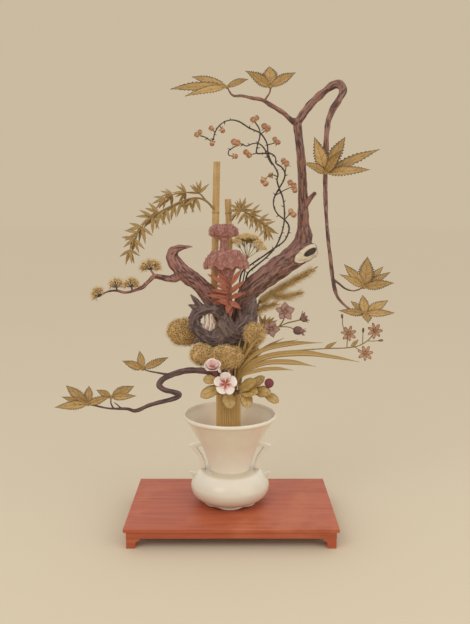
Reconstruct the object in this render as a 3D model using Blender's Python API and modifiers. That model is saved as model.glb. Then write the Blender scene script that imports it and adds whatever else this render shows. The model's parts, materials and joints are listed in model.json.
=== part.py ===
"""Standing ikebana arrangement in a white two-handled vase on a low lacquered stand.

Metres, +Z up. The design frame has its origin on the floor under the vase axis, with X to the
right and Y away from the front. The whole arrangement hangs from one empty that moves the middle
of its footprint to the origin.
"""
import bpy
import bmesh
import math
from mathutils import Matrix, Vector

# driving dimensions
STAND_WIDTH = 0.500
STAND_FRONT = -0.170
STAND_BACK = 0.137
STAND_SHIFT = 0.004
STAND_TOP = 0.050
BOARD_THICK = 0.009
APRON_DROP = 0.016
APRON_INSET = 0.006
APRON_WALL = 0.012
LEG_WIDTH = 0.033
LEG_HEIGHT = 0.0244
SEAT_GAP = 0.0003

VASE_STEPS = 28
HANDLE_DEPTH = 0.014
FOOT_NOTCH = 0.0040

BUNDLE_X = -0.004
BUNDLE_RADIUS = 0.031
BUNDLE_BOTTOM = 0.0660
BUNDLE_TOP = 0.3300
STEM_FOOT = 0.3304
FOOT_RISE = 0.0030
STRAW_COUNT = 22

LEAF_THICK = 0.0016
ROOT_SINK = 0.0010
HUB_RADIUS = 0.0035
HUB_GAP = 0.0050
WOOD_PLATE = 0.72
WOOD_Y = -0.0275

ARRANGEMENT = "ikebana_arrangement"


# ---------------------------------------------------------------- scene and materials
def clear_scene():
    """Remove whatever the new file starts with."""
    for thing in list(bpy.data.objects):
        bpy.data.objects.remove(thing, do_unlink=True)


def make_collection(name):
    group = bpy.data.collections.new(name)
    bpy.context.scene.collection.children.link(group)
    return group


def make_material(name, color, roughness, coat=0.0):
    material = bpy.data.materials.new(name)
    material.use_nodes = True
    shader = material.node_tree.nodes["Principled BSDF"]
    shader.inputs["Base Color"].default_value = (*color, 1.0)
    shader.inputs["Roughness"].default_value = roughness
    shader.inputs["Coat Weight"].default_value = coat
    material.diffuse_color = (*color, 1.0)
    return material


def build_materials():
    """One material for each kind of surface in the arrangement."""
    return {
        "glaze": make_material("white_glaze", (0.74, 0.64, 0.48), 0.28, 0.5),
        "lacquer": make_material("orange_lacquer", (0.50, 0.12, 0.06), 0.42, 0.2),
        "straw": make_material("cut_straw", (0.50, 0.33, 0.12), 0.80),
        "cord": make_material("tie_cord", (0.36, 0.24, 0.11), 0.85),
        "bark": make_material("plum_brown_bark", (0.19, 0.09, 0.07), 0.85),
        "driftwood": make_material("weathered_wood", (0.12, 0.075, 0.065), 0.88),
        "leaf": make_material("ochre_leaf", (0.42, 0.27, 0.08), 0.62),
        "needle": make_material("ochre_needle", (0.38, 0.26, 0.09), 0.70),
        "bamboo": make_material("bamboo_culm", (0.50, 0.34, 0.11), 0.50),
        "crest": make_material("rose_crest", (0.36, 0.10, 0.09), 0.90),
        "redleaf": make_material("red_orange_leaf", (0.46, 0.12, 0.05), 0.62),
        "vine": make_material("dark_vine", (0.12, 0.08, 0.05), 0.70),
        "umbel": make_material("yellow_umbel", (0.62, 0.40, 0.10), 0.75),
        "mauve": make_material("mauve_petal", (0.22, 0.12, 0.14), 0.60),
        "aster": make_material("russet_petal", (0.46, 0.20, 0.12), 0.65),
        "camellia": make_material("white_petal", (0.76, 0.66, 0.56), 0.50),
    }


# ---------------------------------------------------------------- mesh helpers
def object_from(name, mesh_builder, smooth=False):
    """Mesh object from a bmesh that already holds its final geometry."""
    mesh = bpy.data.meshes.new(name)
    mesh_builder.to_mesh(mesh)
    mesh_builder.free()
    if smooth:
        mesh.polygons.foreach_set("use_smooth", [True] * len(mesh.polygons))
    thing = bpy.data.objects.new(name, mesh)
    CUTTERS.objects.link(thing)
    return thing


def bake(thing, name, smooth=False):
    """Plain mesh object of what a curve or modified object shows, in place of the original."""
    bpy.context.view_layer.update()
    graph = bpy.context.evaluated_depsgraph_get()
    mesh = bpy.data.meshes.new_from_object(thing.evaluated_get(graph), depsgraph=graph)
    mesh.transform(thing.matrix_world)
    builder = bmesh.new()
    builder.from_mesh(mesh)
    bmesh.ops.remove_doubles(builder, verts=builder.verts, dist=0.00001)
    bmesh.ops.recalc_face_normals(builder, faces=builder.faces)
    bpy.data.objects.remove(thing, do_unlink=True)
    bpy.data.meshes.remove(mesh)
    return object_from(name, builder, smooth)


def union(name, pieces, smooth=True):
    """Join overlapping closed pieces into one closed body."""
    if len(pieces) == 1:
        return bake(pieces[0], name, smooth)
    base = pieces[0]
    helpers = make_collection(name + "_pieces")
    for piece in pieces[1:]:
        CUTTERS.objects.unlink(piece)
        helpers.objects.link(piece)
    join = base.modifiers.new("join", "BOOLEAN")
    join.operation = "UNION"
    join.operand_type = "COLLECTION"
    join.collection = helpers
    join.solver = "EXACT"
    join.use_self = True
    result = bake(base, name, smooth)
    for piece in list(helpers.objects):
        bpy.data.objects.remove(piece, do_unlink=True)
    bpy.data.collections.remove(helpers)
    return result


def subtract(base, cutter, name, smooth=True):
    """Cut one closed piece out of another."""
    cutter.hide_render = True
    cutter.display_type = "WIRE"
    cut = base.modifiers.new("cut", "BOOLEAN")
    cut.operation = "DIFFERENCE"
    cut.object = cutter
    cut.solver = "EXACT"
    result = bake(base, name, smooth)
    bpy.data.objects.remove(cutter, do_unlink=True)
    return result


def limb(name, route, sides=2):
    """Tapered round limb along hand-chosen points (x, y, z, radius), with closed ends."""
    curve = bpy.data.curves.new(name, "CURVE")
    curve.dimensions = "3D"
    curve.bevel_depth = 1.0
    curve.bevel_resolution = sides
    curve.use_fill_caps = True
    spline = curve.splines.new("POLY")
    spline.points.add(len(route) - 1)
    for point, (x, y, z, radius) in zip(spline.points, route):
        point.co = (x, y, z, 1.0)
        point.radius = radius
    thing = bpy.data.objects.new(name, curve)
    CUTTERS.objects.link(thing)
    return bake(thing, name, True)


def rooted(route):
    """The same route with its first few millimetres standing straight on the bundle."""
    x, y, z, radius = route[0]
    return [(x, y, z, radius), (x, y, z + FOOT_RISE, radius)] + route[1:]


def shortened(route, gap):
    """The same route with its last point drawn back along the last stretch."""
    end = Vector(route[-1][:3])
    before = Vector(route[-2][:3])
    moved = end + (before - end).normalized() * gap
    return route[:-1] + [(moved.x, moved.y, moved.z, route[-1][3])]


def aim_matrix(along, facing):
    """Turn that puts local Z along one direction with local Y as near as it can to the facing."""
    axis_z = Vector(along).normalized()
    axis_x = Vector(facing).cross(axis_z)
    if axis_x.length < 0.0001:
        axis_x = axis_z.orthogonal()
    axis_x.normalize()
    axis_y = axis_z.cross(axis_x)
    return Matrix((axis_x, axis_y, axis_z)).transposed()


def leaf(base, reach, width, facing=(0.0, -1.0, 0.35), bend=0.10, rows=3, thick=LEAF_THICK):
    """Thin pointed blade from its base along reach, broad side towards facing, tip bent back."""
    builder = bmesh.new()
    bmesh.ops.create_uvsphere(builder, u_segments=4, v_segments=rows, radius=1.0)
    length = Vector(reach).length
    turn = aim_matrix(reach, facing)
    base = Vector(base) - Vector(reach).normalized() * ROOT_SINK
    for vert in builder.verts:
        share = (vert.co.z + 1.0) / 2.0
        side = vert.co.x * width / 2.0
        rise = vert.co.y * thick / 2.0 - bend * length * (share * share)
        vert.co = base + turn @ Vector((side, rise, share * length))
    return object_from("leaf", builder)


def ball(at, radii, cuts=2):
    """Small rounded lump."""
    builder = bmesh.new()
    bmesh.ops.create_icosphere(builder, subdivisions=cuts, radius=1.0)
    for vert in builder.verts:
        vert.co = Vector((vert.co.x * radii[0], vert.co.y * radii[1], vert.co.z * radii[2]))
        vert.co += Vector(at)
    return object_from("ball", builder, True)


def block(name, low, high):
    builder = bmesh.new()
    bmesh.ops.create_cube(builder, size=1.0)
    for vert in builder.verts:
        spread = [low[i] + (vert.co[i] + 0.5) * (high[i] - low[i]) for i in range(3)]
        vert.co = Vector(spread)
    return object_from(name, builder)


def outline_plate(name, points, depth, y_middle):
    """Flat outline in the XZ plane given a thickness along Y."""
    curve = bpy.data.curves.new(name, "CURVE")
    curve.dimensions = "2D"
    curve.fill_mode = "BOTH"
    curve.extrude = depth / 2.0
    spline = curve.splines.new("POLY")
    spline.points.add(len(points) - 1)
    for point, (x, z) in zip(spline.points, points):
        point.co = (x, z, 0.0, 1.0)
    spline.use_cyclic_u = True
    thing = bpy.data.objects.new(name, curve)
    thing.rotation_euler = (math.pi / 2.0, 0.0, 0.0)
    thing.location = (0.0, y_middle, 0.0)
    CUTTERS.objects.link(thing)
    return bake(thing, name)


def turned(name, profile, steps):
    """Solid of revolution about Z from (radius, height) points that start and end on the axis."""
    builder = bmesh.new()
    verts = [builder.verts.new((radius, 0.0, height)) for radius, height in profile]
    for first, second in zip(verts, verts[1:]):
        builder.edges.new((first, second))
    thing = object_from(name, builder)
    screw = thing.modifiers.new("turn", "SCREW")
    screw.steps = steps
    screw.render_steps = steps
    screw.use_merge_vertices = True
    screw.merge_threshold = 0.0001
    screw.use_normal_calculate = True
    return bake(thing, name, True)


def finish(thing, name, material):
    """Name a finished body, give it its surface and hang it in the arrangement."""
    thing.name = name
    thing.data.name = name
    thing.data.materials.clear()
    thing.data.materials.append(MATERIALS[material])
    CUTTERS.objects.unlink(thing)
    OBJECTS.objects.link(thing)
    thing.parent = ROOT
    return thing


# ---------------------------------------------------------------- stand
def build_stand():
    """Low board on a recessed apron with four bracket legs."""
    left = STAND_SHIFT - STAND_WIDTH / 2.0
    right = STAND_SHIFT + STAND_WIDTH / 2.0
    board_low = STAND_TOP - BOARD_THICK
    board = block("board", (left, STAND_FRONT, board_low), (right, STAND_BACK, STAND_TOP))
    soften = board.modifiers.new("soften", "BEVEL")
    soften.width = 0.0012
    soften.segments = 1
    finish(bake(board, "stand_board"), "stand_board", "lacquer")
    build_apron(left, right, board_low - SEAT_GAP)
    build_legs(left, right)


def build_apron(left, right, top):
    inset = APRON_INSET
    low = (left + inset, STAND_FRONT + inset, top - APRON_DROP)
    high = (right - inset, STAND_BACK - inset, top)
    frame = block("apron", low, high)
    wall = APRON_WALL
    hole_low = (low[0] + wall, low[1] + wall, low[2] - 0.01)
    hole_high = (high[0] - wall, high[1] - wall, high[2] + 0.01)
    cutter = block("apron_hole", hole_low, hole_high)
    finish(subtract(frame, cutter, "stand_apron", False), "stand_apron", "lacquer")


def leg_outline(x_outer, direction):
    """Bracket leg seen from the front: straight outer side and a curled inner lower corner."""
    shape = [(0.0, 0.0), (0.018, 0.0), (0.022, 0.003), (0.0225, 0.007), (0.0215, 0.011)]
    shape += [(0.023, 0.015), (0.027, 0.018), (0.031, 0.0195), (LEG_WIDTH, LEG_HEIGHT)]
    shape += [(0.0, LEG_HEIGHT)]
    return [(x_outer + direction * across, height) for across, height in shape]


def build_legs(left, right):
    inset = APRON_INSET
    half = LEG_WIDTH / 2.0
    for side, x_outer, direction in (("left", left + inset, 1.0), ("right", right - inset, -1.0)):
        for place, y_middle in (
            ("front", STAND_FRONT + inset + half),
            ("back", STAND_BACK - inset - half),
        ):
            name = "stand_leg_" + place + "_" + side
            plate = outline_plate(name, leg_outline(x_outer, direction), LEG_WIDTH, y_middle)
            finish(plate, name, "lacquer")


# ---------------------------------------------------------------- vase
def vase_profile():
    """From the middle of the inner floor, up the inside, over the lip and down the outside."""
    inside = [(0.0, 0.0645), (0.0600, 0.0655), (0.0785, 0.0705), (0.0885, 0.0765)]
    inside += [(0.0935, 0.0860), (0.0928, 0.0965), (0.0870, 0.1065), (0.0775, 0.1155)]
    inside += [(0.0660, 0.1225), (0.0530, 0.1255), (0.0474, 0.1330), (0.0488, 0.1440)]
    inside += [(0.0528, 0.1580), (0.0598, 0.1790), (0.0692, 0.2010), (0.0800, 0.2210)]
    inside += [(0.0930, 0.2440), (0.1030, 0.2580), (0.1085, 0.2670), (0.1105, 0.2735)]
    lip = [(0.1120, 0.2762), (0.1145, 0.2765), (0.1163, 0.2730), (0.1155, 0.2680)]
    outside = [(0.1115, 0.2640), (0.1045, 0.2540), (0.0975, 0.2430), (0.0845, 0.2200)]
    outside += [(0.0735, 0.2000), (0.0640, 0.1780), (0.0570, 0.1570), (0.0530, 0.1430)]
    outside += [(0.0515, 0.1340), (0.0565, 0.1315), (0.0700, 0.1290), (0.0820, 0.1210)]
    outside += [(0.0915, 0.1105), (0.0975, 0.0980), (0.0985, 0.0895), (0.0965, 0.0800)]
    outside += [(0.0905, 0.0700), (0.0800, 0.0625), (0.0665, 0.0595), (0.0655, 0.0570)]
    foot = [(0.0655, 0.0503), (0.0575, 0.0503), (0.0555, 0.0555), (0.0, 0.0575)]
    return inside + lip + outside + foot


def handle_outline(direction):
    """Hooked strap from the flaring neck down to the shoulder of the belly."""
    outer = [(0.0700, 0.2003), (0.0860, 0.1990), (0.1035, 0.1935), (0.0898, 0.1780)]
    outer += [(0.0797, 0.1650), (0.0742, 0.1457), (0.0730, 0.1260), (0.0640, 0.1240)]
    inner = [(0.0620, 0.1380), (0.0655, 0.1570), (0.0732, 0.1725), (0.0850, 0.1900)]
    inner += [(0.0675, 0.1912)]
    return [(direction * across, height) for across, height in outer + inner]


def spur_outline(direction):
    """Small horn standing off the shoulder."""
    shape = [(0.0800, 0.1190), (0.1020, 0.1235), (0.0925, 0.1085), (0.0850, 0.1050)]
    return [(direction * across, height) for across, height in shape]


def foot_notch(angle):
    """Long flat lens lying across the foot ring, hollowing its underside between the lobes."""
    builder = bmesh.new()
    bmesh.ops.create_uvsphere(builder, u_segments=8, v_segments=4, radius=1.0)
    turn = Matrix.Rotation(angle, 3, "Z")
    for vert in builder.verts:
        spread = Vector((vert.co.x * 0.120, vert.co.y * 0.020, vert.co.z * FOOT_NOTCH))
        vert.co = turn @ spread + Vector((0.0, 0.0, 0.0490))
    return object_from("foot_notch", builder)


def build_vase():
    """White vase: wide trumpet mouth, narrow neck, squat belly, lobed foot, two hooked straps."""
    pieces = [turned("vase_wall", vase_profile(), VASE_STEPS)]
    for direction in (-1.0, 1.0):
        pieces.append(outline_plate("strap", handle_outline(direction), HANDLE_DEPTH, 0.0))
        pieces.append(outline_plate("spur", spur_outline(direction), HANDLE_DEPTH * 0.6, 0.0))
    vase = union("vase_body", pieces)
    for turn in (0.35, 1.40, 2.45):
        vase = subtract(vase, foot_notch(turn), "vase_body")
    finish(vase, "vase_body", "glaze")


# ---------------------------------------------------------------- straw bundle
def build_bundle():
    """Tight round bundle of upright straws that grips every stem."""
    builder = bmesh.new()
    low = []
    high = []
    for index in range(STRAW_COUNT * 2):
        angle = math.pi * index / STRAW_COUNT
        radius = BUNDLE_RADIUS if index % 2 == 0 else BUNDLE_RADIUS - 0.0012
        x = BUNDLE_X + radius * math.cos(angle)
        y = radius * math.sin(angle)
        low.append(builder.verts.new((x, y, BUNDLE_BOTTOM)))
        high.append(builder.verts.new((x, y, BUNDLE_TOP)))
    builder.faces.new(list(reversed(low)))
    builder.faces.new(high)
    count = len(low)
    for index in range(count):
        after = (index + 1) % count
        builder.faces.new((low[index], low[after], high[after], high[index]))
    finish(object_from("straw_bundle", builder), "straw_bundle", "straw")
    bpy.ops.mesh.primitive_torus_add(
        major_segments=18,
        minor_segments=4,
        major_radius=BUNDLE_RADIUS + 0.0024,
        minor_radius=0.0018,
        location=(BUNDLE_X, 0.0, 0.236),
    )
    tie = bpy.context.object
    for group in list(tie.users_collection):
        group.objects.unlink(tie)
    CUTTERS.objects.link(tie)
    finish(bake(tie, "bundle_tie", True), "bundle_tie", "cord")


# ---------------------------------------------------------------- leafy branches
def rosette(name, at, leaves, material="leaf", hub=HUB_RADIUS):
    """Spray of pointed leaves from one bud."""
    pieces = [ball(at, (hub, hub, hub), 1)]
    for dx, dy, dz, width in leaves:
        pieces.append(leaf(at, (dx, dy, dz), width, rows=4))
    finish(union(name, pieces), name, material)


def build_main_branch():
    """Old branch: leaning trunk, hollow knot, arch to the right and thin limb to the left."""
    trunk = [(0.009, 0.011, STEM_FOOT, 0.0075), (0.007, 0.019, 0.420, 0.0085)]
    trunk += [(0.007, 0.026, 0.472, 0.0100), (0.016, 0.026, 0.518, 0.0135)]
    trunk += [(0.028, 0.024, 0.550, 0.0170), (0.050, 0.022, 0.583, 0.0235)]
    trunk += [(0.079, 0.020, 0.608, 0.0258), (0.118, 0.020, 0.637, 0.0265)]
    trunk += [(0.152, 0.020, 0.662, 0.0270), (0.172, 0.020, 0.686, 0.0255)]
    trunk += [(0.180, 0.020, 0.712, 0.0195), (0.179, 0.020, 0.749, 0.0134)]
    trunk += [(0.177, 0.018, 0.802, 0.0109), (0.172, 0.012, 0.884, 0.0096)]
    trunk += [(0.165, 0.008, 0.940, 0.0090), (0.158, 0.004, 0.988, 0.0092)]
    knot = [(0.160, 0.018, 0.664, 0.0240), (0.186, 0.010, 0.677, 0.0225)]
    knot += [(0.204, 0.006, 0.682, 0.0165)]
    stub = [(0.178, 0.018, 0.778, 0.0078), (0.191, 0.010, 0.802, 0.0060)]
    stub += [(0.205, 0.002, 0.819, 0.0045)]
    left = [(0.159, 0.004, 0.978, 0.0071), (0.142, 0.000, 0.990, 0.0059)]
    left += [(0.123, -0.006, 1.005, 0.0054), (0.096, -0.014, 1.019, 0.0051)]
    left += [(0.075, -0.020, 1.030, 0.0044), (0.052, -0.026, 1.033, 0.0037)]
    left += [(0.029, -0.032, 1.037, 0.0032), (0.007, -0.038, 1.037, 0.0027)]
    left += [(-0.006, -0.042, 1.055, 0.0020)]
    twig = [(0.081, -0.019, 1.029, 0.0028), (0.093, -0.012, 1.048, 0.0021)]
    twig += [(0.095, -0.008, 1.061, 0.0019)]
    right = [(0.158, 0.004, 0.980, 0.0089), (0.188, 0.012, 1.021, 0.0083)]
    right += [(0.218, 0.016, 1.050, 0.0083), (0.244, 0.016, 1.069, 0.0089)]
    right += [(0.258, 0.010, 1.070, 0.0098), (0.265, -0.002, 1.053, 0.0088)]
    right += [(0.256, -0.012, 1.034, 0.0077), (0.238, -0.020, 1.005, 0.0072)]
    right += [(0.228, -0.026, 0.977, 0.0065), (0.224, -0.032, 0.934, 0.0063)]
    right += [(0.223, -0.036, 0.881, 0.0056), (0.223, -0.038, 0.824, 0.0051)]
    right += [(0.227, -0.042, 0.752, 0.0044), (0.232, -0.046, 0.701, 0.0042)]
    right += [(0.238, -0.050, 0.652, 0.0045), (0.243, -0.054, 0.615, 0.0045)]
    right += [(0.253, -0.060, 0.576, 0.0038), (0.275, -0.066, 0.552, 0.0031)]
    right += [(0.294, -0.070, 0.541, 0.0028), (0.317, -0.072, 0.537, 0.0021)]
    lower = [(0.243, -0.054, 0.617, 0.0034), (0.261, -0.048, 0.603, 0.0026)]
    lower += [(0.276, -0.042, 0.592, 0.0024), (0.298, -0.034, 0.587, 0.0021)]
    lower += [(0.321, -0.030, 0.595, 0.0019)]
    pieces = [limb("trunk", rooted(trunk)), limb("knot", knot), limb("stub", stub)]
    pieces += [limb("left", shortened(left, HUB_GAP)), limb("twig", shortened(twig, HUB_GAP))]
    pieces += [limb("right", shortened(right, HUB_GAP)), limb("lower", shortened(lower, HUB_GAP))]
    branch = union("main_branch", pieces)
    hollow = ball((0.197, -0.014, 0.677), (0.0100, 0.0130, 0.0065))
    finish(subtract(branch, hollow, "main_branch"), "main_branch", "bark")


def build_main_leaves():
    """Leaf sprays at the ends and along the arch of the main branch."""
    rosette("leaves_top_left", (-0.006, -0.042, 1.055), [
        (-0.129, -0.018, 0.002, 0.023), (-0.085, 0.026, 0.035, 0.020),
        (0.045, -0.028, 0.015, 0.017), (-0.090, -0.053, -0.021, 0.018),
    ])
    rosette("leaves_top", (0.095, -0.008, 1.061), [
        (-0.001, 0.024, 0.062, 0.035), (-0.055, -0.037, 0.031, 0.024),
        (0.057, -0.012, 0.034, 0.022),
    ])
    rosette("leaves_middle", (0.222, -0.0472, 0.862), [
        (-0.051, -0.029, 0.024, 0.020), (-0.028, -0.012, 0.081, 0.028),
        (0.041, -0.008, 0.084, 0.030), (0.026, -0.042, 0.046, 0.021),
        (0.129, 0.010, 0.064, 0.021), (0.092, -0.044, 0.009, 0.022),
    ])
    rosette("leaves_right_upper", (0.321, -0.030, 0.595), [
        (0.013, 0.020, 0.075, 0.034), (-0.049, -0.020, 0.056, 0.022),
        (-0.060, -0.052, 0.036, 0.016), (0.056, 0.036, 0.053, 0.017),
        (0.067, 0.010, 0.040, 0.016), (0.060, -0.040, 0.017, 0.022),
    ])
    rosette("leaves_right_lower", (0.317, -0.072, 0.537), [
        (-0.005, 0.012, 0.045, 0.021), (-0.063, -0.034, 0.013, 0.016),
        (-0.028, 0.042, 0.030, 0.016), (0.059, 0.012, 0.033, 0.021),
        (0.067, -0.018, 0.006, 0.016), (0.001, -0.043, -0.011, 0.021),
    ])


def build_low_branch():
    """Low branch that leaves the bundle to the left in a loose bend."""
    main = [(-0.012, -0.021, STEM_FOOT, 0.0055), (-0.014, -0.030, 0.368, 0.0068)]
    main += [(-0.038, -0.045, 0.387, 0.0075), (-0.059, -0.052, 0.395, 0.0074)]
    main += [(-0.086, -0.056, 0.398, 0.0072), (-0.113, -0.060, 0.396, 0.0069)]
    main += [(-0.137, -0.066, 0.390, 0.0067), (-0.158, -0.074, 0.381, 0.0066)]
    main += [(-0.167, -0.080, 0.368, 0.0064), (-0.155, -0.086, 0.358, 0.0061)]
    main += [(-0.133, -0.092, 0.354, 0.0056), (-0.117, -0.096, 0.349, 0.0054)]
    main += [(-0.126, -0.100, 0.342, 0.0052), (-0.153, -0.104, 0.335, 0.0049)]
    main += [(-0.186, -0.108, 0.327, 0.0047), (-0.220, -0.112, 0.314, 0.0042)]
    main += [(-0.238, -0.112, 0.319, 0.0033), (-0.281, -0.112, 0.320, 0.0023)]
    main += [(-0.313, -0.110, 0.326, 0.0020), (-0.330, -0.108, 0.329, 0.0019)]
    upper = [(-0.141, -0.067, 0.389, 0.0034), (-0.167, -0.060, 0.392, 0.0023)]
    upper += [(-0.194, -0.052, 0.395, 0.0020), (-0.210, -0.046, 0.399, 0.0018)]
    middle = [(-0.270, -0.112, 0.320, 0.0022), (-0.275, -0.116, 0.333, 0.0017)]
    middle += [(-0.274, -0.120, 0.349, 0.0016)]
    pieces = [limb("main", shortened(rooted(main), HUB_GAP)), limb("upper", shortened(upper, HUB_GAP))]
    pieces.append(limb("middle", shortened(middle, HUB_GAP)))
    finish(union("low_branch", pieces), "low_branch", "bark")
    rosette("leaves_low_upper", (-0.210, -0.046, 0.399), [
        (-0.043, -0.024, 0.025, 0.018), (-0.011, 0.022, 0.043, 0.017),
        (0.063, 0.026, 0.025, 0.017),
    ])
    rosette("leaves_low_middle", (-0.274, -0.120, 0.349), [
        (-0.028, -0.020, 0.023, 0.015), (0.053, 0.012, 0.025, 0.022),
        (0.060, -0.045, 0.015, 0.015),
    ])
    rosette("leaves_low_left", (-0.330, -0.108, 0.329), [
        (-0.060, 0.023, 0.042, 0.022), (-0.004, 0.030, 0.040, 0.020),
        (0.056, -0.052, 0.032, 0.017), (-0.056, -0.022, 0.024, 0.014),
        (-0.068, -0.037, 0.005, 0.019),
    ])


# ---------------------------------------------------------------- pine
def build_pine_branch():
    """Old pine limb with a long low arm to the left."""
    trunk = [(-0.013, 0.007, STEM_FOOT, 0.0068), (-0.011, 0.006, 0.420, 0.0085)]
    trunk += [(-0.010, 0.006, 0.495, 0.0105), (-0.020, 0.010, 0.518, 0.0165)]
    trunk += [(-0.028, 0.016, 0.538, 0.0215), (-0.051, 0.014, 0.571, 0.0205)]
    trunk += [(-0.076, 0.008, 0.599, 0.0177), (-0.097, 0.004, 0.615, 0.0177)]
    trunk += [(-0.114, 0.000, 0.629, 0.0176), (-0.128, -0.002, 0.646, 0.0163)]
    trunk += [(-0.139, -0.003, 0.663, 0.0139), (-0.137, -0.004, 0.677, 0.0109)]
    trunk += [(-0.125, -0.006, 0.686, 0.0072), (-0.106, -0.010, 0.690, 0.0041)]
    trunk += [(-0.089, -0.014, 0.691, 0.0014)]
    arm = [(-0.113, -0.002, 0.624, 0.0097), (-0.130, -0.006, 0.616, 0.0090)]
    arm += [(-0.150, -0.014, 0.614, 0.0072), (-0.166, -0.020, 0.618, 0.0060)]
    arm += [(-0.181, -0.026, 0.620, 0.0055), (-0.193, -0.032, 0.610, 0.0050)]
    arm += [(-0.205, -0.038, 0.598, 0.0045), (-0.222, -0.046, 0.590, 0.0036)]
    arm += [(-0.247, -0.054, 0.585, 0.0031), (-0.266, -0.060, 0.590, 0.0026)]
    arm += [(-0.287, -0.066, 0.588, 0.0021), (-0.303, -0.073, 0.578, 0.0019)]
    spur = [(-0.177, -0.025, 0.618, 0.0030), (-0.190, -0.020, 0.636, 0.0022)]
    pieces = [limb("trunk", rooted(trunk)), limb("arm", shortened(arm, HUB_GAP))]
    pieces.append(limb("spur", shortened(spur, HUB_GAP)))
    finish(union("pine_branch", pieces), "pine_branch", "bark")


def needle_pad(name, at, half_width, height, tilt=0.0):
    """Domed fan of needles over a short shoot."""
    pieces = [ball(at, (0.0034, 0.0034, 0.0034), 1)]
    for index in range(7):
        swing = math.radians(tilt - 78.0 + 26.0 * index)
        lean = -0.35 if index % 2 == 0 else 0.30
        reach = (half_width * math.sin(swing), lean * height, height * math.cos(swing) + 0.004)
        pieces.append(leaf(at, reach, half_width * 0.50, bend=-0.05, thick=0.004))
    finish(union(name, pieces), name, "needle")


def build_needle_pads():
    needle_pad("pine_pad_inner", (-0.190, -0.020, 0.636), 0.0290, 0.0300)
    needle_pad("pine_pad_second", (-0.232, -0.050, 0.5970), 0.0215, 0.0280)
    needle_pad("pine_pad_third", (-0.266, -0.061, 0.5975), 0.0200, 0.0280)
    needle_pad("pine_pad_tip", (-0.303, -0.073, 0.578), 0.0190, 0.0300, -34.0)


def brush(route):
    """Row of short needle spindles round a shoot."""
    pieces = []
    for index, (x, y, z, reach) in enumerate(route):
        turn = index * 2.4
        away = Vector((0.55, math.cos(turn) * 0.45, math.sin(turn) * 0.75)).normalized()
        pieces.append(leaf((x, y, z), away * reach, reach * 0.42, bend=0.0, thick=0.004))
    return pieces


def build_young_pine():
    """Two soft young pine shoots that rise to the right behind the trunk."""
    upper = [(0.0235, 0.0035, STEM_FOOT, 0.0022), (0.034, 0.010, 0.400, 0.0023)]
    upper += [(0.042, 0.020, 0.460, 0.0024), (0.054, 0.031, 0.517, 0.0025)]
    upper += [(0.073, 0.042, 0.549, 0.0025), (0.102, 0.052, 0.568, 0.0023)]
    upper += [(0.144, 0.060, 0.592, 0.0020), (0.188, 0.067, 0.616, 0.0017)]
    upper += [(0.212, 0.071, 0.632, 0.0014)]
    lower = [(0.100, 0.051, 0.567, 0.0020), (0.136, 0.052, 0.562, 0.0017)]
    lower += [(0.178, 0.052, 0.572, 0.0013)]
    low = [(0.054, 0.031, 0.517, 0.0022), (0.072, 0.036, 0.533, 0.0019)]
    low += [(0.095, 0.037, 0.541, 0.0016), (0.122, 0.039, 0.546, 0.0013)]
    pieces = [limb("upper", rooted(upper)), limb("lower", lower), limb("low", low)]
    pieces += brush([(0.075, 0.042, 0.550, 0.020), (0.085, 0.046, 0.556, 0.022)])
    pieces += brush([(0.097, 0.050, 0.564, 0.024), (0.110, 0.053, 0.573, 0.024)])
    pieces += brush([(0.122, 0.056, 0.580, 0.024), (0.136, 0.0585, 0.588, 0.024)])
    pieces += brush([(0.150, 0.061, 0.596, 0.023), (0.165, 0.063, 0.604, 0.022)])
    pieces += brush([(0.180, 0.0655, 0.612, 0.021), (0.194, 0.068, 0.621, 0.018)])
    pieces += brush([(0.120, 0.0515, 0.5645, 0.020), (0.140, 0.052, 0.563, 0.020)])
    pieces += brush([(0.158, 0.052, 0.5675, 0.018), (0.090, 0.037, 0.539, 0.016)])
    pieces += brush([(0.106, 0.038, 0.543, 0.016)])
    finish(union("young_pine", pieces), "young_pine", "needle")


def pine_mound(name, at, radii, stem):
    """Rounded cushion of clipped pine tufts on its own stem."""
    builder = bmesh.new()
    bmesh.ops.create_icosphere(builder, subdivisions=3, radius=1.0)
    for vert in builder.verts:
        x, y, z = vert.co
        swell = 1.0 + 0.05 * math.sin(9.0 * x + 2.0) * math.cos(8.0 * z) + 0.03 * math.sin(11.0 * y)
        vert.co = Vector((x * radii[0], y * radii[1], z * radii[2])) * swell * 0.95 + Vector(at)
    pieces = [object_from(name, builder, True), limb("stem", rooted(stem))]
    finish(union(name, pieces), name, "needle")


def build_mounds():
    foot = STEM_FOOT
    pine_mound("pine_mound_left", (-0.1130, 0.0140, 0.4790), (0.0430, 0.0190, 0.0350), [
        (-0.024, -0.001, foot, 0.0020), (-0.036, 0.004, 0.400, 0.0020),
        (-0.062, 0.008, 0.445, 0.0020), (-0.100, 0.013, 0.474, 0.0020),
    ])
    pine_mound("pine_mound_mid", (-0.065, -0.038, 0.4330), (0.0320, 0.0190, 0.0275), [
        (-0.022, -0.0105, foot, 0.0020), (-0.036, -0.020, 0.400, 0.0020),
        (-0.056, -0.034, 0.422, 0.0020),
    ])
    pine_mound("pine_mound_front", (-0.009, -0.061, 0.4310), (0.0420, 0.0130, 0.0300), [
        (0.005, -0.0240, foot, 0.0015), (0.003, -0.040, 0.375, 0.0015),
        (0.000, -0.059, 0.418, 0.0015),
    ])
    pine_mound("pine_mound_upper", (0.0590, -0.0560, 0.4860), (0.0270, 0.0090, 0.0290), [
        (0.011, -0.0050, foot, 0.0016), (0.020, -0.012, 0.400, 0.0016),
        (0.046, -0.036, 0.446, 0.0016), (0.057, -0.054, 0.470, 0.0016),
    ])
    pine_mound("pine_mound_right", (0.0450, -0.0100, 0.4350), (0.0300, 0.0110, 0.0280), [
        (0.0130, 0.0000, foot, 0.0016), (0.022, -0.003, 0.380, 0.0016),
        (0.040, -0.009, 0.420, 0.0016),
    ])


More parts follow.
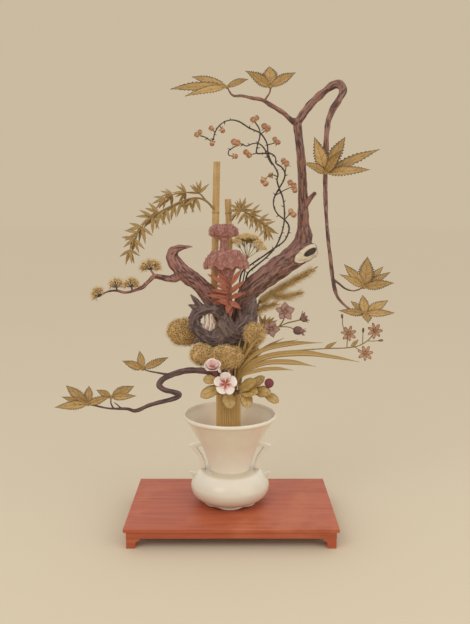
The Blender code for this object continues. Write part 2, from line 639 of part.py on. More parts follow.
# ---------------------------------------------------------------- driftwood
def build_driftwood():
    """Weathered stump, flat from front to back, with a hole through its left side."""
    ring = [(-0.018, 0.0, 0.532, 0.0120), (-0.045, 0.0, 0.542, 0.0070)]
    ring += [(-0.070, 0.0, 0.537, 0.0110), (-0.084, 0.0, 0.520, 0.0120)]
    ring += [(-0.081, 0.0, 0.500, 0.0100), (-0.066, 0.0, 0.482, 0.0110)]
    ring += [(-0.045, 0.0, 0.470, 0.0150), (-0.020, 0.0, 0.476, 0.0190)]
    horn = [(-0.068, 0.0, 0.542, 0.0090), (-0.080, 0.0, 0.560, 0.0060)]
    horn += [(-0.094, 0.0, 0.577, 0.0020)]
    nub = [(-0.083, 0.0, 0.519, 0.0095), (-0.100, 0.0, 0.521, 0.0030)]
    heart = [(-0.012, 0.0, 0.531, 0.0130), (-0.010, 0.0, 0.505, 0.0200)]
    heart += [(0.002, 0.0, 0.485, 0.0230), (0.012, 0.0, 0.474, 0.0160)]
    right = [(0.006, 0.0, 0.482, 0.0180), (0.028, 0.0, 0.496, 0.0210)]
    right += [(0.044, 0.0, 0.514, 0.0195), (0.054, 0.0, 0.545, 0.0120)]
    right += [(0.060, 0.0, 0.577, 0.0030)]
    base = [(-0.044, 0.0, 0.466, 0.0140), (-0.005, 0.0, 0.474, 0.0140)]
    base += [(0.022, 0.0, 0.478, 0.0140), (0.036, 0.0, 0.457, 0.0050)]
    pieces = [limb("ring", ring), limb("horn", horn), limb("nub", nub)]
    pieces += [limb("heart", heart), limb("right", right), limb("base", base)]
    stump = union("stump", pieces)
    stump.scale = (1.0, WOOD_PLATE, 1.0)
    stump.location = (0.0, WOOD_Y, 0.0)
    stump = bake(stump, "stump")
    peg = [(-0.010, -0.0095, STEM_FOOT, 0.0045), (-0.012, -0.016, 0.400, 0.0050)]
    peg += [(-0.014, -0.026, 0.474, 0.0060)]
    finish(union("driftwood_stump", [stump, limb("peg", rooted(peg))]), "driftwood_stump", "driftwood")


# ---------------------------------------------------------------- bamboo
def culm(name, route, node_height, bore):
    """Cut bamboo culm with one swollen node ring and an open top."""
    top = Vector(route[-1][:3])
    below = Vector(route[-2][:3])
    radius = route[-1][3]
    drop = (below - top).normalized()
    ring = below.lerp(top, (node_height - below.z) / (top.z - below.z))
    swelling = []
    for lift, swell in ((0.0040, 0.0), (0.0022, 0.0011), (0.0007, 0.0011), (0.0, 0.0002)):
        at = ring + drop * lift
        swelling.append((at.x, at.y, at.z, radius + swell))
    for lift, swell in ((0.0007, 0.0011), (0.0022, 0.0011), (0.0040, 0.0)):
        at = ring - drop * lift
        swelling.append((at.x, at.y, at.z, radius + swell))
    body = limb(name, rooted(route[:-1] + swelling + route[-1:]))
    start = top - drop * 0.004
    stop = top + drop * 0.022
    hole = limb("bore", [(start.x, start.y, start.z, bore), (stop.x, stop.y, stop.z, bore)])
    finish(subtract(body, hole, name), name, "bamboo")


def spray(name, stems, leaves):
    """Thin bamboo shoots with hanging narrow leaves."""
    pieces = [limb("stem", stem, 1) for stem in stems]
    for x, y, z, dx, dy, dz in leaves:
        reach = Vector((dx, dy, dz))
        start = Vector((x, y, z)) - reach.normalized() * ROOT_SINK
        pieces.append(leaf(start, reach, 0.0068, bend=0.08, thick=0.0016))
    finish(union(name, pieces), name, "leaf")


def build_bamboo():
    """Two upright culms, each with a leafy side shoot."""
    culm("bamboo_culm_tall", [
        (-0.013, 0.0235, STEM_FOOT, 0.0052), (-0.028, 0.040, 0.460, 0.0075),
        (-0.039, 0.050, 0.580, 0.0087), (-0.038, 0.050, 0.650, 0.0087),
        (-0.032, 0.052, 0.895, 0.0087),
    ], 0.773, 0.0062)
    culm("bamboo_culm_short", [
        (0.004, 0.0245, STEM_FOOT, 0.0045), (0.001, 0.043, 0.460, 0.0070),
        (-0.003, 0.056, 0.579, 0.0081), (-0.002, 0.058, 0.702, 0.0081),
        (-0.005, 0.060, 0.805, 0.0081),
    ], 0.771, 0.0058)
    spray("bamboo_spray_left", [
        [(-0.0400, 0.0380, 0.781, 0.0028), (-0.058, 0.034, 0.800, 0.0026),
         (-0.082, 0.024, 0.807, 0.0024), (-0.115, 0.012, 0.799, 0.0023),
         (-0.153, 0.000, 0.781, 0.0020), (-0.185, -0.012, 0.762, 0.0018),
         (-0.209, -0.022, 0.738, 0.0016), (-0.225, -0.030, 0.710, 0.0014),
         (-0.236, -0.036, 0.684, 0.0012)],
        [(-0.058, 0.034, 0.800, 0.0022), (-0.075, 0.030, 0.818, 0.0018),
         (-0.106, 0.024, 0.820, 0.0016), (-0.139, 0.018, 0.814, 0.0014),
         (-0.156, 0.014, 0.806, 0.0012)],
    ], [
        (-0.075, 0.030, 0.818, 0.004, 0.002, 0.030), (-0.075, 0.030, 0.818, -0.022, 0.0, 0.020),
        (-0.106, 0.024, 0.820, -0.024, 0.004, 0.018), (-0.106, 0.024, 0.820, -0.018, 0.008, -0.022),
        (-0.139, 0.018, 0.814, -0.026, 0.006, 0.010), (-0.139, 0.018, 0.814, -0.020, 0.010, -0.020),
        (-0.156, 0.014, 0.806, -0.028, 0.0, -0.010), (-0.156, 0.014, 0.806, -0.016, 0.006, -0.024),
        (-0.082, 0.024, 0.807, -0.010, -0.006, -0.030), (-0.098, 0.018, 0.803, -0.012, -0.004, -0.032),
        (-0.115, 0.012, 0.799, -0.012, -0.006, -0.032), (-0.134, 0.006, 0.790, -0.008, -0.006, -0.034),
        (-0.153, 0.000, 0.781, -0.008, -0.006, -0.034), (-0.169, -0.006, 0.7715, -0.006, -0.006, -0.034),
        (-0.169, -0.006, 0.7715, -0.030, 0.004, 0.010), (-0.185, -0.012, 0.762, -0.034, 0.0, 0.002),
        (-0.185, -0.012, 0.762, 0.002, -0.006, -0.034), (-0.209, -0.022, 0.738, -0.032, 0.0, -0.006),
        (-0.209, -0.022, 0.738, 0.008, -0.006, -0.032), (-0.217, -0.026, 0.724, -0.028, 0.0, -0.016),
        (-0.225, -0.030, 0.710, 0.008, -0.004, -0.030), (-0.225, -0.030, 0.710, -0.026, 0.002, -0.018),
        (-0.236, -0.036, 0.684, -0.010, -0.004, -0.032), (-0.236, -0.036, 0.684, 0.008, -0.002, -0.026),
    ])
    spray("bamboo_spray_right", [
        [(0.0040, 0.0460, 0.753, 0.0024), (0.013, 0.044, 0.765, 0.0023),
         (0.027, 0.036, 0.776, 0.0022), (0.049, 0.030, 0.768, 0.0020),
         (0.071, 0.024, 0.753, 0.0017), (0.088, 0.018, 0.732, 0.0013)],
    ], [
        (0.027, 0.036, 0.776, -0.002, 0.006, 0.030), (0.027, 0.036, 0.776, -0.026, 0.0, 0.016),
        (0.027, 0.036, 0.776, 0.026, 0.0, 0.018), (0.027, 0.036, 0.776, -0.024, -0.008, -0.014),
        (0.038, 0.033, 0.772, 0.004, -0.006, -0.030), (0.049, 0.030, 0.768, 0.030, 0.004, 0.010),
        (0.049, 0.030, 0.768, 0.006, -0.006, -0.030), (0.060, 0.027, 0.7605, 0.008, -0.006, -0.030),
        (0.071, 0.024, 0.753, 0.030, 0.0, 0.002), (0.071, 0.024, 0.753, 0.006, -0.008, -0.028),
        (0.080, 0.021, 0.742, 0.026, 0.0, -0.012), (0.088, 0.018, 0.732, 0.018, -0.004, -0.024),
        (0.088, 0.018, 0.732, -0.004, -0.008, -0.026),
    ])


# ---------------------------------------------------------------- cockscomb
def crest(name, profile, at, depth_share, lobes, ripple):
    """Velvet crest: turned profile, pressed flat and rippled into folds round its edge."""
    thing = turned(name, profile, 15)
    for vert in thing.data.vertices:
        angle = math.atan2(vert.co.y, vert.co.x)
        reach = math.hypot(vert.co.x, vert.co.y)
        fold = 1.0 + ripple * math.sin(lobes * angle + 0.6) * min(1.0, reach / 0.02)
        vert.co.x = vert.co.x * fold + at[0]
        vert.co.y = vert.co.y * fold * depth_share + at[1]
    return thing


def build_cockscomb():
    """Two stacked crests and the flame-like leaves below them."""
    stem = [(0.004, -0.004, STEM_FOOT, 0.0030), (0.004, -0.0035, 0.460, 0.0030)]
    stem += [(0.001, -0.003, 0.531, 0.0030), (-0.004, -0.003, 0.571, 0.0032)]
    stem += [(-0.007, -0.002, 0.612, 0.0042), (-0.009, 0.000, 0.640, 0.0042)]
    lower = [(0.0, 0.6740), (0.0200, 0.6790), (0.0340, 0.6760), (0.0430, 0.6680)]
    lower += [(0.0495, 0.6560), (0.0500, 0.6480), (0.0420, 0.6420), (0.0270, 0.6340)]
    lower += [(0.0150, 0.6240), (0.0080, 0.6120), (0.0, 0.6060)]
    head = crest("lower", lower, (-0.009, 0.001), 0.50, 5, 0.05)
    body = union("cockscomb_lower", [head, limb("stem", rooted(stem))])
    finish(body, "cockscomb_lower", "crest")
    upper = [(0.0, 0.7400), (0.0150, 0.7430), (0.0270, 0.7390), (0.0335, 0.7310)]
    upper += [(0.0340, 0.7220), (0.0270, 0.7150), (0.0155, 0.7080), (0.0095, 0.6990)]
    upper += [(0.0085, 0.6900), (0.0095, 0.6820), (0.0, 0.6815)]
    head = crest("cockscomb_upper", upper, (-0.015, 0.009), 0.62, 5, 0.05)
    finish(head, "cockscomb_upper", "crest")


def build_red_leaves():
    """Flame-like leaves fanned round the stalk under the crests."""
    spine = [(-0.0030, -0.0086, 0.6020, 0.0018), (0.000, -0.014, 0.5960, 0.0020)]
    spine += [(-0.001, -0.020, 0.580, 0.0022), (-0.002, -0.026, 0.561, 0.0022)]
    spine += [(-0.004, -0.030, 0.548, 0.0018)]
    pieces = [limb("spine", spine)]
    for base, reach, width in (
        ((0.000, -0.014, 0.596), (-0.036, -0.006, 0.042), 0.011),
        ((0.000, -0.015, 0.594), (-0.052, -0.020, 0.034), 0.013),
        ((0.000, -0.014, 0.596), (0.027, -0.014, 0.043), 0.013),
        ((-0.001, -0.018, 0.585), (-0.032, -0.034, 0.020), 0.012),
        ((-0.001, -0.020, 0.578), (0.034, -0.018, 0.034), 0.015),
        ((-0.001, -0.020, 0.578), (-0.037, -0.040, 0.016), 0.011),
        ((-0.0015, -0.023, 0.570), (-0.047, -0.024, 0.018), 0.014),
        ((-0.0015, -0.024, 0.567), (-0.050, -0.034, 0.014), 0.014),
        ((-0.0015, -0.024, 0.567), (0.037, -0.024, 0.018), 0.013),
        ((-0.002, -0.026, 0.561), (0.027, -0.031, -0.012), 0.015),
        ((-0.002, -0.027, 0.558), (-0.004, -0.037, -0.018), 0.018),
        ((-0.003, -0.028, 0.555), (0.006, -0.026, -0.026), 0.016),
        ((-0.003, -0.028, 0.555), (-0.022, -0.037, 0.013), 0.018),
        ((-0.003, -0.027, 0.558), (-0.035, -0.033, 0.004), 0.015),
    ):
        pieces.append(leaf(base, reach, width, thick=0.0018))
    finish(union("cockscomb_leaves", pieces), "cockscomb_leaves", "redleaf")


# ---------------------------------------------------------------- vines
def build_vines():
    """Two thin berried vines that wind upward and cross each other."""
    first = [(0.0215, 0.0135, STEM_FOOT, 0.0016), (0.027, 0.026, 0.400, 0.0017)]
    first += [(0.026, 0.036, 0.460, 0.0018), (0.024, 0.045, 0.520, 0.0018)]
    first += [(0.026, 0.050, 0.560, 0.0019), (0.024, 0.049, 0.595, 0.0020)]
    first += [(0.031, 0.043, 0.627, 0.0021), (0.054, 0.034, 0.646, 0.0021)]
    first += [(0.083, 0.022, 0.667, 0.0021), (0.108, 0.010, 0.686, 0.0021)]
    first += [(0.130, -0.002, 0.703, 0.0019), (0.140, -0.010, 0.723, 0.0019)]
    first += [(0.141, -0.016, 0.740, 0.0019), (0.131, -0.018, 0.754, 0.0019)]
    first += [(0.114, -0.014, 0.768, 0.0019), (0.105, -0.006, 0.787, 0.0019)]
    first += [(0.106, 0.000, 0.806, 0.0019), (0.117, 0.006, 0.827, 0.0019)]
    first += [(0.129, 0.002, 0.849, 0.0019), (0.131, -0.004, 0.865, 0.0019)]
    first += [(0.122, -0.014, 0.878, 0.0018), (0.109, -0.020, 0.886, 0.0018)]
    first += [(0.107, -0.020, 0.900, 0.0018), (0.098, -0.016, 0.908, 0.0018)]
    first += [(0.082, -0.008, 0.910, 0.0017), (0.064, -0.004, 0.911, 0.0017)]
    first += [(0.065, -0.003, 0.926, 0.0017), (0.071, -0.003, 0.949, 0.0017)]
    first += [(0.070, -0.002, 0.966, 0.0016), (0.058, 0.001, 0.985, 0.0015)]
    berries = [(0.055, 0.001, 0.988), (0.145, -0.020, 0.774), (0.152, -0.010, 0.835)]
    finish(vine("vine_first", rooted(first), [
        [(0.131, -0.018, 0.756, 0.0014), (0.145, -0.022, 0.772, 0.0011)],
        [(0.110, 0.002, 0.813, 0.0014), (0.127, -0.010, 0.823, 0.0012), (0.152, -0.010, 0.834, 0.0010)],
        [(0.131, -0.004, 0.864, 0.0013), (0.134, -0.010, 0.884, 0.0011)],
        [(0.064, -0.004, 0.911, 0.0013), (0.048, -0.010, 0.906, 0.0011)],
    ], berries + [(0.134, -0.010, 0.886), (0.046, -0.010, 0.905), (0.1545, -0.009, 0.8265)]),
        "vine_first", "vine")
    second = [(0.0225, 0.0085, STEM_FOOT, 0.0016), (0.0275, 0.018, 0.400, 0.0017)]
    second += [(0.031, 0.032, 0.460, 0.0018), (0.034, 0.044, 0.520, 0.0018)]
    second += [(0.037, 0.051, 0.560, 0.0019), (0.038, 0.049, 0.592, 0.0020)]
    second += [(0.044, 0.039, 0.622, 0.0021), (0.064, 0.025, 0.642, 0.0021)]
    second += [(0.088, 0.011, 0.663, 0.0021), (0.109, -0.002, 0.688, 0.0020)]
    second += [(0.117, -0.006, 0.703, 0.0020), (0.127, -0.004, 0.731, 0.0019)]
    second += [(0.131, 0.000, 0.756, 0.0019), (0.131, 0.006, 0.783, 0.0019)]
    second += [(0.127, 0.010, 0.809, 0.0019), (0.118, -0.003, 0.829, 0.0019)]
    second += [(0.112, -0.010, 0.847, 0.0019), (0.114, -0.012, 0.862, 0.0019)]
    second += [(0.106, -0.004, 0.880, 0.0018), (0.098, 0.004, 0.893, 0.0018)]
    second += [(0.091, 0.008, 0.914, 0.0018), (0.089, 0.010, 0.933, 0.0018)]
    second += [(0.081, 0.012, 0.949, 0.0018), (0.071, 0.014, 0.960, 0.0018)]
    second += [(0.046, 0.014, 0.971, 0.0017), (0.026, 0.008, 0.983, 0.0017)]
    second += [(0.008, 0.004, 0.988, 0.0016), (-0.011, 0.000, 0.984, 0.0015)]
    second += [(-0.026, -0.006, 0.972, 0.0015), (-0.035, -0.012, 0.956, 0.0015)]
    second += [(-0.041, -0.016, 0.938, 0.0014), (-0.058, -0.020, 0.946, 0.0013)]
    second += [(-0.074, -0.024, 0.950, 0.0012)]
    finish(vine("vine_second", rooted(second), [
        [(0.113, -0.012, 0.856, 0.0014), (0.098, -0.016, 0.860, 0.0011), (0.080, -0.021, 0.848, 0.0010)],
        [(0.089, 0.010, 0.931, 0.0013), (0.112, 0.000, 0.936, 0.0010)],
        [(0.074, 0.0135, 0.957, 0.0013), (0.089, 0.008, 0.968, 0.0010)],
        [(-0.034, -0.012, 0.957, 0.0013), (-0.042, -0.012, 0.966, 0.0010)],
        [(-0.024, -0.005, 0.974, 0.0012), (-0.018, -0.006, 0.965, 0.0010)],
    ], [
        (0.079, -0.021, 0.847), (0.114, -0.001, 0.936), (0.090, 0.007, 0.969),
        (-0.043, -0.012, 0.967), (-0.017, -0.006, 0.963), (-0.076, -0.024, 0.951),
        (-0.041, -0.0165, 0.934), (0.094, 0.003, 0.899),
    ]), "vine_second", "vine")
    third = [(0.1005, -0.0060, 0.8840, 0.0016), (0.092, -0.012, 0.896, 0.0016)]
    third += [(0.081, -0.020, 0.920, 0.0016), (0.067, -0.024, 0.931, 0.0015)]
    third += [(0.052, -0.026, 0.930, 0.0015), (0.039, -0.026, 0.925, 0.0015)]
    third += [(0.025, -0.026, 0.930, 0.0014), (0.008, -0.028, 0.921, 0.0014)]
    third += [(-0.002, -0.030, 0.914, 0.0014), (-0.002, -0.031, 0.904, 0.0013)]
    third += [(0.008, -0.033, 0.901, 0.0012)]
    body = vine("vine_tendril", third, [], [(0.012, -0.034, 0.901), (0.018, -0.026, 0.931)])
    finish(body, "vine_tendril", "vine")


def vine(name, route, twigs, berries):
    """One winding stem with its side twigs and round berries."""
    pieces = [limb("stem", route, 1)]
    pieces += [limb("twig", twig, 0) for twig in twigs]
    for at in berries:
        pieces.append(ball(at, (0.0062, 0.0062, 0.0058), 1))
    return union(name, pieces)


def build_umbel():
    """Flat-topped yellow flower head on branching stalks."""
    stem = [(0.0165, 0.0210, STEM_FOOT, 0.0015), (0.020, 0.038, 0.420, 0.0016)]
    stem += [(0.019, 0.055, 0.500, 0.0016), (0.026, 0.064, 0.560, 0.0016)]
    stem += [(0.038, 0.064, 0.630, 0.0017), (0.043, 0.062, 0.660, 0.0018)]
    pieces = [limb("stem", rooted(stem), 1)]
    heads = [(0.016, 0.054, 0.699), (0.028, 0.058, 0.709), (0.042, 0.060, 0.713)]
    heads += [(0.057, 0.062, 0.709), (0.070, 0.062, 0.698), (0.079, 0.060, 0.683)]
    heads += [(0.034, 0.076, 0.702), (0.056, 0.078, 0.699)]
    for x, y, z in heads:
        ray = [(0.043, 0.062, 0.658, 0.0013), (x, y, z, 0.0010)]
        pieces.append(limb("ray", ray, 0))
        pieces.append(ball((x, y, z), (0.0095, 0.0075, 0.0050), 1))
    finish(union("yellow_umbel", pieces), "yellow_umbel", "umbel")


# ---------------------------------------------------------------- blooms
def bloom(at, facing, count, length, width, cup, heart, turn=0.3, rows=3, thick=0.0018):
    """Ring of petals round a small heart, opened towards facing."""
    pieces = [ball(at, (heart, heart, heart), 1)]
    frame = aim_matrix(facing, (0.0, 0.0, 1.0))
    for index in range(count):
        angle = turn + 2.0 * math.pi * index / count
        out = Vector((math.cos(angle), math.sin(angle), cup)) * length
        face = frame @ Vector((-cup * math.cos(angle), -cup * math.sin(angle), 1.0))
        out = out * (1.0 + 0.05 * math.sin(2.1 * index + 0.4))
        span = width * (1.0 + 0.07 * math.sin(3.3 * index + 1.0))
        pieces.append(leaf(at, frame @ out, span, facing=face, bend=0.04, thick=thick, rows=rows))
    return pieces


def build_bellflowers():
    """Mauve five-pointed bells on a branching stem."""
    stem = [(0.0215, -0.0030, STEM_FOOT, 0.0018), (0.034, 0.003, 0.400, 0.0019)]
    stem += [(0.048, 0.006, 0.438, 0.0020), (0.066, -0.001, 0.466, 0.0020)]
    stem += [(0.088, -0.010, 0.481, 0.0020), (0.120, -0.020, 0.498, 0.0018)]
    stem_a = [(0.119, -0.0195, 0.4975, 0.0016), (0.130, -0.019, 0.514, 0.0016)]
    stem_a += [(0.133, -0.019, 0.531, 0.0014)]
    stem_b = [(0.098, -0.013, 0.486, 0.0014), (0.100, -0.0252, 0.4925, 0.0012)]
    stem_c = [(0.119, -0.0195, 0.4975, 0.0016), (0.139, -0.016, 0.506, 0.0015)]
    stem_c += [(0.157, -0.014, 0.510, 0.0015), (0.171, -0.012, 0.5135, 0.0016)]
    stem_d = [(0.119, -0.0195, 0.4975, 0.0014), (0.141, -0.026, 0.498, 0.0013)]
    stem_d += [(0.158, -0.034, 0.4925, 0.0013)]
    shoot = [(0.074, -0.0045, 0.4715, 0.0014), (0.081, -0.007, 0.4950, 0.0013)]
    pieces = [limb("stem", route, 1) for route in (rooted(stem), stem_a, stem_b, stem_c, stem_d, shoot)]
    for reach, width in (
        ((-0.009, -0.004, 0.034), 0.009), ((0.006, -0.006, 0.034), 0.009),
        ((0.029, -0.001, 0.027), 0.010), ((0.037, 0.004, 0.019), 0.010),
        ((0.034, -0.006, -0.014), 0.009),
    ):
        pieces.append(leaf((0.0808, -0.0069, 0.4935), reach, width))
    pieces.append(ball((0.163, -0.036, 0.491), (0.0105, 0.0075, 0.0085), 1))
    pieces += bloom((0.1712, -0.0121, 0.5137), (0.8, -0.12, 0.45), 5, 0.0130, 0.0096, 0.9, 0.0037, 0.47)
    finish(union("bellflower_stem", pieces), "bellflower_stem", "leaf")
    first = bloom((0.133, -0.0262, 0.535), (0.05, -0.95, 0.25), 5, 0.0245, 0.0170, 0.18, 0.0042, 1.57)
    finish(union("bellflower_upper", first), "bellflower_upper", "mauve")
    second = bloom((0.100, -0.0305, 0.494), (-0.05, -0.95, 0.15), 5, 0.0220, 0.0155, 0.18, 0.0042, 1.2)
    finish(union("bellflower_lower", second), "bellflower_lower", "mauve")


def build_asters():
    """Long wiry stem to the right with russet daisies near its tip."""
    stem = [(0.0195, -0.0090, STEM_FOOT, 0.0014), (0.030, -0.020, 0.384, 0.0015)]
    stem += [(0.052, -0.022, 0.400, 0.0016), (0.079, -0.019, 0.416, 0.0016)]
    stem += [(0.135, -0.017, 0.434, 0.0015), (0.190, -0.020, 0.441, 0.0015)]
    stem += [(0.243, -0.024, 0.445, 0.0014), (0.282, -0.028, 0.447, 0.0014)]
    stem += [(0.310, -0.030, 0.452, 0.0013), (0.328, -0.032, 0.462, 0.0013)]
    stem += [(0.340, -0.034, 0.474, 0.0012), (0.346, -0.035, 0.485, 0.0012)]
    stalk_a = [(0.284, -0.028, 0.4475, 0.0012), (0.284, -0.030, 0.467, 0.0011)]
    stalk_a += [(0.285, -0.0335, 0.4815, 0.0011)]
    stalk_c = [(0.301, -0.029, 0.4500, 0.0012), (0.314, -0.036, 0.443, 0.0011)]
    stalk_c += [(0.324, -0.0440, 0.4390, 0.0011)]
    stalk_d = [(0.284, -0.030, 0.4660, 0.0011), (0.274, -0.022, 0.500, 0.0010)]
    stalk_d += [(0.272, -0.022, 0.5200, 0.0009)]
    stalk_e = [(0.321, -0.031, 0.4570, 0.0011), (0.322, -0.026, 0.473, 0.0010)]
    stalk_e += [(0.323, -0.022, 0.4840, 0.0009)]
    stalk_f = [(0.331, -0.032, 0.4650, 0.0011), (0.344, -0.040, 0.466, 0.0010)]
    stalk_f += [(0.357, -0.046, 0.4680, 0.0009)]
    routes = (rooted(stem), stalk_a, stalk_c, stalk_d, stalk_e, stalk_f)
    pieces = [limb("stem", route, 1) for route in routes]
    for at in ((0.272, -0.022, 0.520), (0.323, -0.022, 0.485), (0.358, -0.046, 0.468)):
        pieces.append(ball(at, (0.0030, 0.0030, 0.0055), 1))
    pieces.append(leaf((0.231, -0.0235, 0.4443), (0.025, -0.022, 0.021), 0.009))
    pieces.append(leaf((0.293, -0.0287, 0.4487), (0.024, 0.019, 0.018), 0.009))
    finish(union("aster_stem", pieces), "aster_stem", "leaf")
    for name, at, turn in (
        ("aster_bloom_left", (0.285, -0.0385, 0.484), 0.3),
        ("aster_bloom_right", (0.347, -0.0410, 0.491), 0.9),
        ("aster_bloom_low", (0.324, -0.0495, 0.438), 0.1),
    ):
        petals = bloom(at, (0.1, -0.95, 0.25), 7, 0.0205, 0.0092, 0.12, 0.0038, turn)
        finish(union(name, petals), name, "aster")


# ---------------------------------------------------------------- long blades
def blade(name, route):
    """Long arching strip: points (x, y, z, width), broad side towards the front."""
    builder = bmesh.new()
    bmesh.ops.create_grid(builder, x_segments=1, y_segments=len(route) - 1, size=1.0)
    rows = sorted(builder.verts, key=lambda vert: (round(vert.co.y, 4), vert.co.x))
    for index, (x, y, z, width) in enumerate(route):
        here = Vector((x, y, z))
        after = Vector(route[min(index + 1, len(route) - 1)][:3])
        before = Vector(route[max(index - 1, 0)][:3])
        side = Vector((0.0, -1.0, 0.2)).cross(after - before).normalized()
        rows[2 * index].co = here - side * (width / 2.0)
        rows[2 * index + 1].co = here + side * (width / 2.0)
    thing = object_from(name, builder)
    thick = thing.modifiers.new("thick", "SOLIDIFY")
    thick.thickness = 0.0008
    thick.offset = 0.0
    finish(bake(thing, name, False), name, "leaf")


def build_blades():
    """Six narrow blades that sweep out to the right from one gather."""
    tips = {
        "long_blade_1": [(0.0155, -0.036, 0.384, 0.0049), (0.051, -0.036, 0.424, 0.0061),
                         (0.093, -0.030, 0.452, 0.0055), (0.132, -0.024, 0.471, 0.0012)],
        "long_blade_2": [(0.0175, -0.0395, 0.385, 0.0048), (0.058, -0.044, 0.431, 0.0066),
                         (0.110, -0.050, 0.458, 0.0066), (0.162, -0.058, 0.473, 0.0012)],
        "long_blade_3": [(0.0200, -0.0430, 0.386, 0.0048), (0.067, -0.070, 0.444, 0.0071),
                         (0.141, -0.086, 0.468, 0.0076), (0.214, -0.104, 0.474, 0.0012)],
        "long_blade_4": [(0.0220, -0.0465, 0.384, 0.0054), (0.076, -0.082, 0.433, 0.0100),
                         (0.161, -0.120, 0.453, 0.0103), (0.231, -0.142, 0.449, 0.0056),
                         (0.291, -0.156, 0.440, 0.0012)],
        "long_blade_5": [(0.0240, -0.0500, 0.382, 0.0048), (0.076, -0.092, 0.422, 0.0082),
                         (0.138, -0.130, 0.434, 0.0085), (0.193, -0.158, 0.430, 0.0012)],
        "long_blade_6": [(0.0250, -0.0535, 0.380, 0.0048), (0.066, -0.096, 0.407, 0.0064),
                         (0.106, -0.130, 0.419, 0.0057), (0.143, -0.156, 0.421, 0.0012)],
    }
    for index, (name, route) in enumerate(tips.items()):
        foot = [(0.0140, -0.0122 - 0.0016 * index, STEM_FOOT, 0.0036)]
        blade(name, rooted(foot + route))


# ---------------------------------------------------------------- camellia
def build_camellia():
    """Camellia sprig at the lip of the bundle: leaves, bud, one open and one half-open bloom."""
    main = [(-0.001, -0.0240, STEM_FOOT, 0.0028), (-0.001, -0.040, 0.3400, 0.0030)]
    main += [(-0.010, -0.060, 0.3500, 0.0028), (-0.024, -0.072, 0.3720, 0.0024)]
    main += [(-0.0335, -0.0800, 0.3920, 0.0022), (-0.0375, -0.0880, 0.4045, 0.0020)]
    middle = [(-0.010, -0.060, 0.3500, 0.0024), (-0.010, -0.0772, 0.3680, 0.0020)]
    right = [(-0.001, -0.040, 0.3400, 0.0028), (0.024, -0.058, 0.3480, 0.0026)]
    right += [(0.058, -0.068, 0.3510, 0.0024), (0.081, -0.076, 0.3470, 0.0021)]
    right += [(0.092, -0.083, 0.3640, 0.0018)]
    pieces = [limb("main", rooted(main)), limb("middle", middle, 1), limb("right", right)]
    pieces.append(ball((0.093, -0.085, 0.3710), (0.0080, 0.0080, 0.0098), 1))
    pieces.append(ball((-0.0340, -0.0830, 0.3970), (0.0045, 0.0045, 0.0052), 1))
    for base, reach, width in (
        ((-0.0260, -0.0738, 0.3765), (-0.038, 0.002, 0.005), 0.021),
        ((-0.0177, -0.0665, 0.3620), (-0.050, -0.028, -0.017), 0.026),
        ((-0.010, -0.0600, 0.3500), (0.014, -0.026, -0.037), 0.031),
        ((0.036, -0.0610, 0.3488), (0.007, -0.030, -0.033), 0.026),
        ((0.024, -0.0580, 0.3480), (0.038, -0.042, 0.009), 0.030),
        ((0.056, -0.0674, 0.3508), (0.039, -0.030, 0.003), 0.025),
        ((0.020, -0.0550, 0.3465), (0.037, -0.042, 0.037), 0.026),
        ((0.040, -0.0627, 0.3495), (0.041, -0.006, 0.037), 0.022),
        ((0.081, -0.0760, 0.3470), (0.034, -0.019, -0.016), 0.020),
    ):
        pieces.append(leaf(base, reach, width, facing=(0.0, -1.0, 0.6)))
    finish(union("camellia_stem", pieces), "camellia_stem", "leaf")
    wide = bloom((-0.010, -0.0840, 0.3715), (0.0, -0.95, 0.30), 5, 0.0280, 0.0290, 0.16, 0.0060, 1.57, 4)
    finish(union("camellia_open", wide), "camellia_open", "camellia")
    cup = bloom((-0.0405, -0.0960, 0.4090), (0.0, -0.55, 0.85), 5, 0.0185, 0.0205, 0.70, 0.0060, 0.42, 4)
    finish(union("camellia_half", cup), "camellia_half", "camellia")


# ---------------------------------------------------------------- assembly
def centre_footprint():
    """Slide the whole arrangement so the middle of its box stands over the origin."""
    low = [1e9, 1e9, 1e9]
    high = [-1e9, -1e9, -1e9]
    for thing in OBJECTS.objects:
        if thing.type != "MESH":
            continue
        for vert in thing.data.vertices:
            for axis in range(3):
                low[axis] = min(low[axis], vert.co[axis])
                high[axis] = max(high[axis], vert.co[axis])
    ROOT.location = (-(low[0] + high[0]) / 2.0, -(low[1] + high[1]) / 2.0, -low[2])


clear_scene()
OBJECTS = make_collection(ARRANGEMENT)
CUTTERS = make_collection("cutters")
MATERIALS = build_materials()
ROOT = bpy.data.objects.new("arrangement_root", None)
OBJECTS.objects.link(ROOT)
build_stand()
build_vase()
build_bundle()
build_main_branch()
build_main_leaves()
build_low_branch()
build_pine_branch()
build_needle_pads()
build_young_pine()
build_mounds()
build_driftwood()
build_bamboo()
build_cockscomb()
build_red_leaves()
build_vines()
build_umbel()
build_bellflowers()
build_asters()
build_blades()
build_camellia()
centre_footprint()
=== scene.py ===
import json
import math
import random
import bmesh
import bpy
from mathutils import Matrix, Vector, kdtree, noise

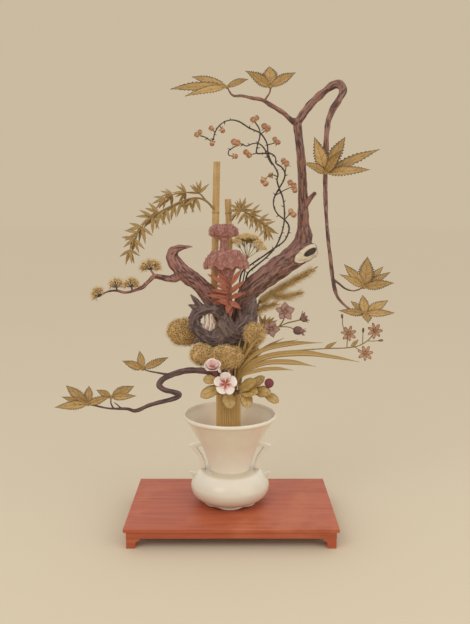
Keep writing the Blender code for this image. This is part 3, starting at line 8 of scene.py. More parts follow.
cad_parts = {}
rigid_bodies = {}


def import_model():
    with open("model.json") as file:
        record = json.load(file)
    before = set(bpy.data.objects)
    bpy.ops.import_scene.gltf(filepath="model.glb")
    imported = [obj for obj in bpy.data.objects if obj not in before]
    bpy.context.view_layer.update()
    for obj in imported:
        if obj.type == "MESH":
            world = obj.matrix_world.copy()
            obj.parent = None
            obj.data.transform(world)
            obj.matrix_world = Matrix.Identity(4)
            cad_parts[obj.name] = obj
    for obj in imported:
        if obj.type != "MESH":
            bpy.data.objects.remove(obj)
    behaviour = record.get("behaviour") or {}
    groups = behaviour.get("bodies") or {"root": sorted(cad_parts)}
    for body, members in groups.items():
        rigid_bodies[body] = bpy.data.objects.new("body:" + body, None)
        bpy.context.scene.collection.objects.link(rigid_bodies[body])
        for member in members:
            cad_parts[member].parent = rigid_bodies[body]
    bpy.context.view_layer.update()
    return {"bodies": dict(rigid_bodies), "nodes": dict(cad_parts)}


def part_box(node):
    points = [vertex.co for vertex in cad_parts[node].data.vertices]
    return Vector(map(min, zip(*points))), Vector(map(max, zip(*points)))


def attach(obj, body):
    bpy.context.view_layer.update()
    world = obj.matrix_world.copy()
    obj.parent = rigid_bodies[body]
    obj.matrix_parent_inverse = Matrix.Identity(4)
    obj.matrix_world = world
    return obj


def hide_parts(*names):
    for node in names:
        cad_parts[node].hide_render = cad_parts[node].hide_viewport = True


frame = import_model()

# places are measured from the floor under the vase axis: in millimetres where mm() reads them,
# and in metres elsewhere
vaseLow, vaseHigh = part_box("vase_body")
axisShift = Vector(((vaseLow.x + vaseHigh.x) / 2.0, (vaseLow.y + vaseHigh.y) / 2.0, 0.0))
stemFoot = 330.4  # where stems stand on the straw bundle, in millimetres
fullTurn = 2.0 * math.pi
goldenAngle = 2.39996  # spreads points evenly round a centre
shapes = []  # single leaves, needles and berries that get repeated

keep = set(frame["nodes"].values()) | set(frame["bodies"].values())
for thing in list(bpy.data.objects):
    if thing not in keep:
        bpy.data.objects.remove(thing, do_unlink=True)


def tint(red, green, blue):
    made = []
    for level in (red / 255.0, green / 255.0, blue / 255.0):
        made.append(level / 12.92 if level <= 0.04045 else ((level + 0.055) / 1.055) ** 2.4)
    return (*made, 1.0)


def mm(wide, *numbers):
    # listed millimetres as rows of that many numbers, in metres
    sizes = [round(number / 1000.0, 7) for number in numbers]
    return [tuple(sizes[start:start + wide]) for start in range(0, len(sizes), wide)]


def linked(name, data):
    made = bpy.data.objects.new(name, data)
    bpy.context.scene.collection.objects.link(made)
    return made


# a socket that can be added, multiplied and so on
class Wire:
    def __init__(self, tree, socket):
        self.tree = tree
        self.socket = socket

    def calc(self, operation, *values):
        node = self.tree.nodes.new("ShaderNodeMath")
        node.operation = operation
        for place, value in zip(node.inputs, values):
            if isinstance(value, Wire):
                self.tree.links.new(value.socket, place)
            else:
                place.default_value = value
        return Wire(self.tree, node.outputs[0])

    def __add__(self, other):
        return self.calc("ADD", self, other)

    def __radd__(self, other):
        return self.calc("ADD", other, self)

    def __sub__(self, other):
        return self.calc("SUBTRACT", self, other)

    def __rsub__(self, other):
        return self.calc("SUBTRACT", other, self)

    def __mul__(self, other):
        return self.calc("MULTIPLY", self, other)

    def __rmul__(self, other):
        return self.calc("MULTIPLY", other, self)

    def __truediv__(self, other):
        return self.calc("DIVIDE", self, other)

    def __rtruediv__(self, other):
        return self.calc("DIVIDE", other, self)

    def __pow__(self, other):
        return self.calc("POWER", self, other)

    def sine(self):
        return self.calc("SINE", self)

    def size(self):
        return self.calc("ABSOLUTE", self)

    def most(self, other):
        return self.calc("MAXIMUM", self, other)


# a node tree with one method that makes any node: type, settings, sockets
class Bench:
    def node(self, kind, settings=None, sockets=None, out=0):
        made = self.tree.nodes.new(kind)
        for key, value in (settings or {}).items():
            if key == "stops":
                while len(made.color_ramp.elements) < len(value):
                    made.color_ramp.elements.new(0.5)
                for stop, (place, colour) in zip(made.color_ramp.elements, value):
                    stop.position = place
                    stop.color = colour
            else:
                setattr(made, key, value)
        for key, value in (sockets or {}).items():
            if isinstance(value, Wire):
                self.tree.links.new(value.socket, made.inputs[key])
            else:
                made.inputs[key].default_value = value
        return Wire(self.tree, made.outputs[out])


class Finish(Bench):
    def __init__(self, name, fixed=None):
        self.material = bpy.data.materials.new(name)
        self.material.use_nodes = True
        self.tree = self.material.node_tree
        self.shader = self.tree.nodes["Principled BSDF"]
        for key, value in (fixed or {}).items():
            self.shader.inputs[key].default_value = value

    def feed(self, wires):
        for key, wire in wires.items():
            self.tree.links.new(wire.socket, self.shader.inputs[key])
        return self.material

    def place(self):
        return self.node("ShaderNodeTexCoord", out="Object")

    def mark(self, name, out="Vector"):
        return self.node("ShaderNodeAttribute", {"attribute_name": name}, out=out)

    def part(self, vector, axis):
        return self.node("ShaderNodeSeparateXYZ", {}, {0: vector}, axis)

    def stretch(self, vector, amounts):
        return self.node("ShaderNodeVectorMath", {"operation": "MULTIPLY"}, {0: vector, 1: amounts})

    def cloud(self, vector, scale, detail=4.0, rough=0.55, bent=0.0):
        sockets = {"Vector": vector, "Scale": scale, "Detail": detail, "Roughness": rough, "Distortion": bent}
        return self.node("ShaderNodeTexNoise", {}, sockets, "Fac")

    def ease(self, value, low, high):
        sockets = {"Value": value, "From Min": low, "From Max": high}
        return self.node("ShaderNodeMapRange", {"interpolation_type": "SMOOTHSTEP"}, sockets)

    def blend(self, factor, first, second):
        return self.node("ShaderNodeMix", {"data_type": "RGBA"}, {0: factor, 6: first, 7: second}, 2)

    def bump(self, height, strength, distance):
        sockets = {"Strength": strength, "Distance": distance, "Height": height}
        return self.node("ShaderNodeBump", {}, sockets, "Normal")


# points and faces being gathered for one piece; grain says where on its own leaf or limb a
# point lies, and tone is one number for the whole leaf
class Heap:
    def __init__(self):
        self.points = []
        self.faces = []
        self.grain = []
        self.tone = []
        self.finish = []
        self.spine = []

    def add(self, points, faces, grain, tone=0.5, turn=None, at=None, finish=0):
        start = len(self.points)
        for point in points:
            here = Vector(point)
            if turn is not None:
                here = turn @ here
            if at is not None:
                here = here + Vector(at)
            self.points.append(here)
        self.grain.extend(grain)
        self.tone.extend([tone] * len(points))
        for face in faces:
            self.faces.append(tuple(start + index for index in face))
            self.finish.append(finish)

    def piece(self, name, finishes, smooth=True):
        mesh = bpy.data.meshes.new(name)
        mesh.from_pydata(self.points, [], self.faces)
        for finish in finishes:
            mesh.materials.append(finish)
        mesh.polygons.foreach_set("material_index", self.finish)
        mesh.polygons.foreach_set("use_smooth", [smooth] * len(self.faces))
        putMark(mesh, "grain", self.grain)
        putMark(mesh, "tone", self.tone)
        mesh.update()
        return linked(name, mesh)


def putMark(mesh, name, values):
    old = mesh.attributes.get(name)
    if old:
        mesh.attributes.remove(old)
    if len(values) and hasattr(values[0], "__len__"):
        mark = mesh.attributes.new(name, "FLOAT_VECTOR", "POINT")
        mark.data.foreach_set("vector", [number for value in values for number in value])
    else:
        mark = mesh.attributes.new(name, "FLOAT", "POINT")
        mark.data.foreach_set("value", values)


def plain(piece):
    # what the modifiers show becomes the piece's own mesh
    bpy.context.view_layer.update()
    graph = bpy.context.evaluated_depsgraph_get()
    shown = piece.evaluated_get(graph)
    mesh = bpy.data.meshes.new_from_object(shown, preserve_all_data_layers=True, depsgraph=graph)
    old = piece.data
    if piece.type == "MESH":
        piece.modifiers.clear()
        piece.data = mesh
        bpy.data.meshes.remove(old)
        return piece
    mesh.transform(piece.matrix_world)
    made = linked(piece.name, mesh)
    bpy.data.objects.remove(piece, do_unlink=True)
    return made


def joined(name, pieces):
    # several plain meshes as one
    whole = bmesh.new()
    finishes = []
    for piece in pieces:
        mesh = piece.data
        order = []
        for finish in mesh.materials:
            if finish not in finishes:
                finishes.append(finish)
            order.append(finishes.index(finish))
        if order:
            slots = [order[face.material_index] for face in mesh.polygons]
            mesh.polygons.foreach_set("material_index", slots)
        whole.from_mesh(mesh)
    mesh = bpy.data.meshes.new(name)
    whole.to_mesh(mesh)
    whole.free()
    for finish in finishes:
        mesh.materials.append(finish)
    for piece in pieces:
        bpy.data.objects.remove(piece, do_unlink=True)
    return linked(name, mesh)


def turnedOut(piece, near=0.0):
    # near points merge, points that no face uses go, and faces point outwards
    work = bmesh.new()
    work.from_mesh(piece.data)
    if near > 0.0:
        bmesh.ops.remove_doubles(work, verts=work.verts, dist=near)
    bmesh.ops.delete(work, geom=[vert for vert in work.verts if not vert.link_faces], context="VERTS")
    bmesh.ops.recalc_face_normals(work, faces=work.faces)
    work.to_mesh(piece.data)
    work.free()
    return piece


def settle(piece, name, slotName, *nodes):
    piece.name = name
    piece.data.name = name
    piece.data.transform(Matrix.Translation(axisShift))
    piece.data.update()
    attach(piece, "root")
    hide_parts(*nodes)
    return piece


def aimed(along, facing):
    # turn that puts Z along one direction with Y as near as it can to the facing
    axisZ = Vector(along).normalized()
    axisX = Vector(facing).cross(axisZ)
    if axisX.length < 0.0001:
        axisX = axisZ.orthogonal()
    axisX.normalize()
    return Matrix((axisX, axisZ.cross(axisX), axisZ)).transposed()


def walked(route, step):
    # smooth line through given (x, y, z, radius) points
    knots = [Vector(point[:3]) for point in route]
    widths = [point[3] for point in route]
    lean = []
    for index in range(len(knots)):
        before = knots[max(index - 1, 0)]
        after = knots[min(index + 1, len(knots) - 1)]
        reach = (knots[index] - before).length + (after - knots[index]).length
        lean.append((after - before) / max(reach, 0.000001))
    places = [knots[0]]
    radii = [widths[0]]
    for index in range(len(knots) - 1):
        span = (knots[index + 1] - knots[index]).length
        count = max(1, round(span / step))
        for part in range(1, count + 1):
            share = part / count
            square = share * share
            cube = square * share
            here = knots[index] * (2 * cube - 3 * square + 1) + knots[index + 1] * (3 * square - 2 * cube)
            here += lean[index] * span * (cube - 2 * square + share)
            here += lean[index + 1] * span * (cube - square)
            places.append(here)
            soft = share * share * (3 - 2 * share)
            radii.append(widths[index] + (widths[index + 1] - widths[index]) * soft)
    return places, radii


def framed(places):
    # place, side, lift, forward and distance for every step of a line
    steps = []
    side = None
    gone = 0.0
    for index, here in enumerate(places):
        before = places[max(index - 1, 0)]
        after = places[min(index + 1, len(places) - 1)]
        ahead = (after - before).normalized()
        if side is None:
            side = ahead.orthogonal().normalized()
        else:
            gone += (here - places[index - 1]).length
            side = (side - ahead * side.dot(ahead)).normalized()
        steps.append((here, side, ahead.cross(side), ahead, gone))
    return steps


def tubeFaces(rings, sides):
    # rings of points joined in order, closed by one point at the foot and one at the top
    faces = []
    for ring in range(rings - 1):
        for index in range(sides):
            after = (index + 1) % sides
            low = ring * sides
            high = low + sides
            faces.append((low + index, low + after, high + after, high + index))
    foot = rings * sides
    top = foot - sides
    for index in range(sides):
        after = (index + 1) % sides
        faces.append((foot, after, index))
        faces.append((top + index, top + after, foot + 1))
    return faces


def turnedFaces(rows, around):
    # rows of points round the upright axis, between a first and a last point on it
    faces = []
    last = 1 + rows * around
    for index in range(around):
        after = (index + 1) % around
        faces.append((0, 1 + index, 1 + after))
        for row in range(rows - 1):
            low = 1 + row * around
            high = low + around
            faces.append((low + index, high + index, high + after, low + after))
        top = 1 + (rows - 1) * around
        faces.append((last, top + after, top + index))
    return faces


def limb(heap, route, sides=10, step=0.006, caps=(0.7, 0.7), tone=0.5, finish=0, knots=0.0, start=0.0):
    # closed round limb; knots swells it unevenly
    places, radii = walked(route, step)
    steps = framed(places)
    rings = []
    first = steps[0]
    last = steps[-1]
    for share in (0.9, 0.6):
        rings.append((first[0] - first[3] * radii[0] * caps[0] * share, first,
                      radii[0] * math.sqrt(1 - share * share)))
    for stepAt, radius in zip(steps, radii):
        swell = 1.0 + knots * noise.noise(stepAt[0] * 55.0 + Vector((start * 7.0, 0.0, 0.0)))
        rings.append((stepAt[0], stepAt, radius * swell))
        heap.spine.append((stepAt[0], stepAt[1], stepAt[2], stepAt[4] + start, radius))
    for share in (0.6, 0.9):
        rings.append((last[0] + last[3] * radii[-1] * caps[1] * share, last,
                      radii[-1] * math.sqrt(1 - share * share)))
    points = []
    grain = []
    for centre, (here, side, lift, ahead, gone), radius in rings:
        for index in range(sides):
            angle = fullTurn * index / sides
            out = side * math.cos(angle) + lift * math.sin(angle)
            points.append(centre + out * radius)
            grain.append((math.cos(angle) * radius, math.sin(angle) * radius, gone + start))
    points.append(first[0] - first[3] * radii[0] * caps[0])
    points.append(last[0] + last[3] * radii[-1] * caps[1])
    grain += [(0.0, 0.0, start), (0.0, 0.0, last[4] + start)]
    heap.add(points, tubeFaces(len(rings), sides), grain, tone, finish=finish)


def fused(heap, name, finishes, voxel, rounds, bark):
    # overlapping limbs melted into one skin, with bark raised along each limb
    piece = heap.piece(name, finishes)
    melt = piece.modifiers.new("melt", "REMESH")
    melt.mode = "VOXEL"
    melt.voxel_size = voxel
    melt.use_smooth_shade = True
    plain(piece)
    work = bmesh.new()
    work.from_mesh(piece.data)
    for index in range(rounds):
        bmesh.ops.smooth_vert(work, verts=work.verts, factor=0.5, use_axis_x=True, use_axis_y=True,
                              use_axis_z=True)
    work.normal_update()
    tree = kdtree.KDTree(len(heap.spine))
    for index, stepAt in enumerate(heap.spine):
        tree.insert(stepAt[0], index)
    tree.balance()
    grain = []
    for vert in work.verts:
        near = min(tree.find_n(vert.co, 6), key=lambda found: found[2] - heap.spine[found[1]][4])
        centre, side, lift, gone, radius = heap.spine[near[1]]
        away = vert.co - centre
        grain.append(Vector((away.dot(side), away.dot(lift), gone)))
    for vert, mark in zip(work.verts, grain):
        thick = Vector((mark.x, mark.y, 0.0)).length
        across = bark["across"]
        crest = 1.0 - 2.2 * abs(noise.noise(Vector((mark.x * across, mark.y * across,
                                                    mark.z * bark["along"]))))
        crest += 0.5 * noise.noise(vert.co * bark["lumps"])
        vert.co += vert.normal * crest * bark["depth"] * min(1.0, thick / bark["full"])
    work.to_mesh(piece.data)
    work.free()
    for finish in finishes:
        if finish.name not in [slot.name for slot in piece.data.materials if slot]:
            piece.data.materials.append(finish)
    piece.data.polygons.foreach_set("use_smooth", [True] * len(piece.data.polygons))
    putMark(piece.data, "grain", grain)
    putMark(piece.data, "tone", [0.5] * len(grain))
    return piece


outlines = {
    "ovate": [(0.0, 0.08), (0.08, 0.36), (0.22, 0.80), (0.40, 1.0), (0.58, 0.90), (0.76, 0.58), (0.90, 0.24),
              (1.0, 0.0)],
    "lance": [(0.0, 0.10), (0.12, 0.55), (0.33, 1.0), (0.58, 0.88), (0.82, 0.42), (1.0, 0.0)],
    "flame": [(0.0, 0.12), (0.2, 0.70), (0.45, 1.0), (0.7, 0.80), (0.88, 0.40), (1.0, 0.0)],
    "round": [(0.0, 0.16), (0.2, 0.50), (0.45, 0.90), (0.66, 1.0), (0.82, 0.90), (0.94, 0.58), (1.0, 0.0)],
    "bell": [(0.0, 0.45), (0.25, 0.86), (0.48, 1.0), (0.70, 0.80), (0.88, 0.36), (1.0, 0.0)],
    "oval": [(0.0, 0.20), (0.25, 0.72), (0.55, 1.0), (0.80, 0.84), (0.93, 0.52), (1.0, 0.0)],
    "strap": [(0.0, 0.55), (0.2, 0.85), (0.55, 1.0), (0.8, 0.68), (1.0, 0.0)],
}


def widthAt(outline, share):
    stops = outlines[outline]
    for (low, first), (high, second) in zip(stops, stops[1:]):
        if share <= high:
            part = (share - low) / (high - low)
            part = part * part * (3 - 2 * part) * 0.5 + part * 0.5
            return first + (second - first) * part
    return 0.0


def leaf(heap, base, reach, width, facing=(0.0, -1.0, 0.35), outline="ovate", rows=14, across=6, bend=0.10,
         fold=0.16, thick=0.0009, teeth=0.0, quilt=0.0, wave=0.0, tone=0.5, finish=0, sink=0.001):
    # closed leaf or petal: Z along it, X across it, Y towards the side that it shows
    length = Vector(reach).length
    turn = aimed(reach, facing)
    start = Vector(base) - Vector(reach).normalized() * sink
    points = []
    grain = []
    number = {}
    for side in (1, -1):
        for row in range(rows + 1):
            share = row / rows
            if outline == "round":
                share = 1.0 - (1.0 - share) ** 1.4
            for column in range(across + 1):
                spread = -1.0 + 2.0 * column / across
                edge = column in (0, across) or row in (0, rows)
                key = (1 if edge else side, row, 0 if row in (0, rows) else column)
                if key in number:
                    number[(side, row, column)] = number[key]
                    continue
                half = widthAt(outline, share) * width / 2.0
                if row in (0, rows):
                    spread = 0.0
                saw = 1.0 + teeth * (1 if row % 2 else -1) * abs(spread) ** 5
                high = fold * half * abs(spread) ** 1.3 - bend * length * share * share
                ribs = 6.2832 * (share * rows / 4.0 - abs(spread) * 0.7)
                high += quilt * math.sin(ribs) * (1 - spread ** 4)
                high += wave * math.sin(7.0 * share + 2.0 * tone * 6.0) * spread * half
                high -= 0.35 * quilt * max(0.0, 1.0 - abs(spread) * 3.0) * 4.0
                if not edge:
                    high += side * thick / 2.0 * (1.0 - spread ** 4)
                point = Vector((spread * half * saw, high, share * length))
                number[key] = len(points)
                number[(side, row, column)] = len(points)
                points.append(start + turn @ point)
                grain.append((spread, share, tone))
    faces = []
    for side in (1, -1):
        for row in range(rows):
            for column in range(across):
                ring = [number[(side, row, column)], number[(side, row, column + 1)]]
                ring += [number[(side, row + 1, column + 1)], number[(side, row + 1, column)]]
                if side == 1:
                    ring.reverse()
                ring = list(dict.fromkeys(ring))
                if len(ring) > 2:
                    faces.append(tuple(ring))
    heap.add(points, faces, grain, tone, finish=finish)


def ball(heap, at, radii, around=12, up=8, tone=0.5, finish=0, lumps=0.0):
    points = [Vector((0.0, 0.0, -1.0))]
    for row in range(1, up):
        rise = math.pi * row / up
        for index in range(around):
            angle = fullTurn * index / around
            points.append(Vector((math.sin(rise) * math.cos(angle), math.sin(rise) * math.sin(angle),
                                  -math.cos(rise))))
    points.append(Vector((0.0, 0.0, 1.0)))
    faces = []
    for index in range(around):
        after = (index + 1) % around
        faces.append((0, 1 + after, 1 + index))
        for row in range(up - 2):
            low = 1 + row * around
            high = low + around
            faces.append((low + index, low + after, high + after, high + index))
        top = 1 + (up - 2) * around
        faces.append((top + index, top + after, len(points) - 1))
    grain = [tuple(point) for point in points]
    placed = []
    for point in points:
        swell = 1.0 + lumps * noise.noise(point * 3.1 + Vector(at) * 90.0)
        placed.append(Vector((point.x * radii[0], point.y * radii[1], point.z * radii[2])) * swell)
    heap.add(placed, faces, grain, tone, at=at, finish=finish)


# Geometry Nodes
class Pattern(Bench):
    def __init__(self, name, inputs):
        self.tree = bpy.data.node_groups.new(name, "GeometryNodeTree")
        self.tree.interface.new_socket("Geometry", in_out="INPUT", socket_type="NodeSocketGeometry")
        for label, kind, start in inputs:
            made = self.tree.interface.new_socket(label, in_out="INPUT", socket_type="NodeSocket" + kind)
            if start is not None:
                made.default_value = start
        self.tree.interface.new_socket("Geometry", in_out="OUTPUT", socket_type="NodeSocketGeometry")
        self.source = self.tree.nodes.new("NodeGroupInput")

    def given(self, label):
        return Wire(self.tree, self.source.outputs[label])

    def end(self, geometry):
        target = self.tree.nodes.new("NodeGroupOutput")
        self.tree.links.new(geometry.socket, target.inputs[0])
        return self.tree

    def scatter(self, low, high, seed):
        sockets = {2: low, 3: high, "Seed": seed}
        return self.node("FunctionNodeRandomValue", {"data_type": "FLOAT"}, sockets, 1)

    def vary(self):
        return self.scatter(1.0 - self.given("Unevenness"), 1.0 + self.given("Unevenness"),
                            self.given("Seed"))

    def mark(self, name):
        return self.node("GeometryNodeInputNamedAttribute", {"data_type": "FLOAT_VECTOR"}, {"Name": name})

    def grown(self, points, rotation, scale):
        # the shape at every point, each with its own tone, as one plain mesh
        sockets = {"Object": self.given("Shape")}
        shape = self.node("GeometryNodeObjectInfo", {"transform_space": "ORIGINAL"}, sockets, "Geometry")
        sockets = {"Points": points, "Instance": shape, "Rotation": rotation, "Scale": scale}
        placed = self.node("GeometryNodeInstanceOnPoints", {}, sockets)
        sockets = {"Geometry": placed, "Name": "tone", "Value": self.scatter(0.0, 1.0, self.given("Seed"))}
        settings = {"data_type": "FLOAT", "domain": "INSTANCE"}
        placed = self.node("GeometryNodeStoreNamedAttribute", settings, sockets)
        solid = self.node("GeometryNodeRealizeInstances", {}, {"Geometry": placed})
        return self.node("GeometryNodeSetMaterial", {}, {"Geometry": solid, "Material": self.given("Finish")})


def buildSprinkle():
    # a shape at every marked point, turned and sized by the point's own marks
    work = Pattern("shapeAtPoints", [
        ("Shape", "Object", None), ("Length", "Float", 1.0), ("Girth", "Float", 1.0),
        ("Unevenness", "Float", 0.1), ("Seed", "Int", 1), ("Finish", "Material", None),
    ])
    rotation = work.node("FunctionNodeEulerToRotation", {}, {0: work.mark("turn")})
    vary = work.vary()
    girth = work.given("Girth") * vary
    sizes = work.node("ShaderNodeCombineXYZ", {}, {0: girth, 1: girth, 2: work.given("Length") * vary})
    scale = work.node("ShaderNodeVectorMath", {"operation": "MULTIPLY"}, {0: work.mark("size"), 1: sizes})
    return work.end(work.grown(work.given("Geometry"), rotation, scale))


def buildTufts():
    # tufts over a surface, which stays under them with its own finish
    work = Pattern("tuftsOnSurface", [
        ("Shape", "Object", None), ("Spacing", "Float", 0.006), ("Density", "Float", 40000.0),
        ("Length", "Float", 0.01), ("Unevenness", "Float", 0.15), ("Lean", "Vector", None),
        ("Seed", "Int", 1), ("Finish", "Material", None), ("Under", "Material", None),
    ])
    sockets = {"Mesh": work.given("Geometry"), "Distance Min": work.given("Spacing")}
    sockets.update({"Density Max": work.given("Density"), "Seed": work.given("Seed")})
    points = work.node("GeometryNodeDistributePointsOnFaces", {"distribute_method": "POISSON"}, sockets,
                       "Points")
    normal = Wire(work.tree, points.socket.node.outputs["Normal"])
    lean = work.node("ShaderNodeVectorMath", {"operation": "ADD"}, {0: normal, 1: work.given("Lean")})
    roll = work.node("ShaderNodeCombineXYZ", {}, {2: work.scatter(0.0, 6.2832, work.given("Seed"))})
    rotation = work.node("FunctionNodeEulerToRotation", {}, {0: roll})
    rotation = work.node("FunctionNodeAlignRotationToVector", {"axis": "Z"},
                         {"Rotation": rotation, "Vector": lean})
    needles = work.grown(points, rotation, work.vary() * work.given("Length"))
    sockets = {"Geometry": work.given("Geometry"), "Material": work.given("Under")}
    under = work.node("GeometryNodeSetMaterial", {}, sockets)
    both = work.node("GeometryNodeJoinGeometry")
    work.tree.links.new(under.socket, both.socket.node.inputs[0])
    work.tree.links.new(needles.socket, both.socket.node.inputs[0])
    return work.end(both)


def worked(piece, tree, choices):
    step = piece.modifiers.new(tree.name, "NODES")
    step.node_group = tree
    for item in tree.interface.items_tree:
        if item.item_type == "SOCKET" and item.in_out == "INPUT" and item.name in choices:
            step[item.identifier] = choices[item.name]
    return plain(piece)


def marked(name, spots):
    # loose points with a turn and a size each: (place, along, facing, size)
    mesh = bpy.data.meshes.new(name)
    mesh.from_pydata([spot[0] for spot in spots], [], [])
    putMark(mesh, "turn", [tuple(aimed(spot[1], spot[2]).to_euler()) for spot in spots])
    putMark(mesh, "size", [(size, size, size) if not hasattr(size, "__len__") else tuple(size)
                           for size in [spot[3] for spot in spots]])
    return linked(name, mesh)


def shapeOf(heap, name):
    # a shape kept aside for repeating
    made = heap.piece(name, [])
    shapes.append(made)
    return made


sprinkle = buildSprinkle()
tufts = buildTufts()
print("tools ready")


# finishes
def glazeFinish():
    # the darker pool colour serves both the glaze's own random pooling and the painted shade in the creases;
    # the inside colour is painted shade within the mouth
    look = {"body": tint(236, 227, 208), "poolAndShade": tint(196, 176, 142), "inside": tint(228, 208, 174)}
    work = Finish("creamGlaze", {"Coat Weight": 0.35, "Coat Roughness": 0.12, "Specular IOR Level": 0.45})
    place = work.place()
    height = work.part(place, "Z")
    drift = work.cloud(place, 26.0, 3.0)
    shade = work.cloud(place, 420.0, 2.0)
    colour = work.blend(drift * 0.30, look["body"], look["poolAndShade"])
    # painted shade: thin darker bands in the creases where the neck meets the belly and the belly meets the
    # foot, and a fainter one under the rolled lip
    neckCreaseShade = work.ease((height - 0.1325).size(), 0.0055, 0.0006)
    footCreaseShade = work.ease((height - 0.0585).size(), 0.0045, 0.0006)
    lipCreaseShade = work.ease((height - 0.2665).size(), 0.0032, 0.0004)
    line = neckCreaseShade.most(footCreaseShade).most(lipCreaseShade * 0.45)
    colour = work.blend(line * 0.75, colour, look["poolAndShade"])
    # painted shade: the inside of the mouth is turned a darker beige
    inside = work.ease(work.part(work.mark("grain"), "Y"), 0.45, 0.55)
    colour = work.blend(inside * 0.85, colour, look["inside"])
    # painted shade: the body turns darker from the shoulder down to the foot
    colour = work.blend(work.ease(height, 0.136, 0.100) * 0.55, colour, tint(206, 190, 164))
    specks = work.ease(work.cloud(place, 700.0, 1.0), 0.74, 0.80)
    colour = work.blend(specks * 0.35, colour, tint(150, 126, 92))
    bump = work.bump(drift * 0.7 + shade * 0.12, 0.25, 0.0012)
    return work.feed({"Base Color": colour, "Roughness": 0.24 + drift * 0.16, "Normal": bump})


def lacquerFinish():
    look = {"coat": tint(186, 96, 62), "deep": tint(148, 68, 42), "worn": tint(200, 118, 80)}
    work = Finish("orangeLacquer", {"Coat Weight": 0.04, "Coat Roughness": 0.35, "Specular IOR Level": 0.3})
    place = work.place()
    grain = work.cloud(work.stretch(place, (5.0, 95.0, 95.0)), 1.0, 6.0, 0.62, 0.6)
    fine = work.cloud(work.stretch(place, (22.0, 620.0, 620.0)), 1.0, 3.0)
    patch = work.cloud(place, 9.0, 4.0, 0.6)
    colour = work.blend(work.ease(grain, 0.36, 0.70) * 0.62, look["coat"], look["deep"])
    colour = work.blend(work.ease(patch, 0.48, 0.72) * 0.55, colour, look["worn"])
    colour = work.blend(work.ease(fine, 0.58, 0.75) * 0.25, colour, look["deep"])
    bump = work.bump(grain * 0.6 + fine * 0.4, 0.30, 0.0008)
    return work.feed({"Base Color": colour, "Roughness": 0.40 + patch * 0.18, "Normal": bump})


def barkFinish(name, body, ridge, furrow, warm, bare=None):
    work = Finish(name)
    grain = work.mark("grain")
    long = work.stretch(grain, (190.0, 190.0, 34.0))
    flow = work.cloud(long, 1.0, 5.0, 0.6, 0.8)
    fine = work.cloud(work.stretch(grain, (900.0, 900.0, 160.0)), 1.0, 3.0)
    patch = work.cloud(work.place(), 34.0, 3.0)
    colour = work.blend(work.ease(flow, 0.42, 0.56), furrow, body)
    colour = work.blend(work.ease(flow, 0.60, 0.78) * 0.8, colour, ridge)
    colour = work.blend(work.ease(patch, 0.46, 0.70) * 0.6, colour, warm)
    colour = work.blend(work.ease(fine, 0.58, 0.72) * 0.35, colour, furrow)
    if bare:
        shown = work.mark("bare", "Fac")
        deep = work.mark("hollow", "Fac")
        # the bare mark paints the pale colour: bare wood on the plum branch's healed scar, a painted highlight
        # on the inner edges of the driftwood's hole, and a paler tip on its right horn
        colour = work.blend(work.ease(shown + (flow - 0.5) * 0.5, 0.35, 0.60), colour, bare)
        lip = work.ease((shown - 0.34).size(), 0.26, 0.06) * work.ease(shown, 0.02, 0.12)
        colour = work.blend(lip * 0.7, colour, furrow)
        # painted shade: the recessed hollow is darkened towards deep brown
        colour = work.blend(work.ease(deep + (flow - 0.5) * 0.7, 0.30, 0.55), colour, tint(86, 72, 66))
    bump = work.bump(flow * 0.8 + fine * 0.3, 0.65, 0.0016)
    return work.feed({"Base Color": colour, "Roughness": 0.70 + fine * 0.25, "Normal": bump})


def leafFinish(name, body, pale, vein, edge, ribs=6.0, roughness=0.5, coat=0.0, edgeAmount=0.8, ribLine=0.05,
               feather=0.0):
    # grain X runs across the leaf, Y along it
    work = Finish(name, {"Coat Weight": coat, "Coat Roughness": 0.35})
    grain = work.mark("grain")
    tone = work.mark("tone", "Fac")
    across = work.part(grain, "X").size()
    along = work.part(grain, "Y")
    place = work.place()
    patch = work.cloud(place, 75.0, 4.0, 0.6)
    colour = work.blend(work.ease(patch * 0.7 + tone * 0.5, 0.35, 0.80), body, pale)
    streak = work.cloud(work.stretch(grain, (16.0, 3.0, 1.0)), 1.0, 3.0)
    colour = work.blend(work.ease(streak, 0.50, 0.72) * 0.35, colour, vein)
    rim = work.ease(across + (patch - 0.5) * 0.55 + work.ease(along, 0.45, 1.0) * 0.35, 0.62, 1.02)
    colour = work.blend(rim * edgeAmount, colour, edge)
    slant = ((along * ribs - across * 0.9) * 6.2832).sine()
    side = work.ease(slant, 0.86, 0.985)
    rib = work.ease(across, ribLine, ribLine * 0.35)
    line = (side * 0.55).most(rib)
    colour = work.blend(line * 0.72, colour, vein)
    if feather > 0.0:
        stroke = ((along * 24.0 - across * 6.0 + tone * 3.0) * 6.2832).sine()
        stroke = work.ease(stroke, 0.0, 0.8) * work.ease(across + (streak - 0.5) * 0.5, 0.38, 0.90)
        colour = work.blend(stroke * feather, colour, edge)
    bump = work.bump(patch * 0.35 - line * 0.8, 0.45, 0.0006)
    return work.feed({"Base Color": colour, "Roughness": roughness + patch * 0.2, "Normal": bump})


def stemFinish(name, body, dark, size=260.0):
    work = Finish(name)
    grain = work.mark("grain")
    flow = work.cloud(work.stretch(grain, (size * 2.5, size * 2.5, size * 0.5)), 1.0, 4.0)
    patch = work.cloud(work.place(), 90.0, 3.0)
    colour = work.blend(work.ease(flow, 0.38, 0.68), body, dark)
    colour = work.blend(work.ease(patch, 0.50, 0.72) * 0.4, colour, dark)
    bump = work.bump(flow, 0.4, 0.0006)
    return work.feed({"Base Color": colour, "Roughness": 0.55 + flow * 0.25, "Normal": bump})


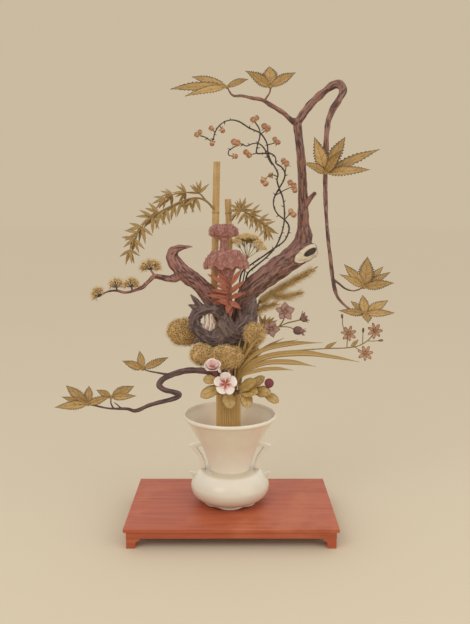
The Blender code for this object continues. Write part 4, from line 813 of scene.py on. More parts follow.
def needleFinish(name, tip, body, root):
    # grain Y runs from the root of a needle to its tip
    work = Finish(name)
    along = work.part(work.mark("grain"), "Y")
    tone = work.mark("tone", "Fac")
    patch = work.cloud(work.place(), 60.0, 3.0)
    colour = work.blend(work.ease(along, 0.04, 0.42), root, body)
    colour = work.blend(work.ease(along + (tone - 0.5) * 0.5, 0.55, 1.1), colour, tip)
    colour = work.blend(work.ease(patch, 0.45, 0.75) * 0.45, colour, root)
    return work.feed({"Base Color": colour, "Roughness": 0.62 + patch * 0.2})


def crestFinish():
    look = {"body": tint(218, 150, 126), "pale": tint(226, 166, 142), "deep": tint(164, 92, 80)}
    work = Finish("roseCrest", {"Sheen Weight": 0.35, "Sheen Roughness": 0.5})
    place = work.place()
    curl = work.cloud(place, 420.0, 4.0, 0.65, 1.6)
    patch = work.cloud(place, 45.0, 3.0)
    fine = work.cloud(place, 1500.0, 2.0)
    worm = work.ease((curl - 0.5).size(), 0.0, 0.055)
    fold = work.ease(work.part(work.mark("grain"), "Z"), 0.0, 1.0)
    colour = work.blend(work.ease(patch, 0.35, 0.70), look["body"], look["pale"])
    # painted shade: the fine wrinkle grooves and the low valleys between the crest's ridges are darkened
    # towards the deep colour
    colour = work.blend((1.0 - worm) * 0.30, colour, look["deep"])
    colour = work.blend((1.0 - fold) * 0.85, colour, look["deep"])
    bump = work.bump(worm * 0.8 + fine * 0.35, 0.75, 0.0016)
    return work.feed({"Base Color": colour, "Roughness": 0.78 + patch * 0.2, "Normal": bump})


def culmFinish():
    look = {"body": tint(190, 150, 88), "pale": tint(206, 170, 110), "dark": tint(128, 96, 54)}
    work = Finish("bambooSkin", {"Coat Weight": 0.15, "Coat Roughness": 0.35})
    grain = work.mark("grain")
    lines = work.cloud(work.stretch(grain, (700.0, 700.0, 6.0)), 1.0, 3.0)
    patch = work.cloud(work.place(), 30.0, 3.0)
    side = work.part(grain, "X")
    colour = work.blend(work.ease(patch, 0.40, 0.70), look["body"], look["pale"])
    colour = work.blend(work.ease(lines, 0.52, 0.72) * 0.55, colour, look["dark"])
    # painted shade: one side of each culm is darkened
    colour = work.blend(work.ease(side, 0.003, 0.009) * 0.35, colour, look["dark"])
    # the bare mark darkens the node ring, a real dark joint, and is painted shade deep inside the open bore
    ring = work.mark("bare", "Fac")
    colour = work.blend(ring * 0.8, colour, look["dark"])
    bump = work.bump(lines, 0.3, 0.0005)
    return work.feed({"Base Color": colour, "Roughness": 0.38 + lines * 0.2, "Normal": bump})


def petalFinish(name, rim, body, heart, star=0.0, starPlace=0.5, lines=7.0, sides=0.0):
    # grain Y runs from the heart of the flower to the rim
    work = Finish(name, {"Sheen Weight": 0.1})
    grain = work.mark("grain")
    across = work.part(grain, "X")
    along = work.part(grain, "Y")
    tone = work.mark("tone", "Fac")
    patch = work.cloud(work.stretch(grain, (7.0, 2.2, 9.0)), 1.0, 4.0)
    colour = work.blend(work.ease(along + (patch - 0.5) * 0.30, starPlace - 0.22, starPlace + 0.20), heart,
                        body)
    colour = work.blend(work.ease(along + (patch - 0.5) * 0.25 + (tone - 0.5) * 0.1, 0.72, 1.0), colour, rim)
    ray = work.ease(across.size(), 0.16, 0.05) * work.ease(along, starPlace + 0.16, starPlace - 0.06)
    if star > 0.0:
        colour = work.blend(ray * star, colour, tint(240, 226, 210))
    if sides > 0.0:
        colour = work.blend(work.ease(across.size() + (patch - 0.5) * 0.3, 0.55, 0.92) * sides, colour, rim)
    vein = work.ease((across * lines * 3.1416).sine().size(), 0.94, 1.0) * work.ease(along, 1.0, 0.5)
    colour = work.blend(vein * 0.30, colour, heart)
    bump = work.bump(patch * 0.5 - vein * 0.5, 0.3, 0.0005)
    return work.feed({"Base Color": colour, "Roughness": 0.52 + patch * 0.2, "Normal": bump})


def strawFinish():
    work = Finish("cutStraw")
    grain = work.mark("grain")
    tone = work.mark("tone", "Fac")
    lines = work.cloud(work.stretch(grain, (1400.0, 1400.0, 12.0)), 1.0, 3.0)
    colour = work.blend(work.ease(tone, 0.15, 0.85), tint(186, 142, 74), tint(216, 178, 112))
    colour = work.blend(work.ease(lines, 0.50, 0.72) * 0.6, colour, tint(128, 92, 48))
    colour = work.blend(work.ease(tone, 0.86, 0.95) * 0.6, colour, tint(120, 86, 48))
    return work.feed({"Base Color": colour, "Roughness": 0.55 + lines * 0.25,
                      "Normal": work.bump(lines, 0.4, 0.0005)})


def cordFinish():
    work = Finish("twistedCord")
    grain = work.mark("grain")
    flow = work.cloud(work.stretch(grain, (1600.0, 1600.0, 200.0)), 1.0, 3.0)
    colour = work.blend(work.ease(flow, 0.4, 0.65), tint(122, 92, 56), tint(164, 130, 82))
    return work.feed({"Base Color": colour, "Roughness": 0.7 + flow * 0.2,
                      "Normal": work.bump(flow, 0.6, 0.0007)})


def berryFinish():
    look = {"skin": tint(192, 148, 104), "blush": tint(176, 118, 84), "husk": tint(186, 148, 92),
            "line": tint(104, 58, 42)}
    work = Finish("berrySkin", {"Coat Weight": 0.2, "Coat Roughness": 0.3})
    grain = work.mark("grain")
    tone = work.mark("tone", "Fac")
    ahead = work.part(grain, "Z")
    husk = work.ease(work.part(grain, "X"), 1.5, 1.6)
    colour = work.blend(work.ease(ahead + (tone - 0.5), -0.4, 0.8), look["skin"], look["blush"])
    ring = work.ease((ahead - 0.55).size(), 0.16, 0.06)
    colour = work.blend(ring * 0.7, colour, look["line"])
    colour = work.blend(husk, colour, work.blend(tone, look["husk"], look["skin"]))
    patch = work.cloud(work.place(), 380.0, 2.0)
    colour = work.blend(work.ease(patch, 0.55, 0.75) * 0.35, colour, look["blush"])
    return work.feed({"Base Color": colour, "Roughness": 0.36 + patch * 0.2,
                      "Normal": work.bump(patch, 0.2, 0.0004)})


def plainFinish(name, body, dark, scale, roughness=0.8):
    work = Finish(name)
    place = work.place()
    patch = work.cloud(place, scale, 4.0, 0.6)
    fine = work.cloud(place, scale * 5.0, 3.0)
    colour = work.blend(work.ease(patch, 0.35, 0.68), body, dark)
    colour = work.blend(work.ease(fine, 0.5, 0.75) * 0.4, colour, dark)
    return work.feed({"Base Color": colour, "Roughness": roughness + patch * 0.15,
                      "Normal": work.bump(fine, 0.5, 0.0010)})


creamGlaze = glazeFinish()
orangeLacquer = lacquerFinish()
plumBark = barkFinish("plumBark", tint(148, 108, 92), tint(168, 128, 110), tint(80, 56, 50),
                      tint(154, 104, 88), tint(216, 200, 172))
lowBark = barkFinish("lowBark", tint(106, 80, 74), tint(132, 104, 92), tint(62, 46, 44), tint(114, 80, 70))
pineBark = barkFinish("pineBark", tint(160, 114, 100), tint(178, 134, 116), tint(76, 52, 48),
                      tint(162, 108, 94))
weatheredWood = barkFinish("weatheredWood", tint(122, 100, 90), tint(148, 126, 112), tint(70, 55, 52),
                           tint(112, 88, 80), tint(206, 186, 162))
paleWood = stemFinish("paleWood", tint(222, 200, 178), tint(176, 132, 118))
serratedLeaf = leafFinish("serratedLeaf", tint(172, 134, 74), tint(194, 156, 92), tint(110, 82, 46),
                          tint(92, 76, 52), 3.5, feather=0.55)
bambooLeaf = leafFinish("bambooLeaf", tint(158, 124, 66), tint(180, 144, 82), tint(104, 80, 44),
                        tint(100, 80, 46), 0.0, 0.5, 0.0, 0.45, 0.14)
glossyLeaf = leafFinish("glossyLeaf", tint(184, 148, 80), tint(200, 164, 94), tint(104, 78, 40),
                        tint(142, 112, 58), 3.0, 0.30, 0.25, 0.45)
flameLeaf = leafFinish("flameLeaf", tint(160, 90, 64), tint(176, 106, 76), tint(104, 48, 36),
                       tint(138, 68, 50), 3.0, 0.5, 0.0, 0.5, 0.07)
bladeLeaf = leafFinish("bladeLeaf", tint(174, 138, 76), tint(190, 154, 90), tint(116, 92, 54),
                       tint(116, 92, 54), 0.0, 0.5, 0.05, 0.5, 0.10)
greenStem = stemFinish("greenStem", tint(160, 128, 72), tint(96, 76, 46))
darkVine = stemFinish("darkVine", tint(86, 68, 52), tint(48, 40, 36))
pineNeedle = needleFinish("pineNeedle", tint(244, 212, 150), tint(232, 196, 132), tint(198, 160, 104))
youngNeedle = needleFinish("youngNeedle", tint(246, 214, 152), tint(230, 194, 128), tint(196, 158, 98))
moundEarth = plainFinish("moundEarth", tint(216, 180, 120), tint(160, 126, 80), 120.0)
roseCrest = crestFinish()
bambooSkin = culmFinish()
cutStraw = strawFinish()
twistedCord = cordFinish()
berrySkin = berryFinish()
yellowFloret = plainFinish("yellowFloret", tint(248, 222, 164), tint(236, 204, 140), 300.0, 0.65)
mauvePetal = petalFinish("mauvePetal", tint(112, 76, 68), tint(164, 124, 108), tint(112, 76, 68), 0.0, 0.25,
                         sides=0.6)
russetPetal = petalFinish("russetPetal", tint(104, 66, 50), tint(184, 140, 104), tint(128, 78, 54), 0.0,
                          0.28, sides=0.9)
camelliaPetal = petalFinish("camelliaPetal", tint(242, 234, 222), tint(238, 222, 208), tint(184, 78, 76),
                            1.0, 0.43)
blushPetal = petalFinish("blushPetal", tint(240, 226, 214), tint(228, 190, 176), tint(182, 92, 90), 0.0, 0.45)
budRed = petalFinish("budRed", tint(172, 92, 92), tint(158, 76, 78), tint(120, 50, 54), 0.0, 0.4)
flowerHeart = plainFinish("flowerHeart", tint(214, 168, 84), tint(150, 100, 48), 700.0, 0.7)
print("finishes ready")


# stand: the imported board and apron stay and get the lacquer, and the legs are built anew in place of the
# imported ones
for name in ("stand_board", "stand_apron"):
    frame["nodes"][name].data.materials.clear()
    frame["nodes"][name].data.materials.append(orangeLacquer)

standWork = {"inset": 0.006, "width": 0.033, "edge": 0.0010, "front": -0.170, "back": 0.137,
             "left": -0.246, "right": 0.254}


def smoothed(outline, sharp, parts):
    # closed outline with its listed corners kept sharp
    count = len(outline)
    made = []
    for index in range(count):
        first = Vector(outline[index])
        second = Vector(outline[(index + 1) % count])
        before = first if index in sharp else Vector(outline[index - 1])
        after = second if (index + 1) % count in sharp else Vector(outline[(index + 2) % count])
        span = (second - first).length
        leanIn = (second - before) * span / max((second - first).length + (first - before).length, 0.000001)
        leanOut = (after - first) * span / max((after - second).length + span, 0.000001)
        for part in range(parts):
            share = part / parts
            square = share * share
            cube = square * share
            here = first * (2 * cube - 3 * square + 1) + second * (3 * square - 2 * cube)
            made.append(here + leanIn * (cube - 2 * square + share) + leanOut * (cube - square))
    return made


def plate(name, outline, depth, middle, edge, finish):
    # outline in the XZ plane with a thickness along Y and softened edges
    curve = bpy.data.curves.new(name, "CURVE")
    curve.dimensions = "2D"
    curve.fill_mode = "BOTH"
    curve.extrude = depth / 2.0 - edge
    curve.bevel_depth = edge
    curve.bevel_resolution = 2
    curve.offset = -edge
    spline = curve.splines.new("POLY")
    spline.points.add(len(outline) - 1)
    for point, here in zip(spline.points, outline):
        point.co = (here[0], here[1], 0.0, 1.0)
    spline.use_cyclic_u = True
    made = linked(name, curve)
    made.rotation_euler = (math.pi / 2.0, 0.0, 0.0)
    made.location = (0.0, middle, 0.0)
    made = turnedOut(plain(made), 0.00002)
    made.data.materials.append(finish)
    return made


def buildLegs():
    shape = mm(2, 0, 0,  18, 0,  22, 3,  22.5, 7,  21.5, 11,  23, 15,  27, 18,  31, 19.5,  33, 24.4,
        0, 24.4)
    half = standWork["width"] / 2.0
    inset = standWork["inset"]
    for side, outer, way in (("left", standWork["left"] + inset, 1.0),
                             ("right", standWork["right"] - inset, -1.0)):
        for place, middle in (("front", standWork["front"] + inset + half),
                              ("back", standWork["back"] - inset - half)):
            corners = [(outer + way * across, height) for across, height in shape]
            outline = smoothed(corners, (0, 1, 7, 8, 9), 4)
            leg = plate("leg", outline, standWork["width"], middle, standWork["edge"], orangeLacquer)
            settle(leg, "bracketLeg_" + place + "_" + side, "orange_lacquer",
                   "stand_leg_" + place + "_" + side)


buildLegs()
print("stand ready")


# vase
vaseWork = {"around": 128, "handleDepth": 0.014, "lobes": 6, "lobeDepth": 0.0036, "part": 0.0022}


def softened(points, part):
    places = walked([(radius, 0.0, height, 0.0) for radius, height in points], part)[0]
    return [(place.x, place.z) for place in places]


def buildVase():
    inside = mm(2, 0, 64.5,  60, 65.5,  78.5, 70.5,  88.5, 76.5,  93.5, 86,  92.8, 96.5,  87, 106.5,
        77.5, 115.5,  66, 122.5,  53, 125.5,  47.4, 133,  48.8, 144,  52.8, 158,  59.8, 179,  69.2, 201,
        80, 221,  93, 244,  103, 258,  108.5, 267,  110.5, 273.5,  112.2, 276.3,  114.5, 276.6,
        116.1, 274.5,  116, 270,  114.2, 266.8)
    neck = mm(2, 114.2, 266.8,  111.2, 263.6,  104.5, 254,  97.5, 243,  84.5, 220,  73.5, 200,  64, 178,
        57, 157,  53, 143,  51.5, 134)
    belly = mm(2, 51.5, 134,  56.5, 131.5,  70, 129,  82, 121,  91.5, 110.5,  97.5, 98,  98.5, 89.5,
        96.5, 80,  90.5, 70,  80, 62.5,  67.5, 59.3)
    foot = mm(2, 67.5, 59.3,  67.2, 57.5,  69, 52,  68, 50.3,  59, 50.3,  57.5, 51.5,  56, 55,  30, 57,
        0, 57.5)
    part = vaseWork["part"]
    profile = softened(inside, part)[:-1]
    rim = len(profile)
    profile += softened(neck, part)[:-1] + softened(belly, part)[:-1] + foot
    around = vaseWork["around"]
    heap = Heap()
    points = [Vector((0.0, 0.0, profile[0][1]))]
    grain = [(0.0, 1.0, 0.0)]
    for row, (radius, height) in enumerate(profile[1:-1]):
        for index in range(around):
            angle = fullTurn * index / around
            lift = 0.0
            if height < 0.0521 and radius > 0.05:
                lobe = 0.5 - 0.5 * math.cos(vaseWork["lobes"] * (angle + math.pi / 2.0))
                lift = vaseWork["lobeDepth"] * lobe ** 2
            points.append(Vector((radius * math.cos(angle), radius * math.sin(angle), height + lift)))
            # rows inside the mouth are marked for the painted shade of the interior
            grain.append((0.0, 1.0 if row + 1 < rim - 4 else 0.0, 0.0))
    points.append(Vector((0.0, 0.0, profile[-1][1])))
    grain.append((0.0, 0.0, 0.0))
    heap.add(points, turnedFaces(len(profile) - 2, around), grain)
    pieces = [heap.piece("wall", [creamGlaze])]
    for way in (-1.0, 1.0):
        outer = mm(2, 70, 200.3,  86, 199,  103.5, 193.5,  89.8, 178,  79.7, 165,  74.2, 145.7,  73, 126,
            64, 124)
        inner = mm(2, 62, 138,  65.5, 157,  73.2, 172.5,  85, 190,  67.5, 191.2)
        corners = [(way * across, height) for across, height in outer + inner]
        outline = smoothed(corners, (0, 2, 6, 7, 11, 12), 4)
        pieces.append(plate("strap", outline, vaseWork["handleDepth"], 0.0, 0.0016, creamGlaze))
        horn = mm(2, 80, 119,  102, 123.5,  92.5, 108.5,  85, 105)
        outline = smoothed([(way * across, height) for across, height in horn], (1,), 4)
        pieces.append(plate("spur", outline, vaseWork["handleDepth"] * 0.6, 0.0, 0.0010, creamGlaze))
    for piece in pieces[1:]:
        putMark(piece.data, "grain", [(0.0, 0.0, 0.0)] * len(piece.data.vertices))
    vase = joined("vase", pieces)
    vase.data.polygons.foreach_set("use_smooth", [True] * len(vase.data.polygons))
    vase.data.set_sharp_from_angle(angle=math.radians(48))
    settle(vase, "glazedVase", "white_glaze", "vase_body")


buildVase()
print("vase ready")


# straw bundle and its tie
bundleWork = {"middle": (-0.004, 0.0), "radius": 0.0308, "straw": 0.00215, "low": 0.0660, "high": 0.3297,
              "count": 128, "seed": 4}


def buildBundle():
    chance = random.Random(bundleWork["seed"])
    single = Heap()
    points = []
    faces = []
    sides = 8
    for radius, height in ((1.0, 0.0), (1.0, 1.0), (0.62, 1.0), (0.62, 0.985)):
        for index in range(sides):
            angle = fullTurn * index / sides
            points.append((radius * math.cos(angle), radius * math.sin(angle), height))
    for ring in range(3):
        for index in range(sides):
            after = (index + 1) % sides
            faces.append((ring * 8 + index, ring * 8 + after, ring * 8 + 8 + after, ring * 8 + 8 + index))
    faces.append(tuple(reversed(range(sides))))
    faces.append(tuple(24 + index for index in range(sides)))
    grain = [(point[0] * 0.002, point[1] * 0.002, point[2] * 0.26) for point in points]
    single.add(points, faces, grain)
    straw = shapeOf(single, "singleStraw")
    spots = []
    for index in range(bundleWork["count"]):
        share = math.sqrt((index + 0.6) / bundleWork["count"])
        reach = (bundleWork["radius"] - bundleWork["straw"]) * min(1.0, share)
        angle = index * goldenAngle
        if index > bundleWork["count"] - 42:
            reach = bundleWork["radius"] - bundleWork["straw"] * 1.02
            angle = (index - bundleWork["count"] + 42) * fullTurn / 42.0
        place = (bundleWork["middle"][0] + reach * math.cos(angle), reach * math.sin(angle),
                 bundleWork["low"])
        high = bundleWork["high"] - chance.uniform(0.0, 0.0035)
        thick = bundleWork["straw"] * chance.uniform(0.90, 1.0)
        spots.append((place, (0, 0, 1), (0, 1, 0), (thick, thick, high - bundleWork["low"])))
    bundle = worked(marked("bundle", spots), sprinkle,
                    {"Shape": straw, "Unevenness": 0.0, "Seed": bundleWork["seed"], "Finish": cutStraw})
    settle(bundle, "strawBundle", "cut_straw", "straw_bundle")
    heap = Heap()
    for turn in range(3):
        route = []
        for index in range(61):
            angle = fullTurn * index / 60.0
            reach = bundleWork["radius"] + 0.0024
            route.append((bundleWork["middle"][0] + reach * math.cos(angle), reach * math.sin(angle),
                          0.2342 + turn * 0.0019 + 0.0002 * math.sin(angle * 2 + turn), 0.0010))
        rope(heap, route, 0.0010, 0.00045, 3)
    tie = heap.piece("tie", [twistedCord])
    settle(tie, "bundleTie", "tie_cord", "bundle_tie")


def rope(heap, route, radius, strand, count):
    # closed ring of twisted strands
    places = walked(route, 0.0012)[0][:-1]
    total = len(places)
    for number in range(count):
        points = []
        grain = []
        for index, here in enumerate(places):
            out = Vector((here.x - bundleWork["middle"][0], here.y, 0.0)).normalized()
            twist = fullTurn * (index * 36.0 / total + number / count)
            centre = here + (out * math.cos(twist) + Vector((0, 0, 1)) * math.sin(twist)) * strand
            for side in range(6):
                angle = fullTurn * side / 6
                spot = centre + (out * math.cos(angle) + Vector((0, 0,
                                                                 1)) * math.sin(angle)) * (radius - strand)
                points.append(spot)
                grain.append((math.cos(angle) * radius, math.sin(angle) * radius, index * 0.0012))
        faces = []
        for index in range(total):
            low = index * 6
            high = (index + 1) % total * 6
            for side in range(6):
                after = (side + 1) % 6
                faces.append((low + side, low + after, high + after, high + side))
        heap.add(points, [tuple(reversed(face)) for face in faces], grain)


buildBundle()
print("bundle ready")


def rooted(route):
    # the first few millimetres stand straight on the bundle
    x, y, z, radius = route[0]
    return [(x, y, z, radius), (x, y, z + 0.003, radius)] + route[1:]


# old main branch: trunk, hollow knot, arch to the right, thin limb to the left
branchWork = {"voxel": 0.0015,
              "bark": {"depth": 0.0017, "across": 130.0, "along": 30.0, "lumps": 60.0, "full": 0.012}}


def buildMainBranch():
    trunk = mm(4, 9, 11, stemFoot, 7.5,  7, 19, 420, 8.5,  7, 26, 472, 10,  16, 26, 518, 13.5,
        28, 24, 550, 17,  50, 22, 583, 23.5,  79, 20, 608, 25.8,  118, 20, 637, 26.5,  152, 20, 662, 27,
        172, 20, 686, 25.5,  180, 20, 712, 19.5,  179, 20, 749, 13.4,  177, 18, 802, 10.9,
        172, 12, 884, 9.6,  165, 8, 940, 9,  158, 4, 988, 9.2)
    knot = mm(4, 160, 18, 664, 24,  186, 10, 677, 22.5,  204, 6, 682, 16.5)
    stub = mm(4, 178, 18, 778, 7.8,  191, 10, 802, 6,  205, 2, 819, 4.5)
    left = mm(4, 159, 4, 978, 7.1,  142, 0, 990, 5.9,  123, -6, 1005, 5.4,  96, -14, 1019, 5.1,
        75, -20, 1030, 4.4,  52, -26, 1033, 3.7,  29, -32, 1037, 3.2,  7, -38, 1037, 2.7,  -6, -42, 1055, 2)
    twig = mm(4, 81, -19, 1029, 2.8,  93, -12, 1048, 2.1,  95, -8, 1061, 1.9)
    right = mm(4, 158, 4, 980, 8.9,  188, 12, 1021, 8.3,  218, 16, 1050, 8.3,  244, 16, 1069, 8.9,
        258, 10, 1070, 9.8,  265, -2, 1053, 8.8,  256, -12, 1034, 7.7,  238, -20, 1005, 7.2,
        228, -26, 977, 6.5,  224, -32, 934, 6.3,  223, -36, 881, 5.6,  223, -38, 824, 5.1,
        227, -42, 752, 4.4,  232, -46, 701, 4.2,  238, -50, 652, 4.5,  243, -54, 615, 4.5,
        253, -60, 576, 3.8,  275, -66, 552, 3.1,  294, -70, 541, 2.8,  317, -72, 537, 2.1)
    lower = mm(4, 243, -54, 617, 3.4,  261, -48, 603, 2.6,  276, -42, 592, 2.4,  298, -34, 587, 2.1,
        321, -30, 595, 1.9)
    heap = Heap()
    limb(heap, rooted(trunk), 22, 0.004, (0.0, 0.6), knots=0.10)
    limb(heap, knot, 18, 0.003, (0.3, 0.5), knots=0.08, start=0.3)
    limb(heap, stub, 10, 0.003, (0.3, 0.2), knots=0.10, start=0.9)
    limb(heap, left, 12, 0.003, (0.3, 0.8), knots=0.16, start=1.2)
    limb(heap, twig, 8, 0.003, (0.3, 0.8), knots=0.10, start=1.6)
    limb(heap, right, 14, 0.003, (0.3, 0.8), knots=0.16, start=2.0)
    limb(heap, lower, 10, 0.003, (0.3, 0.8), knots=0.12, start=3.0)
    branch = fused(heap, "branch", [plumBark], branchWork["voxel"], 3, branchWork["bark"])
    carve(branch, Vector((0.1945, -0.016, 0.6770)), 0.52, (0.0215, 0.0115))
    settle(branch, "oldBranch", "plum_brown_bark", "main_branch")


def carve(piece, heart, tilt, spread):
    # healed scar with a hollow that is painted dark as shade, open towards the front
    ahead = Vector((math.cos(tilt), 0.0, math.sin(tilt)))
    across = Vector((-math.sin(tilt), 0.0, math.cos(tilt)))
    bare = []
    hollow = []
    for vert in piece.data.vertices:
        away = vert.co - heart
        long = away.dot(ahead)
        wide = away.dot(across)
        front = 1.0 if away.y < 0.020 else 0.0
        tail = spread[0] * (1.9 if long < 0 else 1.15)
        ring = math.sqrt((long / tail) ** 2 + (wide / (spread[1] * 1.45)) ** 2)
        inner = math.sqrt((long / (spread[0] * 0.90)) ** 2 + (wide / (spread[1] * 0.74)) ** 2)
        openShare = max(0.0, min(1.0, (1.25 - ring) * 2.5)) * front
        deepShare = max(0.0, min(1.0, (1.05 - inner) * 2.5)) * front
        bare.append(openShare)
        hollow.append(deepShare)
        lipShare = math.exp(-((ring - 1.12) / 0.14) ** 2) * front
        vert.co.y += 0.0030 * min(1.0, openShare) + 0.0115 * deepShare - 0.0014 * lipShare
    putMark(piece.data, "bare", bare)
    putMark(piece.data, "hollow", hollow)
    piece.data.update()


leafWork = {"wider": 1.12, "twist": 0.25, "bend": 0.12, "fold": 0.24, "thick": 0.0011, "teeth": 0.16,
            "quilt": 0.0009, "wave": 0.14}


def rosette(name, at, leaves, seed, nodes):
    # pointed serrated leaves spreading from one bud
    chance = random.Random(seed)
    heap = Heap()
    ball(heap, at, (0.0042, 0.0042, 0.0046), 10, 6, 0.2, lumps=0.3)
    for dx, dy, dz, width in leaves:
        tone = chance.random()
        facing = (chance.uniform(-leafWork["twist"], leafWork["twist"]), -1.0,
                  0.35 + chance.uniform(-0.1, 0.2))
        leaf(heap, at, (dx, dy, dz), width * leafWork["wider"], facing, "ovate", 28, 8, leafWork["bend"],
             leafWork["fold"], leafWork["thick"], leafWork["teeth"], leafWork["quilt"], leafWork["wave"],
             tone)
        start = Vector(at)
        short = start + Vector((dx, dy, dz)) * 0.10
        limb(heap, [(*start, 0.0016), (*short, 0.0010)], 8, 0.003, (0.5, 0.6), tone)
    settle(heap.piece(name, [serratedLeaf]), name, "ochre_leaf", *nodes)


def buildMainLeaves():
    rosette("leafSprayTopLeft", (-0.006, -0.042, 1.055), mm(4, -129, -18, 2, 23,  -85, 26, 35, 20,
        45, -28, 15, 17,  -90, -53, -21, 18), 11, ["leaves_top_left"])
    rosette("leafSprayTop", (0.095, -0.008, 1.061), mm(4, -1, 24, 57, 33,  -55, -37, 31, 24,
        57, -12, 34, 22), 12, ["leaves_top"])
    rosette("leafSprayMiddle", (0.222, -0.0472, 0.862), mm(4, -51, -29, 24, 20,  -28, -12, 81, 28,
        41, -8, 84, 30,  26, -42, 46, 21,  129, 10, 64, 21,  92, -44, 9, 22),
        13, ["leaves_middle"])
    rosette("leafSprayRightUpper", (0.321, -0.030, 0.595), mm(4, 13, 20, 75, 34,  -49, -20, 56, 22,
        -60, -52, 36, 16,  56, 36, 53, 17,  67, 10, 40, 16,  60, -40, 17, 22),
        14, ["leaves_right_upper"])
    rosette("leafSprayRightLower", (0.317, -0.072, 0.537), mm(4, -5, 12, 45, 21,  -63, -34, 13, 16,
        -28, 42, 30, 16,  59, 12, 33, 21,  67, -18, 6, 16,  1, -43, -11, 21),
        15, ["leaves_right_lower"])


lowWork = {"voxel": 0.0011,
           "bark": {"depth": 0.0007, "across": 190.0, "along": 34.0, "lumps": 90.0, "full": 0.006}}


def buildLowBranch():
    main = mm(4, -12, -21, stemFoot, 5.5,  -14, -30, 368, 6.8,  -38, -45, 387, 7.5,  -59, -52, 395, 7.4,
        -86, -56, 398, 7.2,  -113, -60, 396, 6.9,  -137, -66, 390, 6.7,  -158, -74, 381, 6.6,
        -167, -80, 368, 6.4,  -155, -86, 358, 6.1,  -133, -92, 354, 5.6,  -117, -96, 349, 5.4,
        -126, -100, 342, 5.2,  -153, -104, 335, 4.9,  -186, -108, 327, 4.7,  -220, -112, 314, 4.2,
        -238, -112, 319, 3.3,  -281, -112, 320, 2.3,  -313, -110, 326, 2,  -330, -108, 329, 1.9)
    upper = mm(4, -141, -67, 389, 3.4,  -167, -60, 392, 2.3,  -194, -52, 395, 2,  -210, -46, 399, 1.8)
    middle = mm(4, -270, -112, 320, 2.2,  -275, -116, 333, 1.7,  -274, -120, 349, 1.6)
    spur = mm(4, -252, -112, 320, 2,  -262, -116, 331, 1.5,  -268, -118, 336, 1)
    heap = Heap()
    limb(heap, rooted(main), 14, 0.003, (0.0, 0.8), knots=0.20)
    limb(heap, upper, 10, 0.003, (0.3, 0.8), knots=0.2, start=1.0)
    limb(heap, middle, 8, 0.003, (0.3, 0.8), knots=0.2, start=1.3)
    limb(heap, spur, 8, 0.003, (0.3, 0.8), knots=0.2, start=1.5)
    low = fused(heap, "low", [lowBark], lowWork["voxel"], 2, lowWork["bark"])
    settle(low, "lowBranch", "plum_brown_bark", "low_branch")
    rosette("leafSprayLowUpper", (-0.210, -0.046, 0.399), mm(4, -43, -24, 25, 18,  -11, 22, 43, 17,
        63, 26, 25, 17),
        16, ["leaves_low_upper"])
    rosette("leafSprayLowMiddle", (-0.274, -0.120, 0.349), mm(4, -28, -20, 23, 15,  53, 12, 25, 22,
        60, -45, 15, 15),
        17, ["leaves_low_middle"])
    rosette("leafSprayLowLeft", (-0.330, -0.108, 0.329), mm(4, -60, 23, 42, 22,  -4, 30, 40, 20,
        56, -52, 32, 17,  -56, -22, 24, 14,  -68, -37, 5, 19), 18, ["leaves_low_left"])


buildMainBranch()
buildMainLeaves()
buildLowBranch()
print("old branch and low branch ready")


# pine: old limb, clipped pads along its arm, young shoots and cushions of tufts
pineWork = {"needles": 9, "padSpacing": 0.0029, "padLength": 0.0112, "moundSpacing": 0.0046,
            "moundLength": 0.0108,
            "shootSpacing": 0.0017, "shootLength": 0.0235, "voxel": 0.0013,
            "bark": {"depth": 0.0022, "across": 150.0, "along": 42.0, "lumps": 80.0, "full": 0.010}}


def needleTuft(name, count, splay, thick, seed):
    # a few long thin needles from one point, one unit long
    chance = random.Random(seed)
    heap = Heap()
    for index in range(count):
        angle = index * goldenAngle + chance.uniform(-0.3, 0.3)
        lean = splay * math.sqrt((index + 0.5) / count)
        along = Vector((math.sin(lean) * math.cos(angle), math.sin(lean) * math.sin(angle), math.cos(lean)))
        turn = aimed(along, along.orthogonal())
        length = chance.uniform(0.82, 1.0)
        points = []
        for side in range(3):
            swing = fullTurn * side / 3.0
            points.append((thick * math.cos(swing), thick * math.sin(swing), -0.05))
        points.append((0.0, 0.0, length))
        faces = [(0, 1, 3), (1, 2, 3), (2, 0, 3), (2, 1, 0)]
        heap.add(points, faces, [(0.0, 0.0, 0.0)] * 3 + [(0.0, 1.0, 0.0)], turn=turn)
    return shapeOf(heap, name)


padTuft = needleTuft("padTuft", pineWork["needles"], 0.85, 0.040, 21)
moundTuft = needleTuft("moundTuft", pineWork["needles"], 1.15, 0.052, 22)
shootTuft = needleTuft("shootTuft", 4, 0.30, 0.026, 23)


